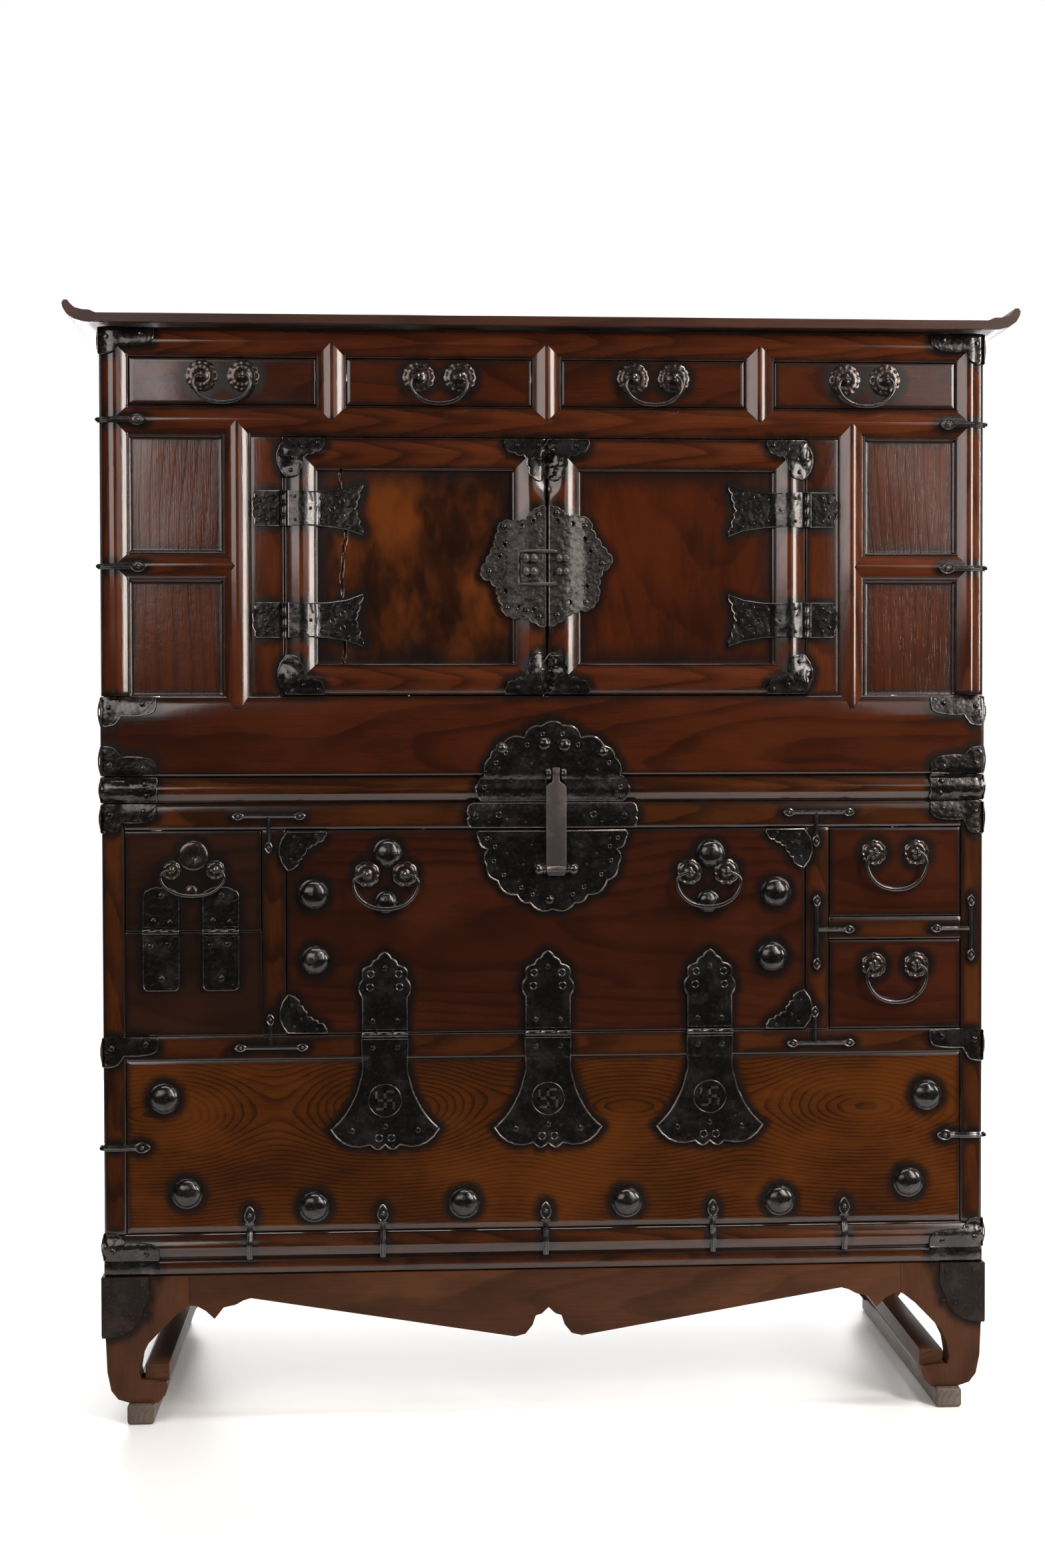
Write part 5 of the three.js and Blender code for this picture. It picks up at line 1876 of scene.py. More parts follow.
@dataclass
class Drawer:
    """Drawer with a front board, an open box, a handle and its rosettes."""

    shop: Workshop
    node: str
    bail_node: str
    body: str
    bail_body: str
    x: Span
    z: Span
    handle: Handle
    below: float
    finish: Lacquer
    slot: Slot
    proud: float = 0.6

    def front_board(self) -> BMesh:
        """Front board with rounded edges.

        Returns:
            The closed form.
        """
        x = (self.x[0] + 1.0, self.x[1] - 1.0)
        z = (self.z[0] + 1.0, self.z[1] - 1.0)

        def relief(u: float, v: float) -> float:
            """Height of the board at a place."""
            share = min(1.0, margin(u, v, x, z) / 4.0)
            return self.proud * share + wobble(u, v, 60.0, 0.35)

        self.shop.front.add(x, z, FACE, relief)
        columns, rows = (fringed(span, 4.0, 2.0) for span in (x, z))
        return slab(columns, rows, FACE, FACE + 16, relief, 1.0)

    def box(self) -> BMesh:
        """Sides, back and floor of the drawer.

        Returns:
            The closed forms in one.
        """
        x = (self.x[0] + 1.0, self.x[1] - 1.0)
        low, rim = self.z[0] + 0.2, self.z[1] - 4.0
        front, rear = FACE + 15.0, 180.0
        walls = [
            Extent((x[0], x[0] + 8), (front, rear), (low, rim)),
            Extent((x[1] - 8, x[1]), (front, rear), (low, rim)),
            Extent((x[0] + 8, x[1] - 8), (rear - 8, rear), (low, rim)),
            Extent((x[0] + 4, x[1] - 4), (front, rear - 2), (low, low + 6)),
        ]
        return join(*[block(wall, 0.8) for wall in walls])

    def dress(self) -> None:
        """Hands the drawer and its handle over."""
        middle = sum(self.x) / 2
        z = self.z[1] - self.below
        seed = middle / 400
        front = self.front_board()
        self.shop.wood(f"{self.node}_front", front, self.finish, Grain.LEVEL,
                       (seed, 0.004, -sum(self.z) / 2000 + 0.012 * math.sin(seed * 5)), self.body,
                       self.slot, self.node)
        self.shop.wood(f"{self.node}_box", self.box(), BARE, Grain.DEEP, (0.1, seed, 0.2),
                       self.body, self.slot, self.node)
        names = (f"{self.node}_rosettes", f"{self.node}_eyes")
        self.handle.dress(self.shop, (middle, z), names, self.node, self.body,
                          (self.bail_node, self.bail_body))


@dataclass
class Drawers:
    """The four small drawers and the two side drawers."""

    shop: Workshop

    def all(self) -> list[Drawer]:
        """Every drawer with its place.

        Returns:
            The drawers, the small ones first.
        """
        edges = [-X.upper_post]
        for centre in X.muntins:
            edges += [centre - X.muntin_half, centre + X.muntin_half]
        edges.append(X.upper_post)
        small = [Drawer(self.shop, f"drawer_{n}", f"drawer_bail_{n}", f"small_drawer_{n}",
                        f"small_bail_{n}", (edges[2 * n - 2], edges[2 * n - 1]),
                        (Z.drawer, Z.top_rail), SMALL_DRAWER_HANDLE, 22.5, BREAST, Slot.DARK)
                 for n in range(1, 5)]
        sides = [Drawer(self.shop, f"side_drawer_{word}", f"side_bail_{word}",
                        f"{word}_side_drawer", f"{word}_side_bail",
                        (X.partition, X.lower_post), rise, SIDE_DRAWER_HANDLE, 32.0, REDDISH,
                        Slot.WARM)
                 for word, rise in (("upper", (Z.upper_side, Z.lower_rail)),
                                    ("lower", (Z.flap, Z.side_rail)))]
        return small + sides

    def dress(self) -> None:
        """Hands every drawer over."""
        for drawer in self.all():
            drawer.dress()


# Doors

@dataclass
class Door:
    """One of the two panelled doors, with its frame, panel, corner irons and straps."""

    shop: Workshop
    side: Side
    frame_width: float = 38.0
    crown: float = 6.6
    recess: float = 6.5
    cove: float = 3.5
    corner_shares: tuple[Point, ...] = (
        (0, 0), (0.98, 0, 0), (0.97, 0.22, 0.25), (0.78, 0.37, 0.25), (0.6, 0.42, 0.2),
        (0.5, 0.5, 0.1), (0.44, 0.62, 0.2), (0.38, 0.8, 0.25), (0.26, 0.98, 0.2), (0, 1, 0.05),
    )
    seam_shares: tuple[Point, ...] = (
        (0, 0), (1, 0, 0), (0.99, 0.2, 0.2), (0.78, 0.34, 0.25), (0.55, 0.4, 0.2),
        (0.46, 0.5, 0.1), (0.42, 0.72, 0.2), (0.3, 0.94, 0.25), (0.1, 1.02, 0.15), (0, 0.98, 0),
    )

    @property
    def x(self) -> Span:
        """Door's range along X."""
        return self.side.span(1.2, X.door - 0.5)

    @property
    def z(self) -> Span:
        """Door's range along Z."""
        return (Z.door + 1.0, Z.mid_rail - 1.0)

    @property
    def body(self) -> str:
        """Body that the door rides on."""
        return f"{self.side.word}_door"

    def upright(self, name: str, span: Span, x: float, z: float) -> float:
        """Height of an upright bar; the inner one stays nearly flat towards the seam.

        Args:
            name: Whether it is the outer or the inner bar.
            span: Its range along X.
            x: Place along X.
            z: Place along Z.

        Returns:
            How far the bar stands out there.
        """
        height = bead(x, span, self.crown)
        crest = self.frame_width / 2
        if name == "inner" and 2.0 < abs(x) < crest:
            share = min(1.0, max(0.0, (min(z - self.z[0], self.z[1] - z) - 52) / 20))
            flat = self.crown - 1.7 * (1 - abs(x) / crest) ** 2
            height += share * max(0.0, flat - height)
        return height + wobble(x, z, *SLIM_ROUGH)

    def rubbing(self, span: Span, x: float, z: float) -> float:
        """How rubbed and highlighted an upright bar is at a place; its height makes no difference."""
        return rub(x, span)

    def frame_bars(self) -> dict[str, BMesh]:
        """Rounded frame bars, mitred at the corners.

        Returns:
            The bars by name.
        """
        (left, right), (low, high) = self.x, self.z
        width, back = self.frame_width, FACE + 20
        names = ("outer", "inner") if self.side is Side.LEFT else ("inner", "outer")
        bars: dict[str, BMesh] = {}
        for name, span, corner, sign in ((names[0], (left, left + width), left, 1),
                                         (names[1], (right - width, right), right, -1)):
            relief = partial(self.upright, name, span)
            inside = (low + width * 0.7, high - width * 0.7)
            self.shop.front.add(span, inside, FACE, relief)
            form = slab(rounds(*span), steps(low, high, 6.0), FACE, back, relief,
                        crest=partial(self.rubbing, span))
            cut(form, (corner, 0, high), (sign, 0, 1))
            cut(form, (corner, 0, low), (sign, 0, -1))
            bars[name] = form
        for name, span, corner, sign in (("lower", (low, low + width), low, 1),
                                         ("upper", (high - width, high), high, -1)):
            form = rounded_bar(self.shop.front, (left, right), span, False, self.crown, back,
                               SLIM_ROUGH)
            cut(form, (left, 0, corner), (-1, 0, sign))
            cut(form, (right, 0, corner), (1, 0, sign))
            bars[name] = form
        return bars

    def panel(self) -> BMesh:
        """Sunk panel with a cove round it, with a crack in the left door's.

        Returns:
            The closed form.
        """
        width = self.frame_width
        x = (self.x[0] + width - 1, self.x[1] - width + 1)
        z = (self.z[0] + width - 1, self.z[1] - width + 1)

        def relief(u: float, v: float) -> float:
            """Height of the panel at a place.

            Args:
                u: Place along X.
                v: Place along Z.

            Returns:
                How far the panel stands out there.
            """
            rise = max(0.0, 1 - margin(u, v, x, z) / self.cove)
            crack = 0.0
            if self.side is Side.LEFT:
                line = -248.0 + 3.0 * math.sin(v / 21.0) + wobble(v, 0.0, 15.0, 4.0)
                crack = 3.2 * max(0.0, 1 - abs(u - line) / 1.5) if v > 1010 or v < 960 else 0.0
            return -self.recess + 2.0 * rise ** 2 + wobble(u, v, 90.0, 0.7) - crack

        self.shop.front.add(x, z, FACE, relief)
        split = steps(-254.0, -242.0, 0.75) if self.side is Side.LEFT else []
        ends = [*steps(x[0], x[0] + self.cove, 1.6), *steps(x[1] - self.cove, x[1], 1.6)]
        columns = merged(ends, steps(*x, 4.0), split)
        # Painted shade reaches 38 mm in from the panel's edges.
        form = slab(columns, fringed(z, self.cove, 1.6), FACE, FACE + 18, relief, 0.0, shade=38.0)
        # The bottom of the crack gets the darkest painted shade through the seam mark.
        seam = form.verts.layers.float["seam"]
        for vert in form.verts:
            if vert.co.y - FACE > self.recess + 1.0 and -255 < vert.co.x < -240:
                vert[seam] = 1.3
        return form

    def corner_irons(self) -> BMesh:
        """Scalloped irons at the frame's corners and at the seam.

        Returns:
            The closed forms in one.
        """
        front = self.shop.front
        sign = self.side.value
        outer = sign * (X.door - 1.5)
        seam = sign * 1.8
        low, high = self.z[0] + 0.8, self.z[1] - 0.8
        forms = []
        for z, up in ((high, -1), (low, 1)):
            spots = ((0.46, 0.24), (0.84, 0.13), (0.22, 0.5), (0.16, 0.82))
            forms += corner_iron(front, self.corner_shares, (outer, z), (-sign * 47, up * 48),
                                 spots, (3.0, 2.2))
            spots = ((0.14, 0.5), (0.32, 0.5), (0.7, 0.17), (0.16, 0.16))
            forms += corner_iron(front, self.seam_shares, (seam, z), (sign * 49, up * 50),
                                 spots, (3.0, 2.2))
        return join(*forms)

    def strap(self, z: float) -> BMesh:
        """Waisted strap hinge leaf with a flared, scalloped tail.

        Args:
            z: Height of its middle.

        Returns:
            The closed forms in one.
        """
        sign = self.side.value
        front = self.shop.front
        shares = [(4.5, -21.5, 0), (30, -20.5, 0), (52, -21.5, 0), (76, -25, 0), (95, -32, 0),
                  (91, -20, 0.2), (88.5, -9, 0.2), (86, 0, 0.2), (88.5, 9, 0.2), (91, 20, 0.2),
                  (95, 32, 0.2), (76, 25, 0), (52, 21.5, 0), (30, 20.5, 0), (4.5, 21.5, 0)]
        points = [(sign * (X.door - p[0]), z + p[1], *p[2:]) for p in shares]
        forms = [plate(front, lobed(points, 0.1), 1.7, 4.5, 0.9)]
        sixth = STRAP_HEIGHT / 6
        knuckle = (z - sixth + 0.3, z + sixth - 0.3)
        forms.append(barrel(knuckle, (sign * X.door, PIN), upright=True))
        spots = [(14, -14), (14, 14), (32, 0), (46, -13), (46, 13), (64, -16), (64, 16), (78, -20),
                 (78, 20), (79, 0)]
        for u, v in spots:
            forms.append(nail(front, sign * (X.door - u), z + v, 2.4, 2.2))
        for u, v in ((58, 0), (70, -9), (70, 9)):
            forms.append(ring(front, sign * (X.door - u), z + v, 3.2, 0.7))
        return join(*forms)

    def dress(self) -> None:
        """Hands the door over."""
        sign = self.side.value
        node = f"door_{self.side.word}"
        for name, form in self.frame_bars().items():
            upright = name in ("outer", "inner")
            grain = Grain.UPRIGHT if upright else Grain.LEVEL
            across = {"outer": 0.3, "inner": 0.02}.get(name, 0.0) * sign
            place = -(sum(self.z) / 2 + (137 if name == "upper" else -137)) / 1000
            shift = (0.2 * sign, 0.012, across if upright else place)
            self.shop.wood(f"{node}_{name}_bar", form, MAHOGANY, grain, shift, self.body,
                           Slot.DARK, node)
        finish = BLOTCHED if self.side is Side.LEFT else GLOWING
        self.shop.wood(f"{node}_panel", self.panel(), finish, Grain.UPRIGHT,
                       (-1.04, 0.012, 0.16 * sign + 0.02), self.body, Slot.DARK, node)
        self.shop.iron(f"{node}_corner_irons", self.corner_irons(), HAMMERED, self.body, node)
        for level, z in STRAP_LEVELS.items():
            self.shop.iron(f"door_strap_{level}_{self.side.word}_iron", self.strap(z), HAMMERED,
                           self.body, f"door_strap_{level}_{self.side.word}")


@dataclass(frozen=True)
class HalfPlate:
    """Outline, domed nails, empty nail holes and studs of one half, from seam and middle."""

    outline: tuple[Point, ...]
    domes: tuple[Point, ...]
    holes: tuple[Point, ...]
    studs: Span
    stud: float


LEFT_PLATE = HalfPlate(
    ((1.4, -74, 0), (14.4, -70.3), (23, -63.8), (33.3, -63.3), (45.5, -61.7), (52.8, -57.9),
     (56, -47.1), (60.3, -36.3), (61.9, -26.1), (69.7, -17.5), (80.2, -13.4), (80.6, -6.2),
     (74.7, 4.1), (69.3, 14.9), (65, 24.3), (63.3, 32.4), (60.1, 41.9), (59, 50.5),
     (54.6, 53.7), (43.8, 55.4), (34.4, 53.8), (25.4, 56), (23.8, 60.3), (18.4, 65.7),
     (11.3, 70.1), (1.4, 72.3)),
    ((52.6, 48.6), (70.4, -6.4), (48.6, -51.3), (10.3, -61.6), (25.5, -54.5), (10, 61.9)),
    ((29.5, 48.3), (16.7, 54.6), (51.5, 26.4), (57.6, 11.8), (50.4, -30), (34.0, -50),
     (16.4, -53.7)),
    (16.6, 26.2), 5.8)
RIGHT_PLATE = HalfPlate(
    ((1.4, -73.5, 0), (12.8, -69.2), (22.3, -61.1), (31.8, -57.3), (41.3, -54.1), (53, -52.4),
     (59.5, -45.7), (63.9, -36.2), (62.8, -25.4), (64.5, -14.5), (68.5, -5.9), (78.1, 1.7),
     (80.6, 7.7), (74.8, 16.6), (67.2, 24.7), (60.2, 35.5), (55.3, 44.9), (53.2, 55.2),
     (41.5, 60.5), (27.9, 59.9), (21.7, 63.2), (16.3, 68.5), (8.7, 71.7), (1.4, 72.8)),
    ((11.9, 64.2), (46.7, 49.7), (68, 3.4), (47.7, -43.7), (11.7, -59.7)),
    ((13.1, 54.5), (31.4, 51.5), (47.3, 33.3), (53.9, 18.1), (49.6, -24.4), (27.6, -44)),
    (14.4, 22.8), 5.2)


@dataclass
class DoorPlate:
    """Irregular plate shared by the doors, with its ball studs and the latch loop."""

    shop: Workshop
    z: float = 1041.0
    pivot: float = -35.0
    pivot_depth: float = 5.5
    loop_drop: float = 2.4
    half_loop: float = 19.9
    stud_levels: Span = (-6.9, 8.8)

    def half(self, side: Side) -> tuple[BMesh, BMesh]:
        """One half of the plate, and its nails.

        Args:
            side: The half.

        Returns:
            The sheet, and its nails and rims of holes.
        """
        sign = side.value
        made = LEFT_PLATE if side is Side.LEFT else RIGHT_PLATE
        points = [(sign * p[0], self.z + p[1], *p[2:]) for p in made.outline]
        flat = Front()
        flat.add((-100, 100), (900, 1200), FACE, lambda x, z: self.rise(x))
        nails = [boss(flat, sign * x, self.z + z, 4.6, 3.4) for x, z in made.domes]
        nails += [ring(flat, sign * x, self.z + z, 3.0, 0.8, 1.7) for x, z in made.holes]
        holes = [(sign * x, self.z + z, 2.5) for x, z in made.holes]
        sheet = plate(flat, lobed(points, 0.2, 4), 1.4, 4.5, 1.1, 0.5, holes, 0.2)
        return sheet, join(*nails)

    def rise(self, x: float) -> float:
        """Height of the sheet: flat by the seam, over the bar, and down to the panel.

        Args:
            x: Place along X.

        Returns:
            How far it stands out there.
        """
        edge = abs(x)
        crest = 19.5
        if edge < crest:
            return 6.6 - 1.2 * (1 - edge / crest) ** 2
        if edge < 35:
            return bead(edge, (0.0, 2 * crest), 6.6, 1.0)
        return max(-2.5, bead(35.0, (0.0, 2 * crest), 6.6, 1.0) - 0.4 * (edge - 35))

    def studs(self, side: Side) -> BMesh:
        """Pairs of balls that the latch loop goes round.

        Args:
            side: The half that carries them.

        Returns:
            The closed forms in one.
        """
        made = LEFT_PLATE if side is Side.LEFT else RIGHT_PLATE
        size = made.stud
        profile = [(size * r, size * y) for r, y in
                   ((0, 1), (0.5, 0.87), (0.85, 0.53), (1, 0.05), (0.88, -0.45), (0.6, -0.85),
                    (0, -0.85))]
        forms = []
        for across in made.studs:
            for level in self.stud_levels:
                place = (side.value * across, FACE - 12.6, self.z + level)
                forms.append(turned(profile, place, 18))
        return join(*forms)

    def latch(self) -> BMesh:
        """Square loop that swings on its upright bar, with arms bent over the door's bar.

        Returns:
            The closed forms in one.
        """
        middle = self.z - self.loop_drop
        axis = FACE - self.pivot_depth
        half = self.half_loop
        upright = rod([(self.pivot, axis, middle - half - 1.0),
                       (self.pivot, axis, middle + half + 1.0)], 1.9, 10)
        bends = ((0, 0, 1.8), (2, 1.15, 1.9), (5, 2.6, 2.0), (8, 3.9, 2.1), (11, 4.9, 2.2),
                 (15.5, 5.7, 2.2), (41, 5.7, 2.3), (44, 5.6, 2.3), (46.5, 5.4, 2.2))
        arms = []
        for sign in (-1, 1):
            line = [(self.pivot + along, axis - out, middle + sign * (half - max(0, along - 43) * 0.3))
                    for along, out, _ in bends]
            arms.append(rod(line, [wire for _, _, wire in bends], 10))
        return join(upright, *arms)

    def dress(self) -> None:
        """Hands both halves and the loop over."""
        for side in Side:
            node = f"door_plate_{side.word}"
            body = f"{side.word}_door"
            sheet, nails = self.half(side)
            self.shop.iron(f"{node}_iron", sheet, MATTE, body, node)
            self.shop.iron(f"{node}_nails", nails, HAMMERED, body, node)
            self.shop.iron(f"{node}_studs", self.studs(side), STEEL, body, node)
        self.shop.iron("latch_loop_iron", self.latch(), STEEL, "latch", "latch_loop")


# Lower tier

@dataclass
class LowerCase:
    """Sides, rails, partitions, panels, shelf, plinth and back of the lower tier."""

    shop: Workshop

    def flat(self, x: Span, z: Span, back: float = RAIL_BACK, crown: float = 1.6,
             upright: bool = False, arris: float = 1.0) -> BMesh:
        """Nearly flat member with a slight crown.

        Args:
            x: Its range along X.
            z: Its range along Z.
            back: Depth of its back.
            crown: Height of its middle.
            upright: Whether it stands instead of lying level.
            arris: Width of its rounded front edge.

        Returns:
            The closed form.
        """
        def relief(u: float, v: float) -> float:
            """Height of the member at a place.

            Args:
                u: Place along X.
                v: Place along Z.

            Returns:
                How far the member stands out there.
            """
            at, span = (u, x) if upright else (v, z)
            share = 2 * abs(at - sum(span) / 2) / (span[1] - span[0])
            return crown * (1 - share ** 4) + wobble(u, v, 70.0, 0.3)

        self.shop.front.add(x, z, FACE, relief)
        columns = rounds(*x, 8) if upright else steps(*x, 6.0)
        rows = steps(*z, 6.0) if upright else rounds(*z, 8)
        return slab(columns, rows, FACE, back, relief, arris)

    def big_panel(self) -> BMesh:
        """Wide lower panel, a little sunk at its borders.

        Returns:
            The closed form.
        """
        x = (-X.lower_post + 0.2, X.lower_post - 0.2)
        z = (Z.panel + 0.2, Z.sill)

        def relief(u: float, v: float) -> float:
            """Height of the panel at a place."""
            share = max(0.0, 1 - margin(u, v, x, z) / 5.0)
            return -1.4 * share + wobble(u, v, 130.0, 0.9)

        self.shop.front.add(x, z, FACE, relief)
        columns, rows = (fringed(span, 5.0, 2.5) for span in (x, z))
        return slab(columns, rows, FACE, FACE + 19.8, relief, 0.6)

    def plinth(self) -> list[BMesh]:
        """Two mouldings above the stand.

        Returns:
            The upper and the lower moulding.
        """
        seam = Z.plinth + 19.5
        upper = rounded_bar(self.shop.front, (-X.case, X.case), (seam, Z.panel - 0.2), False, 6.8)
        lower = self.flat((-X.case, X.case), (Z.plinth + 0.2, seam), crown=2.6)
        return [upper, lower]

    def dress(self) -> None:
        """Hands the lower tier's wood over."""
        shop = self.shop
        for side in Side:
            post = self.flat(side.span(X.lower_post + 0.1, X.case - 0.2),
                             (Z.panel + 0.2, Z.waist - 0.2), crown=3.0, upright=True)
            shop.wood(f"lower_post_{side.word}", post, STREAKED, Grain.UPRIGHT,
                      (0.1 * side.value, 0.01, 0.526 * side.value), "case", Slot.WARM,
                      f"lower_side_{side.word}")
            board = block(Extent(side.span(X.case - 22, X.case - 0.2), (FACE + 14, REAR - 0.2),
                                 (Z.panel + 0.2, Z.waist - 0.2)), 1.2)
            shop.wood(f"lower_side_board_{side.word}", board, STREAKED, Grain.UPRIGHT,
                      (0.3, 0.2 * side.value, 0.06), "case", Slot.WARM, f"lower_side_{side.word}")
            partition = self.flat(side.span(X.flap + 0.2, X.partition - 0.2),
                                  (Z.flap + 0.2, Z.lower_rail - 0.2), upright=True)
            shop.wood(f"partition_post_{side.word}", partition, STREAKED, Grain.UPRIGHT,
                      (0.4 * side.value, 0.01, 0.333 * side.value), "case", Slot.WARM,
                      f"partition_{side.word}")
            boards = [block(Extent(side.span(X.flap + 0.2, X.partition - 0.2), (RAIL_BACK, BOARD_BACK),
                                   (Z.panel + 0.2, Z.waist - 0.2)), 1.0)]
            if side is Side.RIGHT:
                boards.append(block(Extent((X.partition - 1, X.inside - 0.2), (RAIL_BACK, BOARD_BACK),
                                           (Z.flap - 14, Z.flap - 0.2)), 0.8))
            shop.wood(f"partition_boards_{side.word}", join(*boards), BARE, Grain.DEEP,
                      (0.1, 0.333 * side.value, 0.1), "case", Slot.WARM,
                      f"partition_{side.word}")
        span = (-X.lower_post + 0.2, X.lower_post - 0.2)
        rail = self.flat(span, (Z.lower_rail + 0.2, Z.waist - 0.2), crown=3.4)
        shop.wood("lower_rail_wood", rail, STREAKED, Grain.LEVEL, (0.2, 0.02, -0.733), "case",
                  Slot.WARM, "lower_top_rail")
        sill = self.flat(span, (Z.sill, Z.flap - 0.2), -184.2, 1.2)
        shop.wood("sill_wood", sill, STREAKED, Grain.LEVEL, (0.5, 0.02, -0.45), "case", Slot.WARM,
                  "lower_panel")
        shop.wood("lower_panel_wood", self.big_panel(), GOLDEN, Grain.LEVEL,
                  (-0.1, 0.204, -0.375), "case", Slot.WARM, "lower_panel")
        bay = self.flat((-X.lower_post + 0.2, -X.partition - 0.2), (Z.flap + 0.2, 597.0), -184.2,
                        0.6)
        shop.wood("small_bay_wood", bay, SMOKED, Grain.LEVEL, (0.3, 0.01, -0.53), "case",
                  Slot.WARM, "small_bay_panel")
        floor = block(Extent((-X.lower_post + 0.2, -X.partition - 0.2), (-184.0, BOARD_BACK),
                             (Z.flap + 0.2, Z.flap + 14)), 0.8)
        shop.wood("small_bay_floor", floor, BARE, Grain.DEEP, (0.2, -0.43, 0.1), "case",
                  Slot.WARM, "small_bay_panel")
        middle = self.flat((X.partition + 0.2, X.lower_post - 0.2),
                           (Z.side_rail + 0.2, Z.upper_side - 0.2))
        shop.wood("side_rail_wood", middle, STREAKED, Grain.LEVEL, (0.4, 0.01, -0.595), "case",
                  Slot.WARM, "drawer_shelf")
        shelf = block(Extent((X.partition + 0.2, X.lower_post - 0.2), (RAIL_BACK, BOARD_BACK),
                             (Z.upper_side - 14, Z.upper_side - 0.2)), 0.8)
        shop.wood("side_shelf", shelf, BARE, Grain.DEEP, (0.2, 0.43, 0.2), "case", Slot.WARM,
                  "drawer_shelf")
        for name, form in zip(("upper", "lower"), self.plinth()):
            shop.wood(f"plinth_{name}_moulding", form, STREAKED, Grain.LEVEL,
                      (0.3, 0.02, -0.21 if name == "upper" else -0.185), "case", Slot.WARM,
                      "plinth")
        shop.wood("plinth_floor", tier_floor(Z.panel, Z.plinth), STREAKED, Grain.LEVEL,
                  (0.1, 0.1, -0.2), "case", Slot.WARM, "plinth")
        planks = back_planks((-330.0, -150.0, 40.0, 210.0, 372.0), (Z.panel, Z.waist))
        shop.wood("lower_back_planks", planks, BARE, Grain.UPRIGHT, (0.5, 0.3, 0.37), "case",
                  Slot.PLAIN, "lower_back")


@dataclass
class DropFront:
    """Main flap with its corner irons, bosses and handles."""

    shop: Workshop
    corner_shares: tuple[Point, ...] = (
        (0, 0), (1, 0, 0), (0.98, 0.16), (0.8, 0.28), (0.66, 0.36), (0.5, 0.44), (0.42, 0.62),
        (0.3, 0.74), (0.24, 0.9), (0, 1, 0.1),
    )
    bosses: tuple[Point, ...] = (
        (-195.1, 691.2, 17.9), (-285.0, 641.5, 19.0), (-283.3, 561.1, 18.0), (-196.8, 631.6, 13.8),
        (200.9, 688.8, 18.0), (197.5, 630.0, 14.0), (282.0, 641.0, 19.0), (277.0, 561.0, 19.0),
    )

    def board(self) -> BMesh:
        """The flap's board.

        Returns:
            The closed form.
        """
        x = (-X.flap + 1.0, X.flap - 1.0)
        z = (Z.flap + 1.0, Z.lower_rail - 1.0)

        def relief(u: float, v: float) -> float:
            """Height of the board at a place."""
            share = min(1.0, margin(u, v, x, z) / 5)
            return 0.4 * share + wobble(u, v, 110.0, 0.8)

        self.shop.front.add(x, z, FACE, relief)
        return slab(steps(*x, 5.0), steps(*z, 5.0), FACE, FACE + 19.8, relief, 1.0)

    def irons(self) -> BMesh:
        """Scalloped corner irons and bosses.

        Returns:
            The closed forms in one.
        """
        front = self.shop.front
        forms = []
        for sign in (-1, 1):
            for z, up in ((Z.lower_rail - 1.8, -1), (Z.flap + 1.8, 1)):
                spots = ((0.16, 0.16), (0.74, 0.1), (0.1, 0.72), (0.34, 0.36))
                forms += corner_iron(front, self.corner_shares, (sign * (X.flap - 1.8), z),
                                     (-sign * 47, up * 48), spots, (2.4, 2.0), 1.4)
        for x, z, radius in self.bosses:
            forms.append(boss(front, x, z, radius))
        return join(*forms)

    def dress(self) -> None:
        """Hands the flap over."""
        shop = self.shop
        shop.wood("flap_board", self.board(), REDDISH, Grain.LEVEL, (0.2, 0.0, -0.6), "drop_front",
                  Slot.WARM, "main_flap")
        shop.iron("flap_irons", self.irons(), HAMMERED, "drop_front", "main_flap")
        z = Z.lower_rail - 54.5
        for side in Side:
            names = (f"flap_rosettes_{side.word}", f"flap_eyes_{side.word}")
            FLAP_HANDLE.dress(shop, (side.value * 197.5, z), names, "main_flap", "drop_front",
                              (f"flap_bail_{side.word}", f"front_bail_{side.word}"))


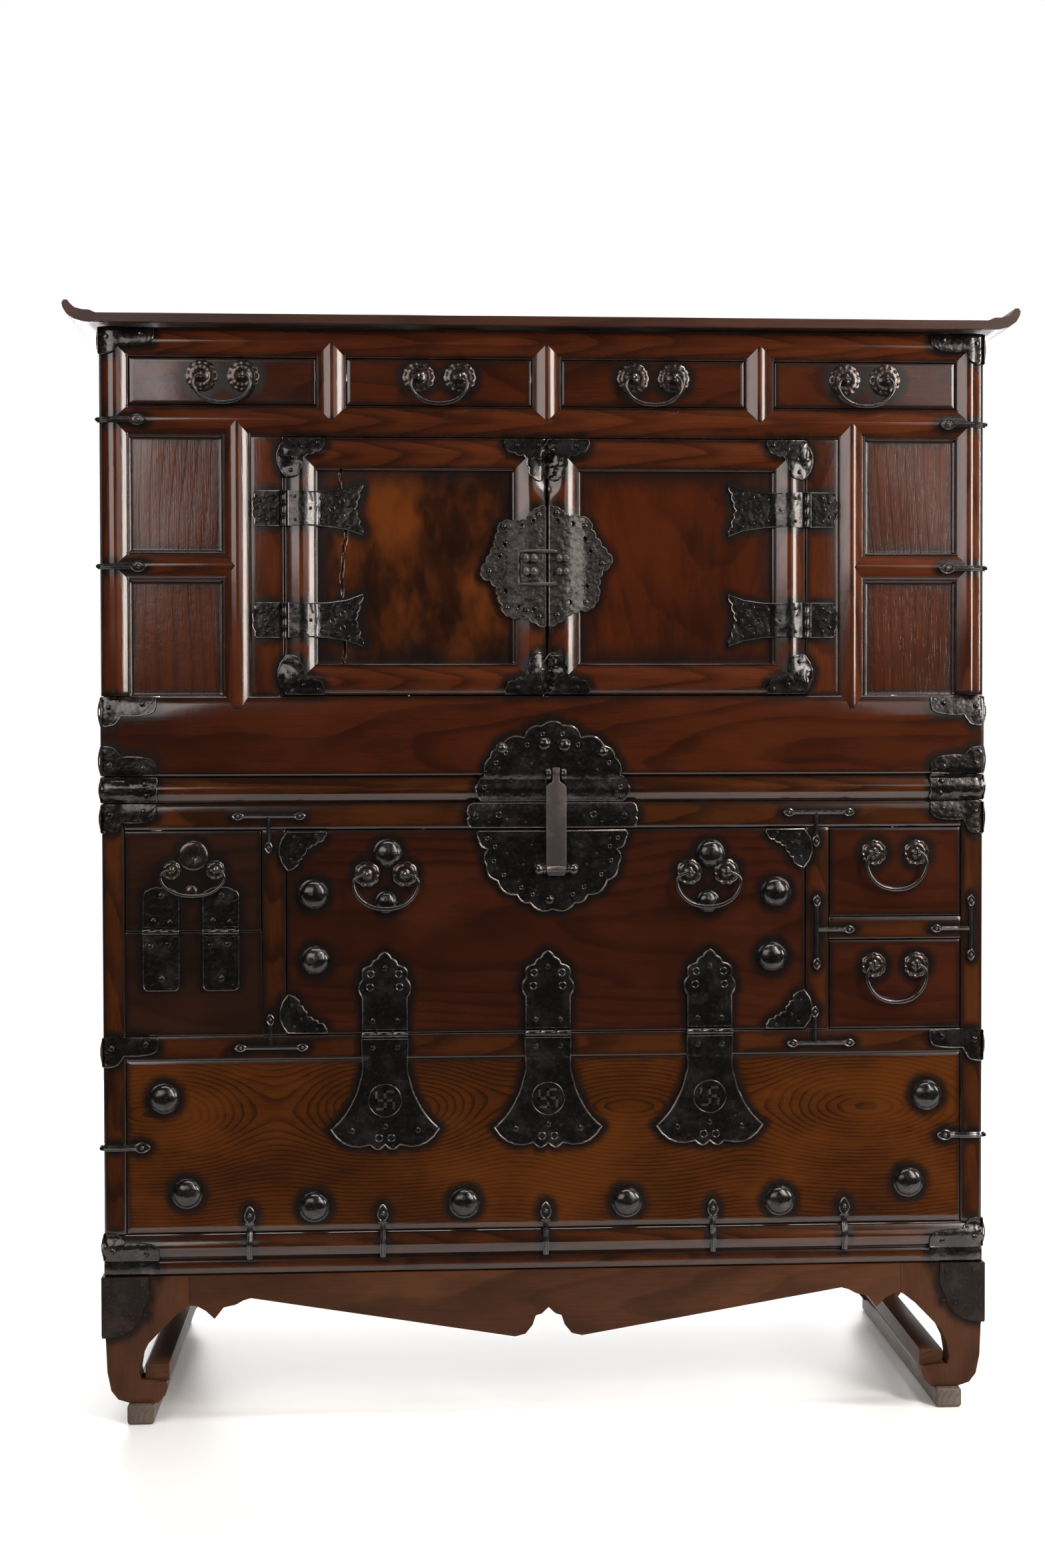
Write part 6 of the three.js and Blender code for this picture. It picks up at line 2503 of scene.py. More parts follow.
@dataclass
class SmallFlap:
    """Small flap in the left bay, with its key plate, handle and hinges."""

    shop: Workshop
    key: Span = (-430.5, 689.6)
    hinge_x: Span = (-469.5, -397.5)
    hinge_half: float = 22.0
    leaf_up: float = 53.0
    leaf_down: float = 72.0

    def board(self) -> BMesh:
        """The flap's board.

        Returns:
            The closed form.
        """
        x = (-X.lower_post + 1.0, -X.partition - 1.0)
        z = (Z.small_flap + 0.5, Z.lower_rail - 1.0)

        def relief(u: float, v: float) -> float:
            """Height of the board at a place."""
            return 0.3 + wobble(u, v, 80.0, 0.4)

        self.shop.front.add(x, z, FACE, relief)
        return slab(steps(*x, 5.0), steps(*z, 5.0), FACE, FACE + 19.8, relief, 1.0)

    def key_plate(self) -> BMesh:
        """Round speckled plate with a key hole.

        Returns:
            The closed form.
        """
        x, z = self.key
        profile = [(4.2, 1.6), (9.0, 2.6), (14.0, 2.4), (17.0, 1.8), (18.0, 0.9), (18.0, -0.6),
                   (4.2, -0.6), (4.2, 1.6)]
        return turned(profile, (x, self.shop.front.at(x, z), z), 28)

    def key_hole(self) -> BMesh:
        """Dark bottom of the key hole with its slot.

        Returns:
            The closed forms in one.
        """
        x, z = self.key
        y = self.shop.front.at(x, z)
        slot = block(Extent((x - 1.6, x + 1.6), (y - 3.0, y + 1), (z - 11.0, z - 2.0)), 0.5)
        return join(turned([(0, 0.4), (4.3, 0.4), (4.3, -0.6), (0, -0.6)], (x, y, z), 18), slot)

    def leaf(self, x: float, up: bool) -> BMesh:
        """One leaf of a small hinge with its knuckles.

        Args:
            x: Middle of the hinge.
            up: Whether it is the leaf on the flap.

        Returns:
            The closed forms in one.
        """
        front = self.shop.front
        z = Z.small_flap
        half = self.hinge_half
        if up:
            top = z + self.leaf_up
            points = [(x - half, z + 5, 0), (x + half, z + 5, 0), (x + half, top - 12, 0),
                      (x + half * 0.7, top - 2, 0.2), (x, top + 1, 0.12), (x - half * 0.7, top - 2, 0.12),
                      (x - half, top - 12, 0.2)]
            spots = [(x - 10, z + 13), (x + 10, z + 11), (x, top - 9)]
            runs = [(x - half / 3 + 0.3, x + half / 3 - 0.3)]
        else:
            low = z - self.leaf_down
            points = [(x - half, z - 5, 0), (x + half, z - 5, 0), (x + half, low + 8, 0),
                      (x + half * 0.75, low, 0.2), (x - half * 0.75, low, 0), (x - half, low + 8, 0.2)]
            spots = [(x - 13, z - 17), (x + 8, z - 15), (x, low + 15)]
            runs = [(x - half, x - half / 3), (x + half / 3, x + half)]
        forms = [plate(front, lobed(points, 0.12), 1.5, 6.0, 0.8)]
        forms += [barrel(run, (PIN, z), 4.3) for run in runs]
        forms += [nail(front, u, v, 4.2, 2.0) for u, v in spots]
        return join(*forms)

    def dress(self) -> None:
        """Hands the small flap over."""
        shop = self.shop
        shop.wood("small_flap_board", self.board(), SMOKED, Grain.LEVEL, (0.6, 0.0, -0.66),
                  "side_flap", Slot.WARM, "small_flap")
        shop.iron("key_plate", self.key_plate(), COPPERY, "side_flap", "small_flap")
        shop.iron("key_hole", self.key_hole(), SMOOTH, "side_flap", "small_flap")
        shop.iron("small_flap_boss", boss(shop.front, -433.0, 646.5, 7.5, 2.2), COPPERY,
                  "side_flap", "small_flap")
        z = Z.lower_rail - 48.0
        SMALL_FLAP_HANDLE.dress(shop, (self.key[0], z), ("small_flap_rosettes", "small_flap_eyes"),
                                "small_flap", "side_flap", ("small_flap_bail", "side_flap_bail"))
        for number, x in enumerate(self.hinge_x, 1):
            shop.iron(f"small_hinge_upper_{number}", self.leaf(x, True), HAMMERED, "side_flap",
                      "small_flap")
            shop.iron(f"small_hinge_lower_{number}", self.leaf(x, False), HAMMERED, "case",
                      "small_bay_panel")


# Lock

@dataclass
class Lock:
    """Upper plate with its cross bar, lower plate with lugs, and the hasp."""

    shop: Workshop
    middle: float = 6.0
    hasp_middle: float = 10.0
    pivot: float = 671.6
    hasp_top: float = 797.3
    upper_shares: tuple[Point, ...] = (
        (0.145, 0.95, 0.2), (0.37, 0.8, 0.22), (0.68, 0.69, 0.22), (0.82, 0.55, 0.18),
        (0.9, 0.33, 0.14), (0.99, 0.21, 0.1), (1.0, 0.1, 0.2), (0.93, 0, 0.1),
    )
    bar_shares: tuple[Point, ...] = ((0.93, 1, 0), (1, 0.72), (0.985, 0.45), (1, 0.2), (0.93, 0.02))
    lower_shares: tuple[Point, ...] = (
        (0.97, 1, 0), (0.98, 0.88), (0.86, 0.76), (0.88, 0.56), (0.73, 0.36), (0.47, 0.18),
        (0.3, 0.08), (0, 0),
    )

    def upper(self) -> BMesh:
        """Plate over the breast board and the waist moulding.

        Returns:
            The closed forms in one.
        """
        front = self.shop.front
        points = both_sides(scaled(self.upper_shares, 93.5, 98.0), self.middle, Z.waist + 1)
        forms = [plate(front, lobed(points, 0.2), 1.8, 4.5, 1.2, 0.7)]
        for x, z, radius in ((-55.6, 819.2, 7.5), (-4.2, 824.3, 9.5), (20.3, 822.6, 9.5),
                             (67.8, 814.7, 8.0)):
            forms.append(boss(front, x, z, radius, radius * 0.75))
        for p in self.upper_shares[:-1]:
            for sign in (-1, 1):
                x = self.middle + sign * p[0] * 93.5 * 0.9
                z = Z.waist + p[1] * 97.0 * 0.9
                forms.append(ring(front, x, z, 2.4, 0.7, 2.2))
        for x, z in ((-60, 795), (-45, 778), (60, 792), (74, 778), (-74, 765), (84, 765), (-30, 762),
                     (45, 762), (-76, 790), (-20, 800), (38, 800)):
            forms.append(nail(front, x, z, 2.3, 2.2))
        return join(*forms)

    def bar(self) -> BMesh:
        """Cross bar over the lower rail.

        Returns:
            The closed forms in one.
        """
        front = self.shop.front
        points = both_sides(scaled(self.bar_shares, 104.0, 32.0), self.middle, Z.lower_rail + 0.5)
        forms = [plate(front, lobed(points, 0.2), 1.8, 4.5, 1.1, 0.6)]
        for x in (-88.4, 93.9):
            forms.append(nail(front, x, 736.5, 5.0, 1.8))
        for x in (-72, -50, -27, 44, 66, 84):
            forms.append(nail(front, x, 728 + (x % 3) * 4, 2.2, 2.2))
        for x in (-60, 56):
            forms.append(ring(front, x, 738, 3.4, 0.8, 2.2))
        return join(*forms)

    def eye(self, x: float, z: float, width: float, reach: float) -> BMesh:
        """Staple-like eye with a rounded end.

        Args:
            x: Its place along X.
            z: Its middle height.
            width: Width of its bar along X.
            reach: How far its straight part stands out.

        Returns:
            The closed form.
        """
        back = FACE - 5.0
        y = FACE - reach
        radius = 7.0
        path = [(x, back, z - radius + 1), (x, y, z - radius + 1)]
        arc = [(x, y - (radius - 1.5) * math.sin(a), z - (radius - 1.5) * math.cos(a))
               for a in angles(6, math.pi)[1:]]
        path = [*path, *arc, (x, y, z + radius - 1), (x, back, z + radius - 1)]
        form = rod(path, 2.4, 8)
        for vert in form.verts:
            vert.co.x = x + (vert.co.x - x) * width / 4.8
        return form

    def lower(self) -> BMesh:
        """Scalloped plate on the flap.

        Returns:
            The closed forms in one.
        """
        front = self.shop.front
        bottom = Z.lower_rail - 1.3 - 98.0
        points = both_sides(scaled(self.lower_shares, 93.0, 97.6), self.middle, bottom)
        forms = [plate(front, lobed(points, 0.2), 1.8, 4.5, 1.2, 0.7)]
        for p in self.lower_shares[1:-1]:
            for sign in (-1, 1):
                x = self.middle + sign * p[0] * 93.0 * 0.88
                z = bottom + 98 - (98 - p[1] * 98.0) * 0.88
                forms.append(ring(front, x, z, 2.2, 0.7, 2.2))
        forms.append(boss(front, 1.9, 633.6, 7.0, 5.0))
        for x, z in ((-70, 708), (-50, 690), (-62, 672), (-36, 655), (-20, 700), (40, 700),
                     (60, 690), (76, 708), (70, 668), (46, 650), (-30, 676), (48, 676), (24, 640),
                     (-16, 645)):
            forms.append(nail(front, x, z, 2.2, 2.2))
        return join(*forms)

    def lugs(self) -> BMesh:
        """Knobbed lugs that carry the hasp's pin.

        Returns:
            The closed forms in one.
        """
        forms = []
        for sign in (-1, 1):
            low = self.hasp_middle + sign * (12.5 + 0.8)
            high = low + sign * 14.0
            span = (min(low, high), max(low, high))
            profile = [(0, 0), (5.4, 0), (6.2, 1.4), (5.0, 2.8), (6.6, 5.4), (7.4, 8.0),
                       (6.8, 10.8), (4.8, 13.0), (0, 14.0)]
            axis = (float(sign), 0.0, 0.0)
            forms.append(turned(profile, (low, FACE - 11.6, self.pivot), 16, axis))
            neck = [(sum(span) / 2, FACE - 1.5, self.pivot), (sum(span) / 2, FACE - 9, self.pivot)]
            forms.append(rod(neck, [5.6, 4.6], 10))
        return join(*forms)

    def hasp(self) -> BMesh:
        """Smooth flat bar with a narrow neck that passes between the upper eyes.

        Returns:
            The closed forms in one.
        """
        neck, half = 4.5, 12.5
        middle, top = self.hasp_middle, self.hasp_top
        right = [(neck, top - 2.0), (neck, top - 19.0), (half - 2.5, top - 22.5),
                 (half, top - 26.0), (half, self.pivot - 3.0), (half - 3.0, self.pivot - 8.0)]
        path = [(middle + u, v) for u, v in right] + [(middle - u, v) for u, v in reversed(right)]
        form = blank()
        verts = [form.verts.new((x, FACE - 9.6, z)) for x, z in path]
        bmesh.ops.contextual_create(form, geom=verts)
        bmesh.ops.recalc_face_normals(form, faces=form.faces[:])
        grown = bmesh.ops.extrude_face_region(form, geom=form.faces[:], use_keep_orig=True)["geom"]
        moved = [item for item in grown if isinstance(item, BMVert)]
        bmesh.ops.translate(form, vec=(0, -4.0, 0), verts=moved)
        bmesh.ops.recalc_face_normals(form, faces=form.faces[:])
        soften(form, form.edges[:], 0.9, 3)
        curl = barrel((middle - 12.3, middle + 12.3), (FACE - 11.6, self.pivot), 5.0)
        knob = turned([(0, 3.4), (2.4, 2.8), (3.6, 1.2), (3.4, -0.6), (0, -1.0)],
                      (middle, FACE - 13.2, top - 8.0), 12)
        return join(form, curl, knob)

    def dress(self) -> None:
        """Hands the lock over."""
        shop = self.shop
        node = "lock_plate_upper"
        shop.iron("lock_upper_plate", self.upper(), HAMMERED, "case", node)
        shop.iron("lock_cross_bar", self.bar(), HAMMERED, "case", node)
        eyes = join(*[self.eye(self.hasp_middle + sign * 9.3, 787.3, 7.0, 10.0)
                      for sign in (-1, 1)])
        shop.iron("lock_eyes", eyes, SMOOTH, "case", node)
        shop.iron("lock_lower_plate", self.lower(), HAMMERED, "drop_front", "lock_plate_lower")
        shop.iron("lock_lugs", self.lugs(), SMOOTH, "drop_front", "lock_plate_lower")
        shop.iron("hasp_iron", self.hasp(), STEEL, "hasp_bar", "hasp")


# Flap hinges

@dataclass
class FlapHinges:
    """Three tall hinges with pointed upper leaves and flared lower ones."""

    shop: Workshop
    centres: tuple[float, ...] = (-199.5, 0.0, 199.5)
    upper_shares: tuple[Point, ...] = (
        (0.97, 0, 0), (0.97, 0.43, 0), (0.95, 0.68, 0.22), (0.58, 0.86, 0.3), (0.3, 0.95, 0.15),
        (0, 1.04, 0.1),
    )
    lower_shares: tuple[Point, ...] = (
        (0.425, 0, 0), (0.42, 0.2, 0), (0.47, 0.38, -0.06), (0.6, 0.56, -0.04),
        (0.78, 0.705, -0.03), (1, 0.811, -0.03), (0.27, 0.955, 0.2), (0, 0.955, 0.32),
    )
    roundel_height: float = 389.5
    roundel_radius: float = 20.0

    def upper(self, x: float) -> BMesh:
        """Upper leaf with its trefoil point, rings and nails.

        Args:
            x: Middle of the hinge.

        Returns:
            The closed forms in one.
        """
        front = self.shop.front
        base = Z.flap + 4.8
        points = both_sides(scaled(self.upper_shares, 28.5, 93.0), x, base)
        forms = [plate(front, lobed(points, 0.2), 1.7, 4.5, 1.1, 0.6)]
        forms.append(barrel((x - 9.5, x + 9.5), (PIN, Z.flap)))
        for u, v in ((-15, 11), (15, 11), (0, 76)):
            forms.append(nail(front, x + u, base + v, 4.0, 2.2))
        for u, v in ((-17, 69), (17, 69), (-18, 53), (18, 53)):
            forms.append(ring(front, x + u, base + v, 4.2, 0.85, 2.2))
        return join(*forms)

    def roundel(self, x: float) -> tuple[BMesh, BMesh]:
        """Pierced roundel: a ring with the traditional hooked cross of temple ironwork.

        Args:
            x: Middle of the hinge.

        Returns:
            The piercings as black bars of painted shadow, and the thin ring round them.
        """
        front = self.shop.front
        y = front.at(x, self.roundel_height) - 2.25
        unit = self.roundel_radius * 0.235
        middle = Vector((x, y, self.roundel_height))
        bars = []
        for quarter in range(4):
            turn = Matrix.Rotation(-math.pi / 2 * quarter, 4, "Y")
            arm = Extent((-0.36 * unit, 0.36 * unit), (-0.18, 0.18), (0.5 * unit, 2.6 * unit))
            hook = Extent((-0.36 * unit, 2.3 * unit), (-0.18, 0.18), (1.95 * unit, 2.6 * unit))
            for piece in (arm, hook):
                form = block(piece, 0.12)
                bmesh.ops.transform(form, matrix=Matrix.Translation(middle) @ turn,
                                    verts=form.verts[:])
                bars.append(form)
        circle = [(x + self.roundel_radius * math.cos(a), y,
                   self.roundel_height + self.roundel_radius * math.sin(a)) for a in angles(36)]
        return join(*bars), rod(circle, 0.7, 6, True)

    def lower(self, x: float) -> BMesh:
        """Flared lower leaf with its knuckles, nails and rings.

        Args:
            x: Middle of the hinge.

        Returns:
            The closed forms in one.
        """
        front = self.shop.front
        points = both_sides(scaled(self.lower_shares, 67.0, -137.2), x, Z.flap - 4.8)
        forms = [plate(front, lobed(points, 0.16), 1.8, 4.5, 1.1, 0.6)]
        for run in ((x - 28.3, x - 10.0), (x + 10.0, x + 28.3)):
            forms.append(barrel(run, (PIN, Z.flap)))
        for u, v in ((-15, -16), (15, -16), (-40, -118), (0, -113), (40, -118)):
            forms.append(nail(front, x + u, Z.flap + v, 4.0, 2.2))
        for u, v in ((-7.5, -127), (7.5, -127)):
            forms.append(ring(front, x + u, Z.flap + v, 4.4, 0.85, 2.2))
        return join(*forms)

    def dress(self) -> None:
        """Hands the hinges over."""
        for number, x in enumerate(self.centres, 1):
            self.shop.iron(f"flap_leaf_{number}_iron", self.upper(x), HAMMERED, "drop_front",
                           f"flap_leaf_{number}")
            self.shop.iron(f"flap_hinge_{number}_iron", self.lower(x), HAMMERED, "case",
                           f"flap_hinge_{number}")
            piercing_shadow, rim = self.roundel(x)
            # The piercings are black bars of painted shadow.
            self.shop.iron(f"roundel_piercing_{number}", piercing_shadow, PIERCING_SHADOW, "case")
            self.shop.iron(f"roundel_rim_{number}", rim, HAMMERED, "case")


# Irons of the case

class Shape(Enum):
    """Shapes of the corner irons."""

    HANGING = "wing above, lobe below"
    STANDING = "wing below, lobe above"
    STRAP = "plain strap"


@dataclass
class CaseIrons:
    """Corner irons, loop nails, clamps, clips and bosses nailed to the case."""

    shop: Workshop
    side_reach: float = 58.0

    def outline(self, shape: Shape, height: float, reach: float, wing: float,
                lobe: float) -> list[Point]:
        """Outline of a corner iron from its own corner inwards.

        Args:
            shape: Its shape.
            height: Its full height at the case's edge.
            reach: Length of its wing.
            wing: Height of its wing.
            lobe: Width of its lobe.

        Returns:
            Points as (distance from the edge, distance from the wing's straight side).
        """
        if shape is Shape.STRAP:
            return [(0, 0), (reach, 0, 0), (reach - 0.5, height * 0.34, 0.12),
                    (reach - 0.5, height * 0.67, 0.12), (reach, height, 0.12), (0, height, 0)]
        return [(0, 0), (reach - 1, 0, 0), (reach, wing * 0.35, 0.05),
                (reach * 0.87, wing * 0.92, 0.2), (lobe * 1.02, wing, 0.04),
                (lobe * 0.85, wing + (height - wing) * 0.5, 0.05),
                (lobe * 0.5, height * 0.985, 0.14), (0, height, 0.06)]

    def corner(self, side: Side, z: Span, shape: Shape, reach: float = 67.0,
               wing: float = 23.0, lobe: float = 25.0) -> BMesh:
        """Corner iron on the front, with a leaf that wraps to the side.

        Args:
            side: Its side of the chest.
            z: Its range along Z.
            shape: Its shape.
            reach: Length of its wing.
            wing: Height of its wing.
            lobe: Width of its lobe.

        Returns:
            The closed forms in one.
        """
        front = self.shop.front
        sign = side.value
        low, high = z
        height = high - low
        base, way = (low, 1) if shape is Shape.STANDING else (high, -1)
        points = [(sign * (X.case + 0.3 - p[0]), base + way * p[1], *p[2:])
                  for p in self.outline(shape, height, reach, wing, lobe)]
        forms = [plate(front, lobed(points, 0.1), 1.5, 4.5, 0.9, 0.5)]
        spots = ((10.5, 13.0), (reach - 16, 9.0))
        if shape is Shape.STRAP:
            spots = ((reach - 14, height * 0.28), (reach - 12, height * 0.72))
        for u, v in spots:
            forms.append(nail(front, sign * (X.case - u), base + way * v, 4.0, 1.8))
        leaf = block(Extent((0, 1.1), (FACE - 4.0, FACE + self.side_reach), (low + 1, high - 1)),
                     0.5)
        for vert in leaf.verts:
            vert.co.x = sign * (X.case + 0.1 + vert.co.x)
        forms.append(leaf)
        for u in (12, 30, 48):
            forms.append(turned([(0, 2.0), (2.0, 1.5), (3.2, 0), (0, -1.0)],
                                (sign * (X.case + 1.2), FACE + u, (low + high) / 2), 8,
                                (float(sign), 0, 0)))
        return join(*forms)

    def band(self, side: Side) -> BMesh:
        """Thin iron band over the end of the flat plinth moulding.

        Args:
            side: Its side of the chest.

        Returns:
            The closed form.
        """
        sign = side.value
        points = [(sign * (X.case + 0.3 - u), z, 0) for u, z in
                  ((0, 179.0), (66, 179.0), (67, 188.0), (66, 197.2), (0, 197.2))]
        return plate(self.shop.front, lobed(points), 0.7, 4.5, 0.0, 0.2)

    def loop_nail(self, side: Side, z: float, inner: float = 483.0) -> BMesh:
        """Grooved bar that goes round the post from the rail to the side.

        Args:
            side: Its side of the chest.
            z: Its height.
            inner: Distance of its inner tip from the middle.

        Returns:
            The closed forms in one.
        """
        front = self.shop.front
        sign = side.value
        forms = [leaf_end(front, (sign * inner, z), (sign, 0), 20.0, 13.0)]
        forms.append(grooved_bar(front, (sign * (inner + 17), z), (sign * (X.case + 2.5), z), 7.5))
        path = [(sign * (X.case + 2.2), FACE - 3.5, z), (sign * (X.case + 3.0), FACE + 3, z),
                (sign * (X.case + 2.2), FACE + 26, z), (sign * (X.case + 1.2), FACE + 42, z)]
        forms.append(rod(path, [2.6, 2.8, 2.8, 1.4], 8))
        return join(*forms)

    def bar(self, start: Point, end: Point, tips: tuple[bool, bool] = (True, True)) -> BMesh:
        """Grooved bar with leaf-shaped ends where asked for.

        Args:
            start: One end as (x, z).
            end: The other end.
            tips: Whether each end has a leaf.

        Returns:
            The closed forms in one.
        """
        front = self.shop.front
        first, last = Vector(start), Vector(end)
        way = (last - first).normalized()
        forms = []
        begin, stop = first, last
        if tips[0]:
            forms.append(leaf_end(front, first, way, 14.0, 9.5))
            begin = first + way * 11.0
        if tips[1]:
            forms.append(leaf_end(front, last, -way, 14.0, 9.5))
            stop = last - way * 11.0
        forms.append(grooved_bar(front, begin, stop, 5.0, 1.0))
        return join(*forms)

    def clamps(self) -> BMesh:
        """T-shaped clamps where the partitions meet the rails.

        Returns:
            The closed forms in one.
        """
        whole = [((-383.6, 737.5), (-294.2, 737.5)), ((-381.8, 455.6), (-292.3, 455.6)),
                 ((290.2, 739.0), (379.0, 739.0)), ((295.2, 453.8), (380.1, 453.8)),
                 ((332.5, 544.6), (332.5, 637.0)), ((524.9, 554.4), (524.9, 636.4))]
        stems = [((-339.5, 737.5), (-339.5, 692.1)), ((-338.2, 455.6), (-338.2, 497.1)),
                 ((331.6, 739.0), (331.6, 696.3)), ((330.1, 453.8), (330.1, 500.0)),
                 ((334.5, 594.0), (380.0, 594.0)), ((522.9, 594.4), (474.3, 594.4))]
        bars = [self.bar(start, end) for start, end in whole]
        bars += [self.bar(start, end, (False, True)) for start, end in stems]
        return join(*bars)

    def clip(self, x: float) -> BMesh:
        """Upright bar over the lower panel's edge and the moulding, with a pointed leaf end.

        Args:
            x: Its place along X.

        Returns:
            The closed forms in one.
        """
        front = self.shop.front
        forms = [leaf_end(front, (x, 262.5), (0, -1), 22.0, 13.5),
                 grooved_bar(front, (x, 242.0), (x, 197.8), 7.0)]
        collar = [(x + u, front.at(x, 240.5, 4) - 2.0, 240.5) for u in (-5.5, 0, 5.5)]
        forms.append(rod(collar, 1.7, 8))
        return join(*forms)

    def dress(self) -> None:
        """Hands the case's irons over."""
        shop = self.shop
        hanging, standing, strap = Shape.HANGING, Shape.STANDING, Shape.STRAP
        corners = {
            Side.LEFT: [((1294.5, 1327.6), hanging), ((846.5, 882.0), hanging),
                        ((787.0, 822.5), standing), ((753.8, 785.2), strap),
                        ((717.2, 752.5), hanging), ((433.7, 470.0), hanging),
                        ((197.7, 231.5), standing)],
            Side.RIGHT: [((1289.5, 1327.6), hanging), ((845.5, 882.0), hanging),
                         ((786.2, 820.0), standing), ((753.8, 785.2), strap),
                         ((712.0, 752.0), hanging), ((430.0, 469.0), hanging),
                         ((197.7, 234.5), standing)],
        }
        for side, irons in corners.items():
            forms = [self.corner(side, span, shape) for span, shape in irons]
            shop.iron(f"corner_irons_{side.word}", join(*forms), HAMMERED, "case")
            shop.iron(f"plinth_band_{side.word}", self.band(side), HAMMERED, "case")
            heights = {Side.LEFT: (1215.6, 1039.3, 335.5), Side.RIGHT: (1215.5, 1039.0, 337.5)}
            loops = [self.loop_nail(side, z) for z in heights[side]]
            shop.iron(f"loop_nails_{side.word}", join(*loops), SMOOTH, "case")
        shop.iron("clamps", self.clamps(), SMOOTH, "case")
        clips = join(*[self.clip(x) for x in (-364.5, -202.8, -3.1, 203.3, 367.3)])
        shop.iron("panel_clips", clips, SMOOTH, "case")
        spots = ((-466.8, 394.8), (-440.1, 278.7), (-286.1, 259.9), (-102.9, 261.9), (97.0, 260.0),
                 (286.6, 259.2), (447.6, 279.8), (470.4, 387.6))
        bosses = join(*[boss(shop.front, x, z, 19.0) for x, z in spots])
        shop.iron("panel_bosses", bosses, HAMMERED, "case")
        for side in Side:
            shop.iron(f"door_fixed_leaves_{side.word}", self.fixed_leaves(side), HAMMERED, "case",
                      f"front_panel_{side.word}")

    def fixed_leaves(self, side: Side) -> BMesh:
        """Fixed leaves of the door hinges with their knuckles.

        Args:
            side: Its side of the chest.

        Returns:
            The closed forms in one.
        """
        front = self.shop.front
        sign = side.value
        forms = []
        for z in STRAP_LEVELS.values():
            shape = [(5, -21.5, 0), (33, -21.5, 0), (36, -14, 0.25), (38, 0, 0.15), (36, 14, 0.15),
                     (33, 21.5, 0.25), (5, 21.5, 0)]
            points = [(sign * (X.door + p[0]), z + p[1], p[2]) for p in shape]
            forms.append(plate(front, lobed(points), 1.6, 5.5, 0.9))
            knuckle = STRAP_HEIGHT / 3 - 0.3
            for low in (z - 21.5, z + 21.5 - knuckle):
                forms.append(barrel((low, low + knuckle), (sign * X.door, PIN), upright=True))
            for u, v in ((20, -14), (20, 14), (29, -9), (29, 9), (23, 0)):
                forms.append(nail(front, sign * (X.door + u), z + v, 2.7, 2.2))
        return join(*forms)


# Stand

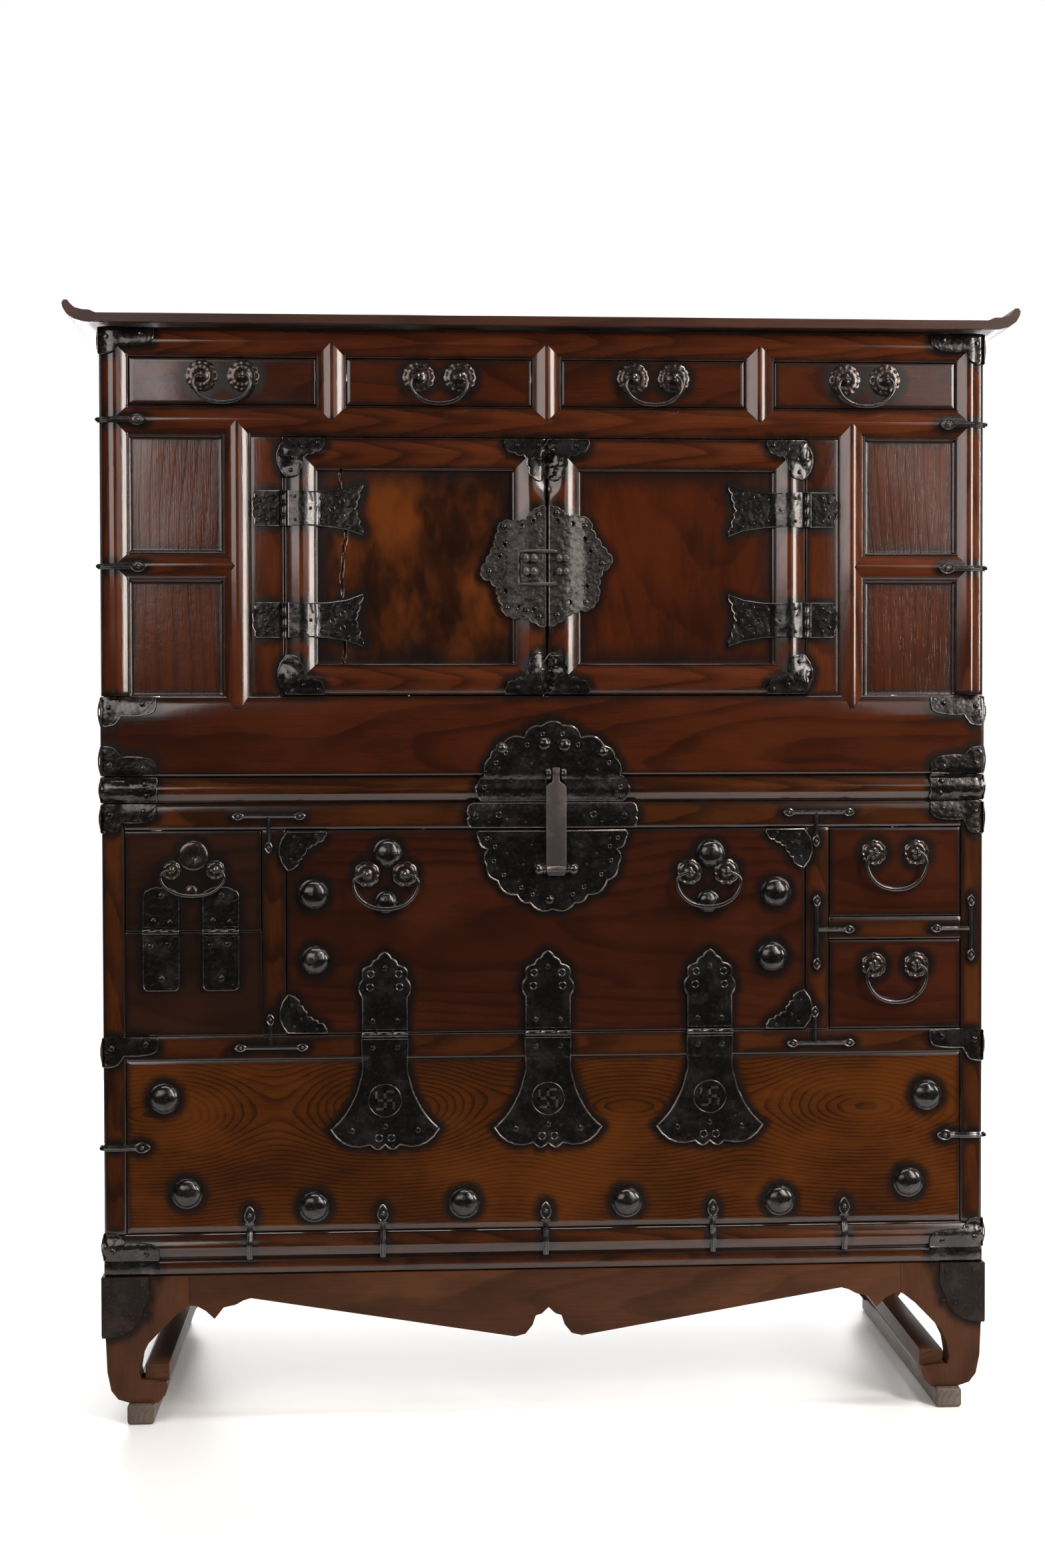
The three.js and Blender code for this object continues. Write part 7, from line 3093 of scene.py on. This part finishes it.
@dataclass
class Stand:
    """Apron, leg frames with their stretchers, and floor runners."""

    shop: Workshop
    proud: float = 3.0
    rise: float = 154.1
    leg_width: float = 105.0
    leg_thickness: float = 32.0
    apron_thickness: float = 22.0
    leg_shares: tuple[Point, ...] = (
        (0, 1), (0.01, 0.6), (0.04, 0.5), (0.055, 0.25), (0.1, 0.1), (0.18, 0.03), (0.32, 0),
        (0.64, 0), (0.72, 0.06), (0.75, 0.13), (0.73, 0.16), (0.44, 0.18), (0.42, 0.24),
        (0.45, 0.36), (0.53, 0.47), (0.63, 0.54), (0.83, 0.68), (0.96, 0.75), (1, 0.765), (1, 1),
    )
    apron_shares: tuple[Point, ...] = (
        (0, 0.7), (0.019, 0.65), (0.036, 0.635), (0.045, 0.56), (0.065, 0.49), (0.094, 0.47),
        (0.83, 0.815), (0.85, 0.8), (0.873, 0.765), (0.906, 0.745), (0.931, 0.655),
        (0.955, 0.72), (0.98, 0.76), (1, 0.765), (1, 1),
    )

    def board(self, path: Sequence[Point], front: float, thickness: float) -> BMesh:
        """Sawn board with rounded front edges, diced so that soot can show on it.

        Args:
            path: Its outline as (x, z).
            front: Depth of its front.
            thickness: Its thickness.

        Returns:
            The closed form.
        """
        form = diced(path, 7.0)
        for vert in form.verts:
            vert.co.y = front + thickness
        grown = bmesh.ops.extrude_face_region(form, geom=form.faces[:], use_keep_orig=True)["geom"]
        moved = [item for item in grown if isinstance(item, BMVert)]
        for vert in moved:
            vert.co.y = front + wobble(vert.co.x, vert.co.z, 60.0, 0.5)
        bmesh.ops.recalc_face_normals(form, faces=form.faces[:])
        edges = [edge for edge in form.edges if edge.is_manifold
                 and edge.calc_face_angle() > 1.0 and
                 all(vert.co.y < front + 2 for vert in edge.verts)]
        soften(form, edges, 1.6, 3)
        return form

    def apron(self) -> BMesh:
        """Front apron between the legs.

        Returns:
            The closed form.
        """
        span = X.case + self.proud - self.leg_width - 0.3
        points = both_sides(scaled(self.apron_shares, span, self.rise), 0.0, Z.stand + 0.15)
        return self.board([(p[0], p[1]) for p in points], FACE - self.proud, self.apron_thickness)

    def leg(self, side: Side, front: float) -> BMesh:
        """Cusped leg cut from a board.

        Args:
            side: Its side of the chest.
            front: Depth of its front.

        Returns:
            The closed form.
        """
        points = [(side.value * (X.case + self.proud - u * self.leg_width),
                   Z.stand + 0.15 + v * self.rise) for u, v in self.leg_shares]
        return self.board(points, front, self.leg_thickness)

    def leg_iron(self, side: Side) -> BMesh:
        """Iron sheet over the corner of the stand.

        Args:
            side: Its side of the chest.

        Returns:
            The closed forms in one.
        """
        front = Front()
        front.add((-600, 600), (0, 200), FACE - self.proud, lambda x, z: 0.2)
        sign = side.value
        outer = sign * (X.case + self.proud + 0.2)
        shape = [(0, 178, 0), (56, 178, 0), (57, 160, 0), (50, 140, 0.1), (42, 122, 0.1),
                 (24, 108, 0.1), (0, 104, 0.05)]
        points = [(outer - sign * p[0], p[1], p[2]) for p in shape]
        forms = [plate(front, lobed(points), 0.9, 8.0, 0.0, 0.3, (), 0.1)]
        for u, z in ((14, 169.4), (48, 168), (37, 128.3), (52, 131.2)):
            forms.append(nail(front, outer - sign * u, z, 3.2, 1.2))
        forms.append(ring(front, outer - sign * 37, 128.3, 5.0, 0.7, 1.2))
        wrap = block(Extent((0, 1.0), (0, 60), (106, 177.6)), 0.3)
        for vert in wrap.verts:
            vert.co.x = outer + sign * vert.co.x * 0.8
            vert.co.y += FACE - self.proud + 0.2
        forms.append(wrap)
        return join(*forms)

    def dress(self) -> None:
        """Hands the stand over."""
        shop = self.shop
        shop.wood("apron_wood", self.apron(), STAND, Grain.LEVEL, (0.2, 0.01, -0.14), "case",
                  Slot.WARM, "front_apron")
        for side in Side:
            node = f"leg_frame_{side.word}"
            outer = X.case + self.proud
            legs = join(self.leg(side, FACE - self.proud),
                        self.leg(side, REAR + self.proud - self.leg_thickness))
            shop.wood(f"legs_{side.word}", legs, STAND, Grain.UPRIGHT,
                      (0.3 * side.value, 0.02, 0.49 * side.value), "case", Slot.WARM, node)
            board = block(Extent(side.span(outer - 22, outer - 1), (FACE - 2, REAR + 2),
                                 (Z.plinth - 50, Z.plinth - 0.2)), 1.2)
            bar = block(Extent(side.span(outer - 80, outer - 51), (FACE + 3, REAR - 3),
                               (Z.stand + 25, Z.stand + 45)), 1.6)
            shop.wood(f"side_apron_{side.word}", join(board, bar), STAND, Grain.DEEP,
                      (0.1, 0.5 * side.value, 0.1), "case", Slot.WARM, node)
            runner = block(Extent(side.span(480.2, 512.8), (FACE - 12, REAR + 12), (0.2, 23.8)),
                           4.0)
            shop.wood(f"runner_{side.word}_wood", runner, RUNNER, Grain.DEEP,
                      (0.3, 0.49 * side.value, 0.0), "case", Slot.PLAIN, f"runner_{side.word}")
            shop.iron(f"leg_iron_{side.word}", self.leg_iron(side), RUSTY, "case")


# Studio

@dataclass
class Studio:
    """Pale floor and backdrop, soft lights, and the camera of the photograph."""

    eye: Point = (-0.15961, -2.82207, 0.85686)
    yaw: float = 0.0601
    pitch: float = 0.0214
    roll: float = -0.0022
    focal: float = 3216.89
    principal: Point = (818.66, 1144.43)
    image: Point = (1568.0, 2352.0)
    floor_half: float = 9.0
    floor_depth: Span = (-0.85, 2.3)

    def floor(self) -> None:
        """Wide pale floor that ends behind the chest."""
        form = bmesh.new()
        bmesh.ops.create_grid(form, x_segments=2, y_segments=2, size=1.0)
        for vert in form.verts:
            vert.co.x *= self.floor_half
            near, far = self.floor_depth
            vert.co.y = near if vert.co.y < -0.5 else far if vert.co.y > 0.5 else 0.0
        mesh = bpy.data.meshes.new("floor")
        form.to_mesh(mesh)
        form.free()
        mesh.shade_smooth()
        made = bpy.data.materials.new("Pale floor")
        made.use_nodes = True
        surface = made.node_tree.nodes["Principled BSDF"]
        wiring = Wiring(made.node_tree)
        place = wiring.add("TexCoord").outputs["Object"]
        cloud = wiring.speckle(place, 1.5)
        tone = wiring.blend(cloud, (0.86, 0.855, 0.845, 1.0), (0.9, 0.895, 0.89, 1.0))
        wiring.link(tone, surface.inputs["Base Color"])
        surface.inputs["Roughness"].default_value = 0.42
        mesh.materials.append(made)
        piece = bpy.data.objects.new("floor", mesh)
        bpy.context.scene.collection.objects.link(piece)
        piece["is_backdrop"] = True

    def camera(self) -> None:
        """Camera at the photograph's place and angle."""
        cos, sin = math.cos, math.sin
        ahead = Vector((sin(self.yaw) * cos(self.pitch), cos(self.yaw) * cos(self.pitch),
                        -sin(self.pitch)))
        right = Vector((cos(self.yaw), -sin(self.yaw), 0))
        up = right.cross(ahead)
        across = cos(self.roll) * right + sin(self.roll) * up
        rise = cos(self.roll) * up - sin(self.roll) * right
        data = bpy.data.cameras.new("camera")
        width, height = self.image
        data.sensor_fit = "VERTICAL"
        data.sensor_height = 36.0
        data.lens = self.focal / height * 36.0
        data.shift_x = (width / 2 - self.principal[0]) / height
        data.shift_y = (self.principal[1] - height / 2) / height
        data.clip_end = 100.0
        camera = bpy.data.objects.new("camera", data)
        turn = Matrix((across, rise, -ahead)).transposed().to_4x4()
        camera.matrix_world = Matrix.Translation(self.eye) @ turn
        bpy.context.scene.collection.objects.link(camera)
        bpy.context.scene.camera = camera

    def light(self, name: str, place: Point, aim: Point, size: Point, power: float,
              colour: Point = (1.0, 1.0, 1.0)) -> None:
        """Adds one soft light.

        Args:
            name: Its name.
            place: Where it stands.
            aim: What it points at.
            size: Its width and height.
            power: Its power in watts.
            colour: Its colour.
        """
        data = bpy.data.lights.new(name, "AREA")
        data.shape = "RECTANGLE"
        data.size, data.size_y = size
        data.energy = power
        data.color = colour
        lamp = bpy.data.objects.new(name, data)
        way = Vector(aim) - Vector(place)
        lamp.matrix_world = Matrix.Translation(place) @ way.to_track_quat("-Z", "Y").to_matrix().to_4x4()
        bpy.context.scene.collection.objects.link(lamp)

    def world(self) -> None:
        """White backdrop for the camera and a dark room for everything else."""
        world = bpy.data.worlds.new("studio")
        bpy.context.scene.world = world
        world.use_nodes = True
        world.node_tree.nodes.clear()
        wiring = Wiring(world.node_tree)
        way = wiring.add("SeparateXYZ")
        wiring.link(wiring.add("TexCoord").outputs["Generated"], way.inputs[0])
        room = wiring.add("Background")
        room.inputs["Color"].default_value = (1.0, 0.98, 0.96, 1.0)
        wiring.link(wiring.between(way.outputs[1], -0.05, 0.35, 0.03, 0.8),
                    room.inputs["Strength"])
        white = wiring.add("Background")
        white.inputs["Color"].default_value = (1.0, 1.0, 1.0, 1.0)
        white.inputs["Strength"].default_value = 1.0
        path = wiring.add("LightPath")
        mix = wiring.add("MixShader")
        wiring.link(path.outputs["Is Camera Ray"], mix.inputs[0])
        wiring.link(room.outputs[0], mix.inputs[1])
        wiring.link(white.outputs[0], mix.inputs[2])
        output = wiring.add("OutputWorld")
        wiring.link(mix.outputs[0], output.inputs["Surface"])

    def build(self) -> None:
        """Sets the studio up."""
        self.floor()
        self.camera()
        self.light("soft right", (1.4, -1.5, 1.5), (0.2, -0.2, 0.8), (0.5, 1.3), 29.0,
                   (1.0, 0.93, 0.86))
        self.light("high right", (1.6, -1.6, 3.0), (0.2, -0.2, 0.6), (0.4, 0.4), 24.0,
                   (1.0, 0.95, 0.9))
        self.light("side right", (2.6, -0.4, 1.3), (0.2, -0.2, 0.75), (0.35, 0.9), 24.0)
        self.light("panel right", (1.75, -3.2, 2.0), (0.3, -0.2, 0.9), (1.3, 1.6), 9.0)
        self.light("panel left", (-1.85, -2.8, 1.95), (-0.3, -0.2, 0.95), (2.4, 1.5), 44.0,
                   (1.0, 0.93, 0.91))
        self.light("overhead", (0.0, -0.35, 3.7), (0.0, 0.1, 0.0), (2.8, 0.9), 72.0)
        self.light("backdrop", (0.0, 2.6, 1.1), (0.0, 0.2, 0.0), (3.0, 0.7), 55.0)
        self.world()
        view = bpy.context.scene.view_settings
        view.view_transform = "Standard"
        view.exposure = 0.0


def corners(box: Sequence[Iterable[float]]) -> list[list[float]]:
    """Corners of a box as plain lists."""
    return [[float(value) for value in corner] for corner in box]


def main() -> None:
    """Builds the chest's sub-assemblies in order, then the studio."""
    logging.basicConfig(level=logging.INFO, format="%(name)s: %(message)s")
    shop = Workshop()
    TopBoard(shop).dress()
    UpperCase(shop).dress()
    FrontFields(shop).dress()
    BreastAndWaist(shop).dress()
    LowerCase(shop).dress()
    Drawers(shop).dress()
    for side in Side:
        Door(shop, side).dress()
    DoorPlate(shop).dress()
    DropFront(shop).dress()
    SmallFlap(shop).dress()
    FlapHinges(shop).dress()
    Lock(shop).dress()
    CaseIrons(shop).dress()
    Stand(shop).dress()
    shop.blacken()
    Studio().build()
    {"cad": corners(CAD_BOX), "visual": corners(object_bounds())}


if __name__ == "__main__":
    main()
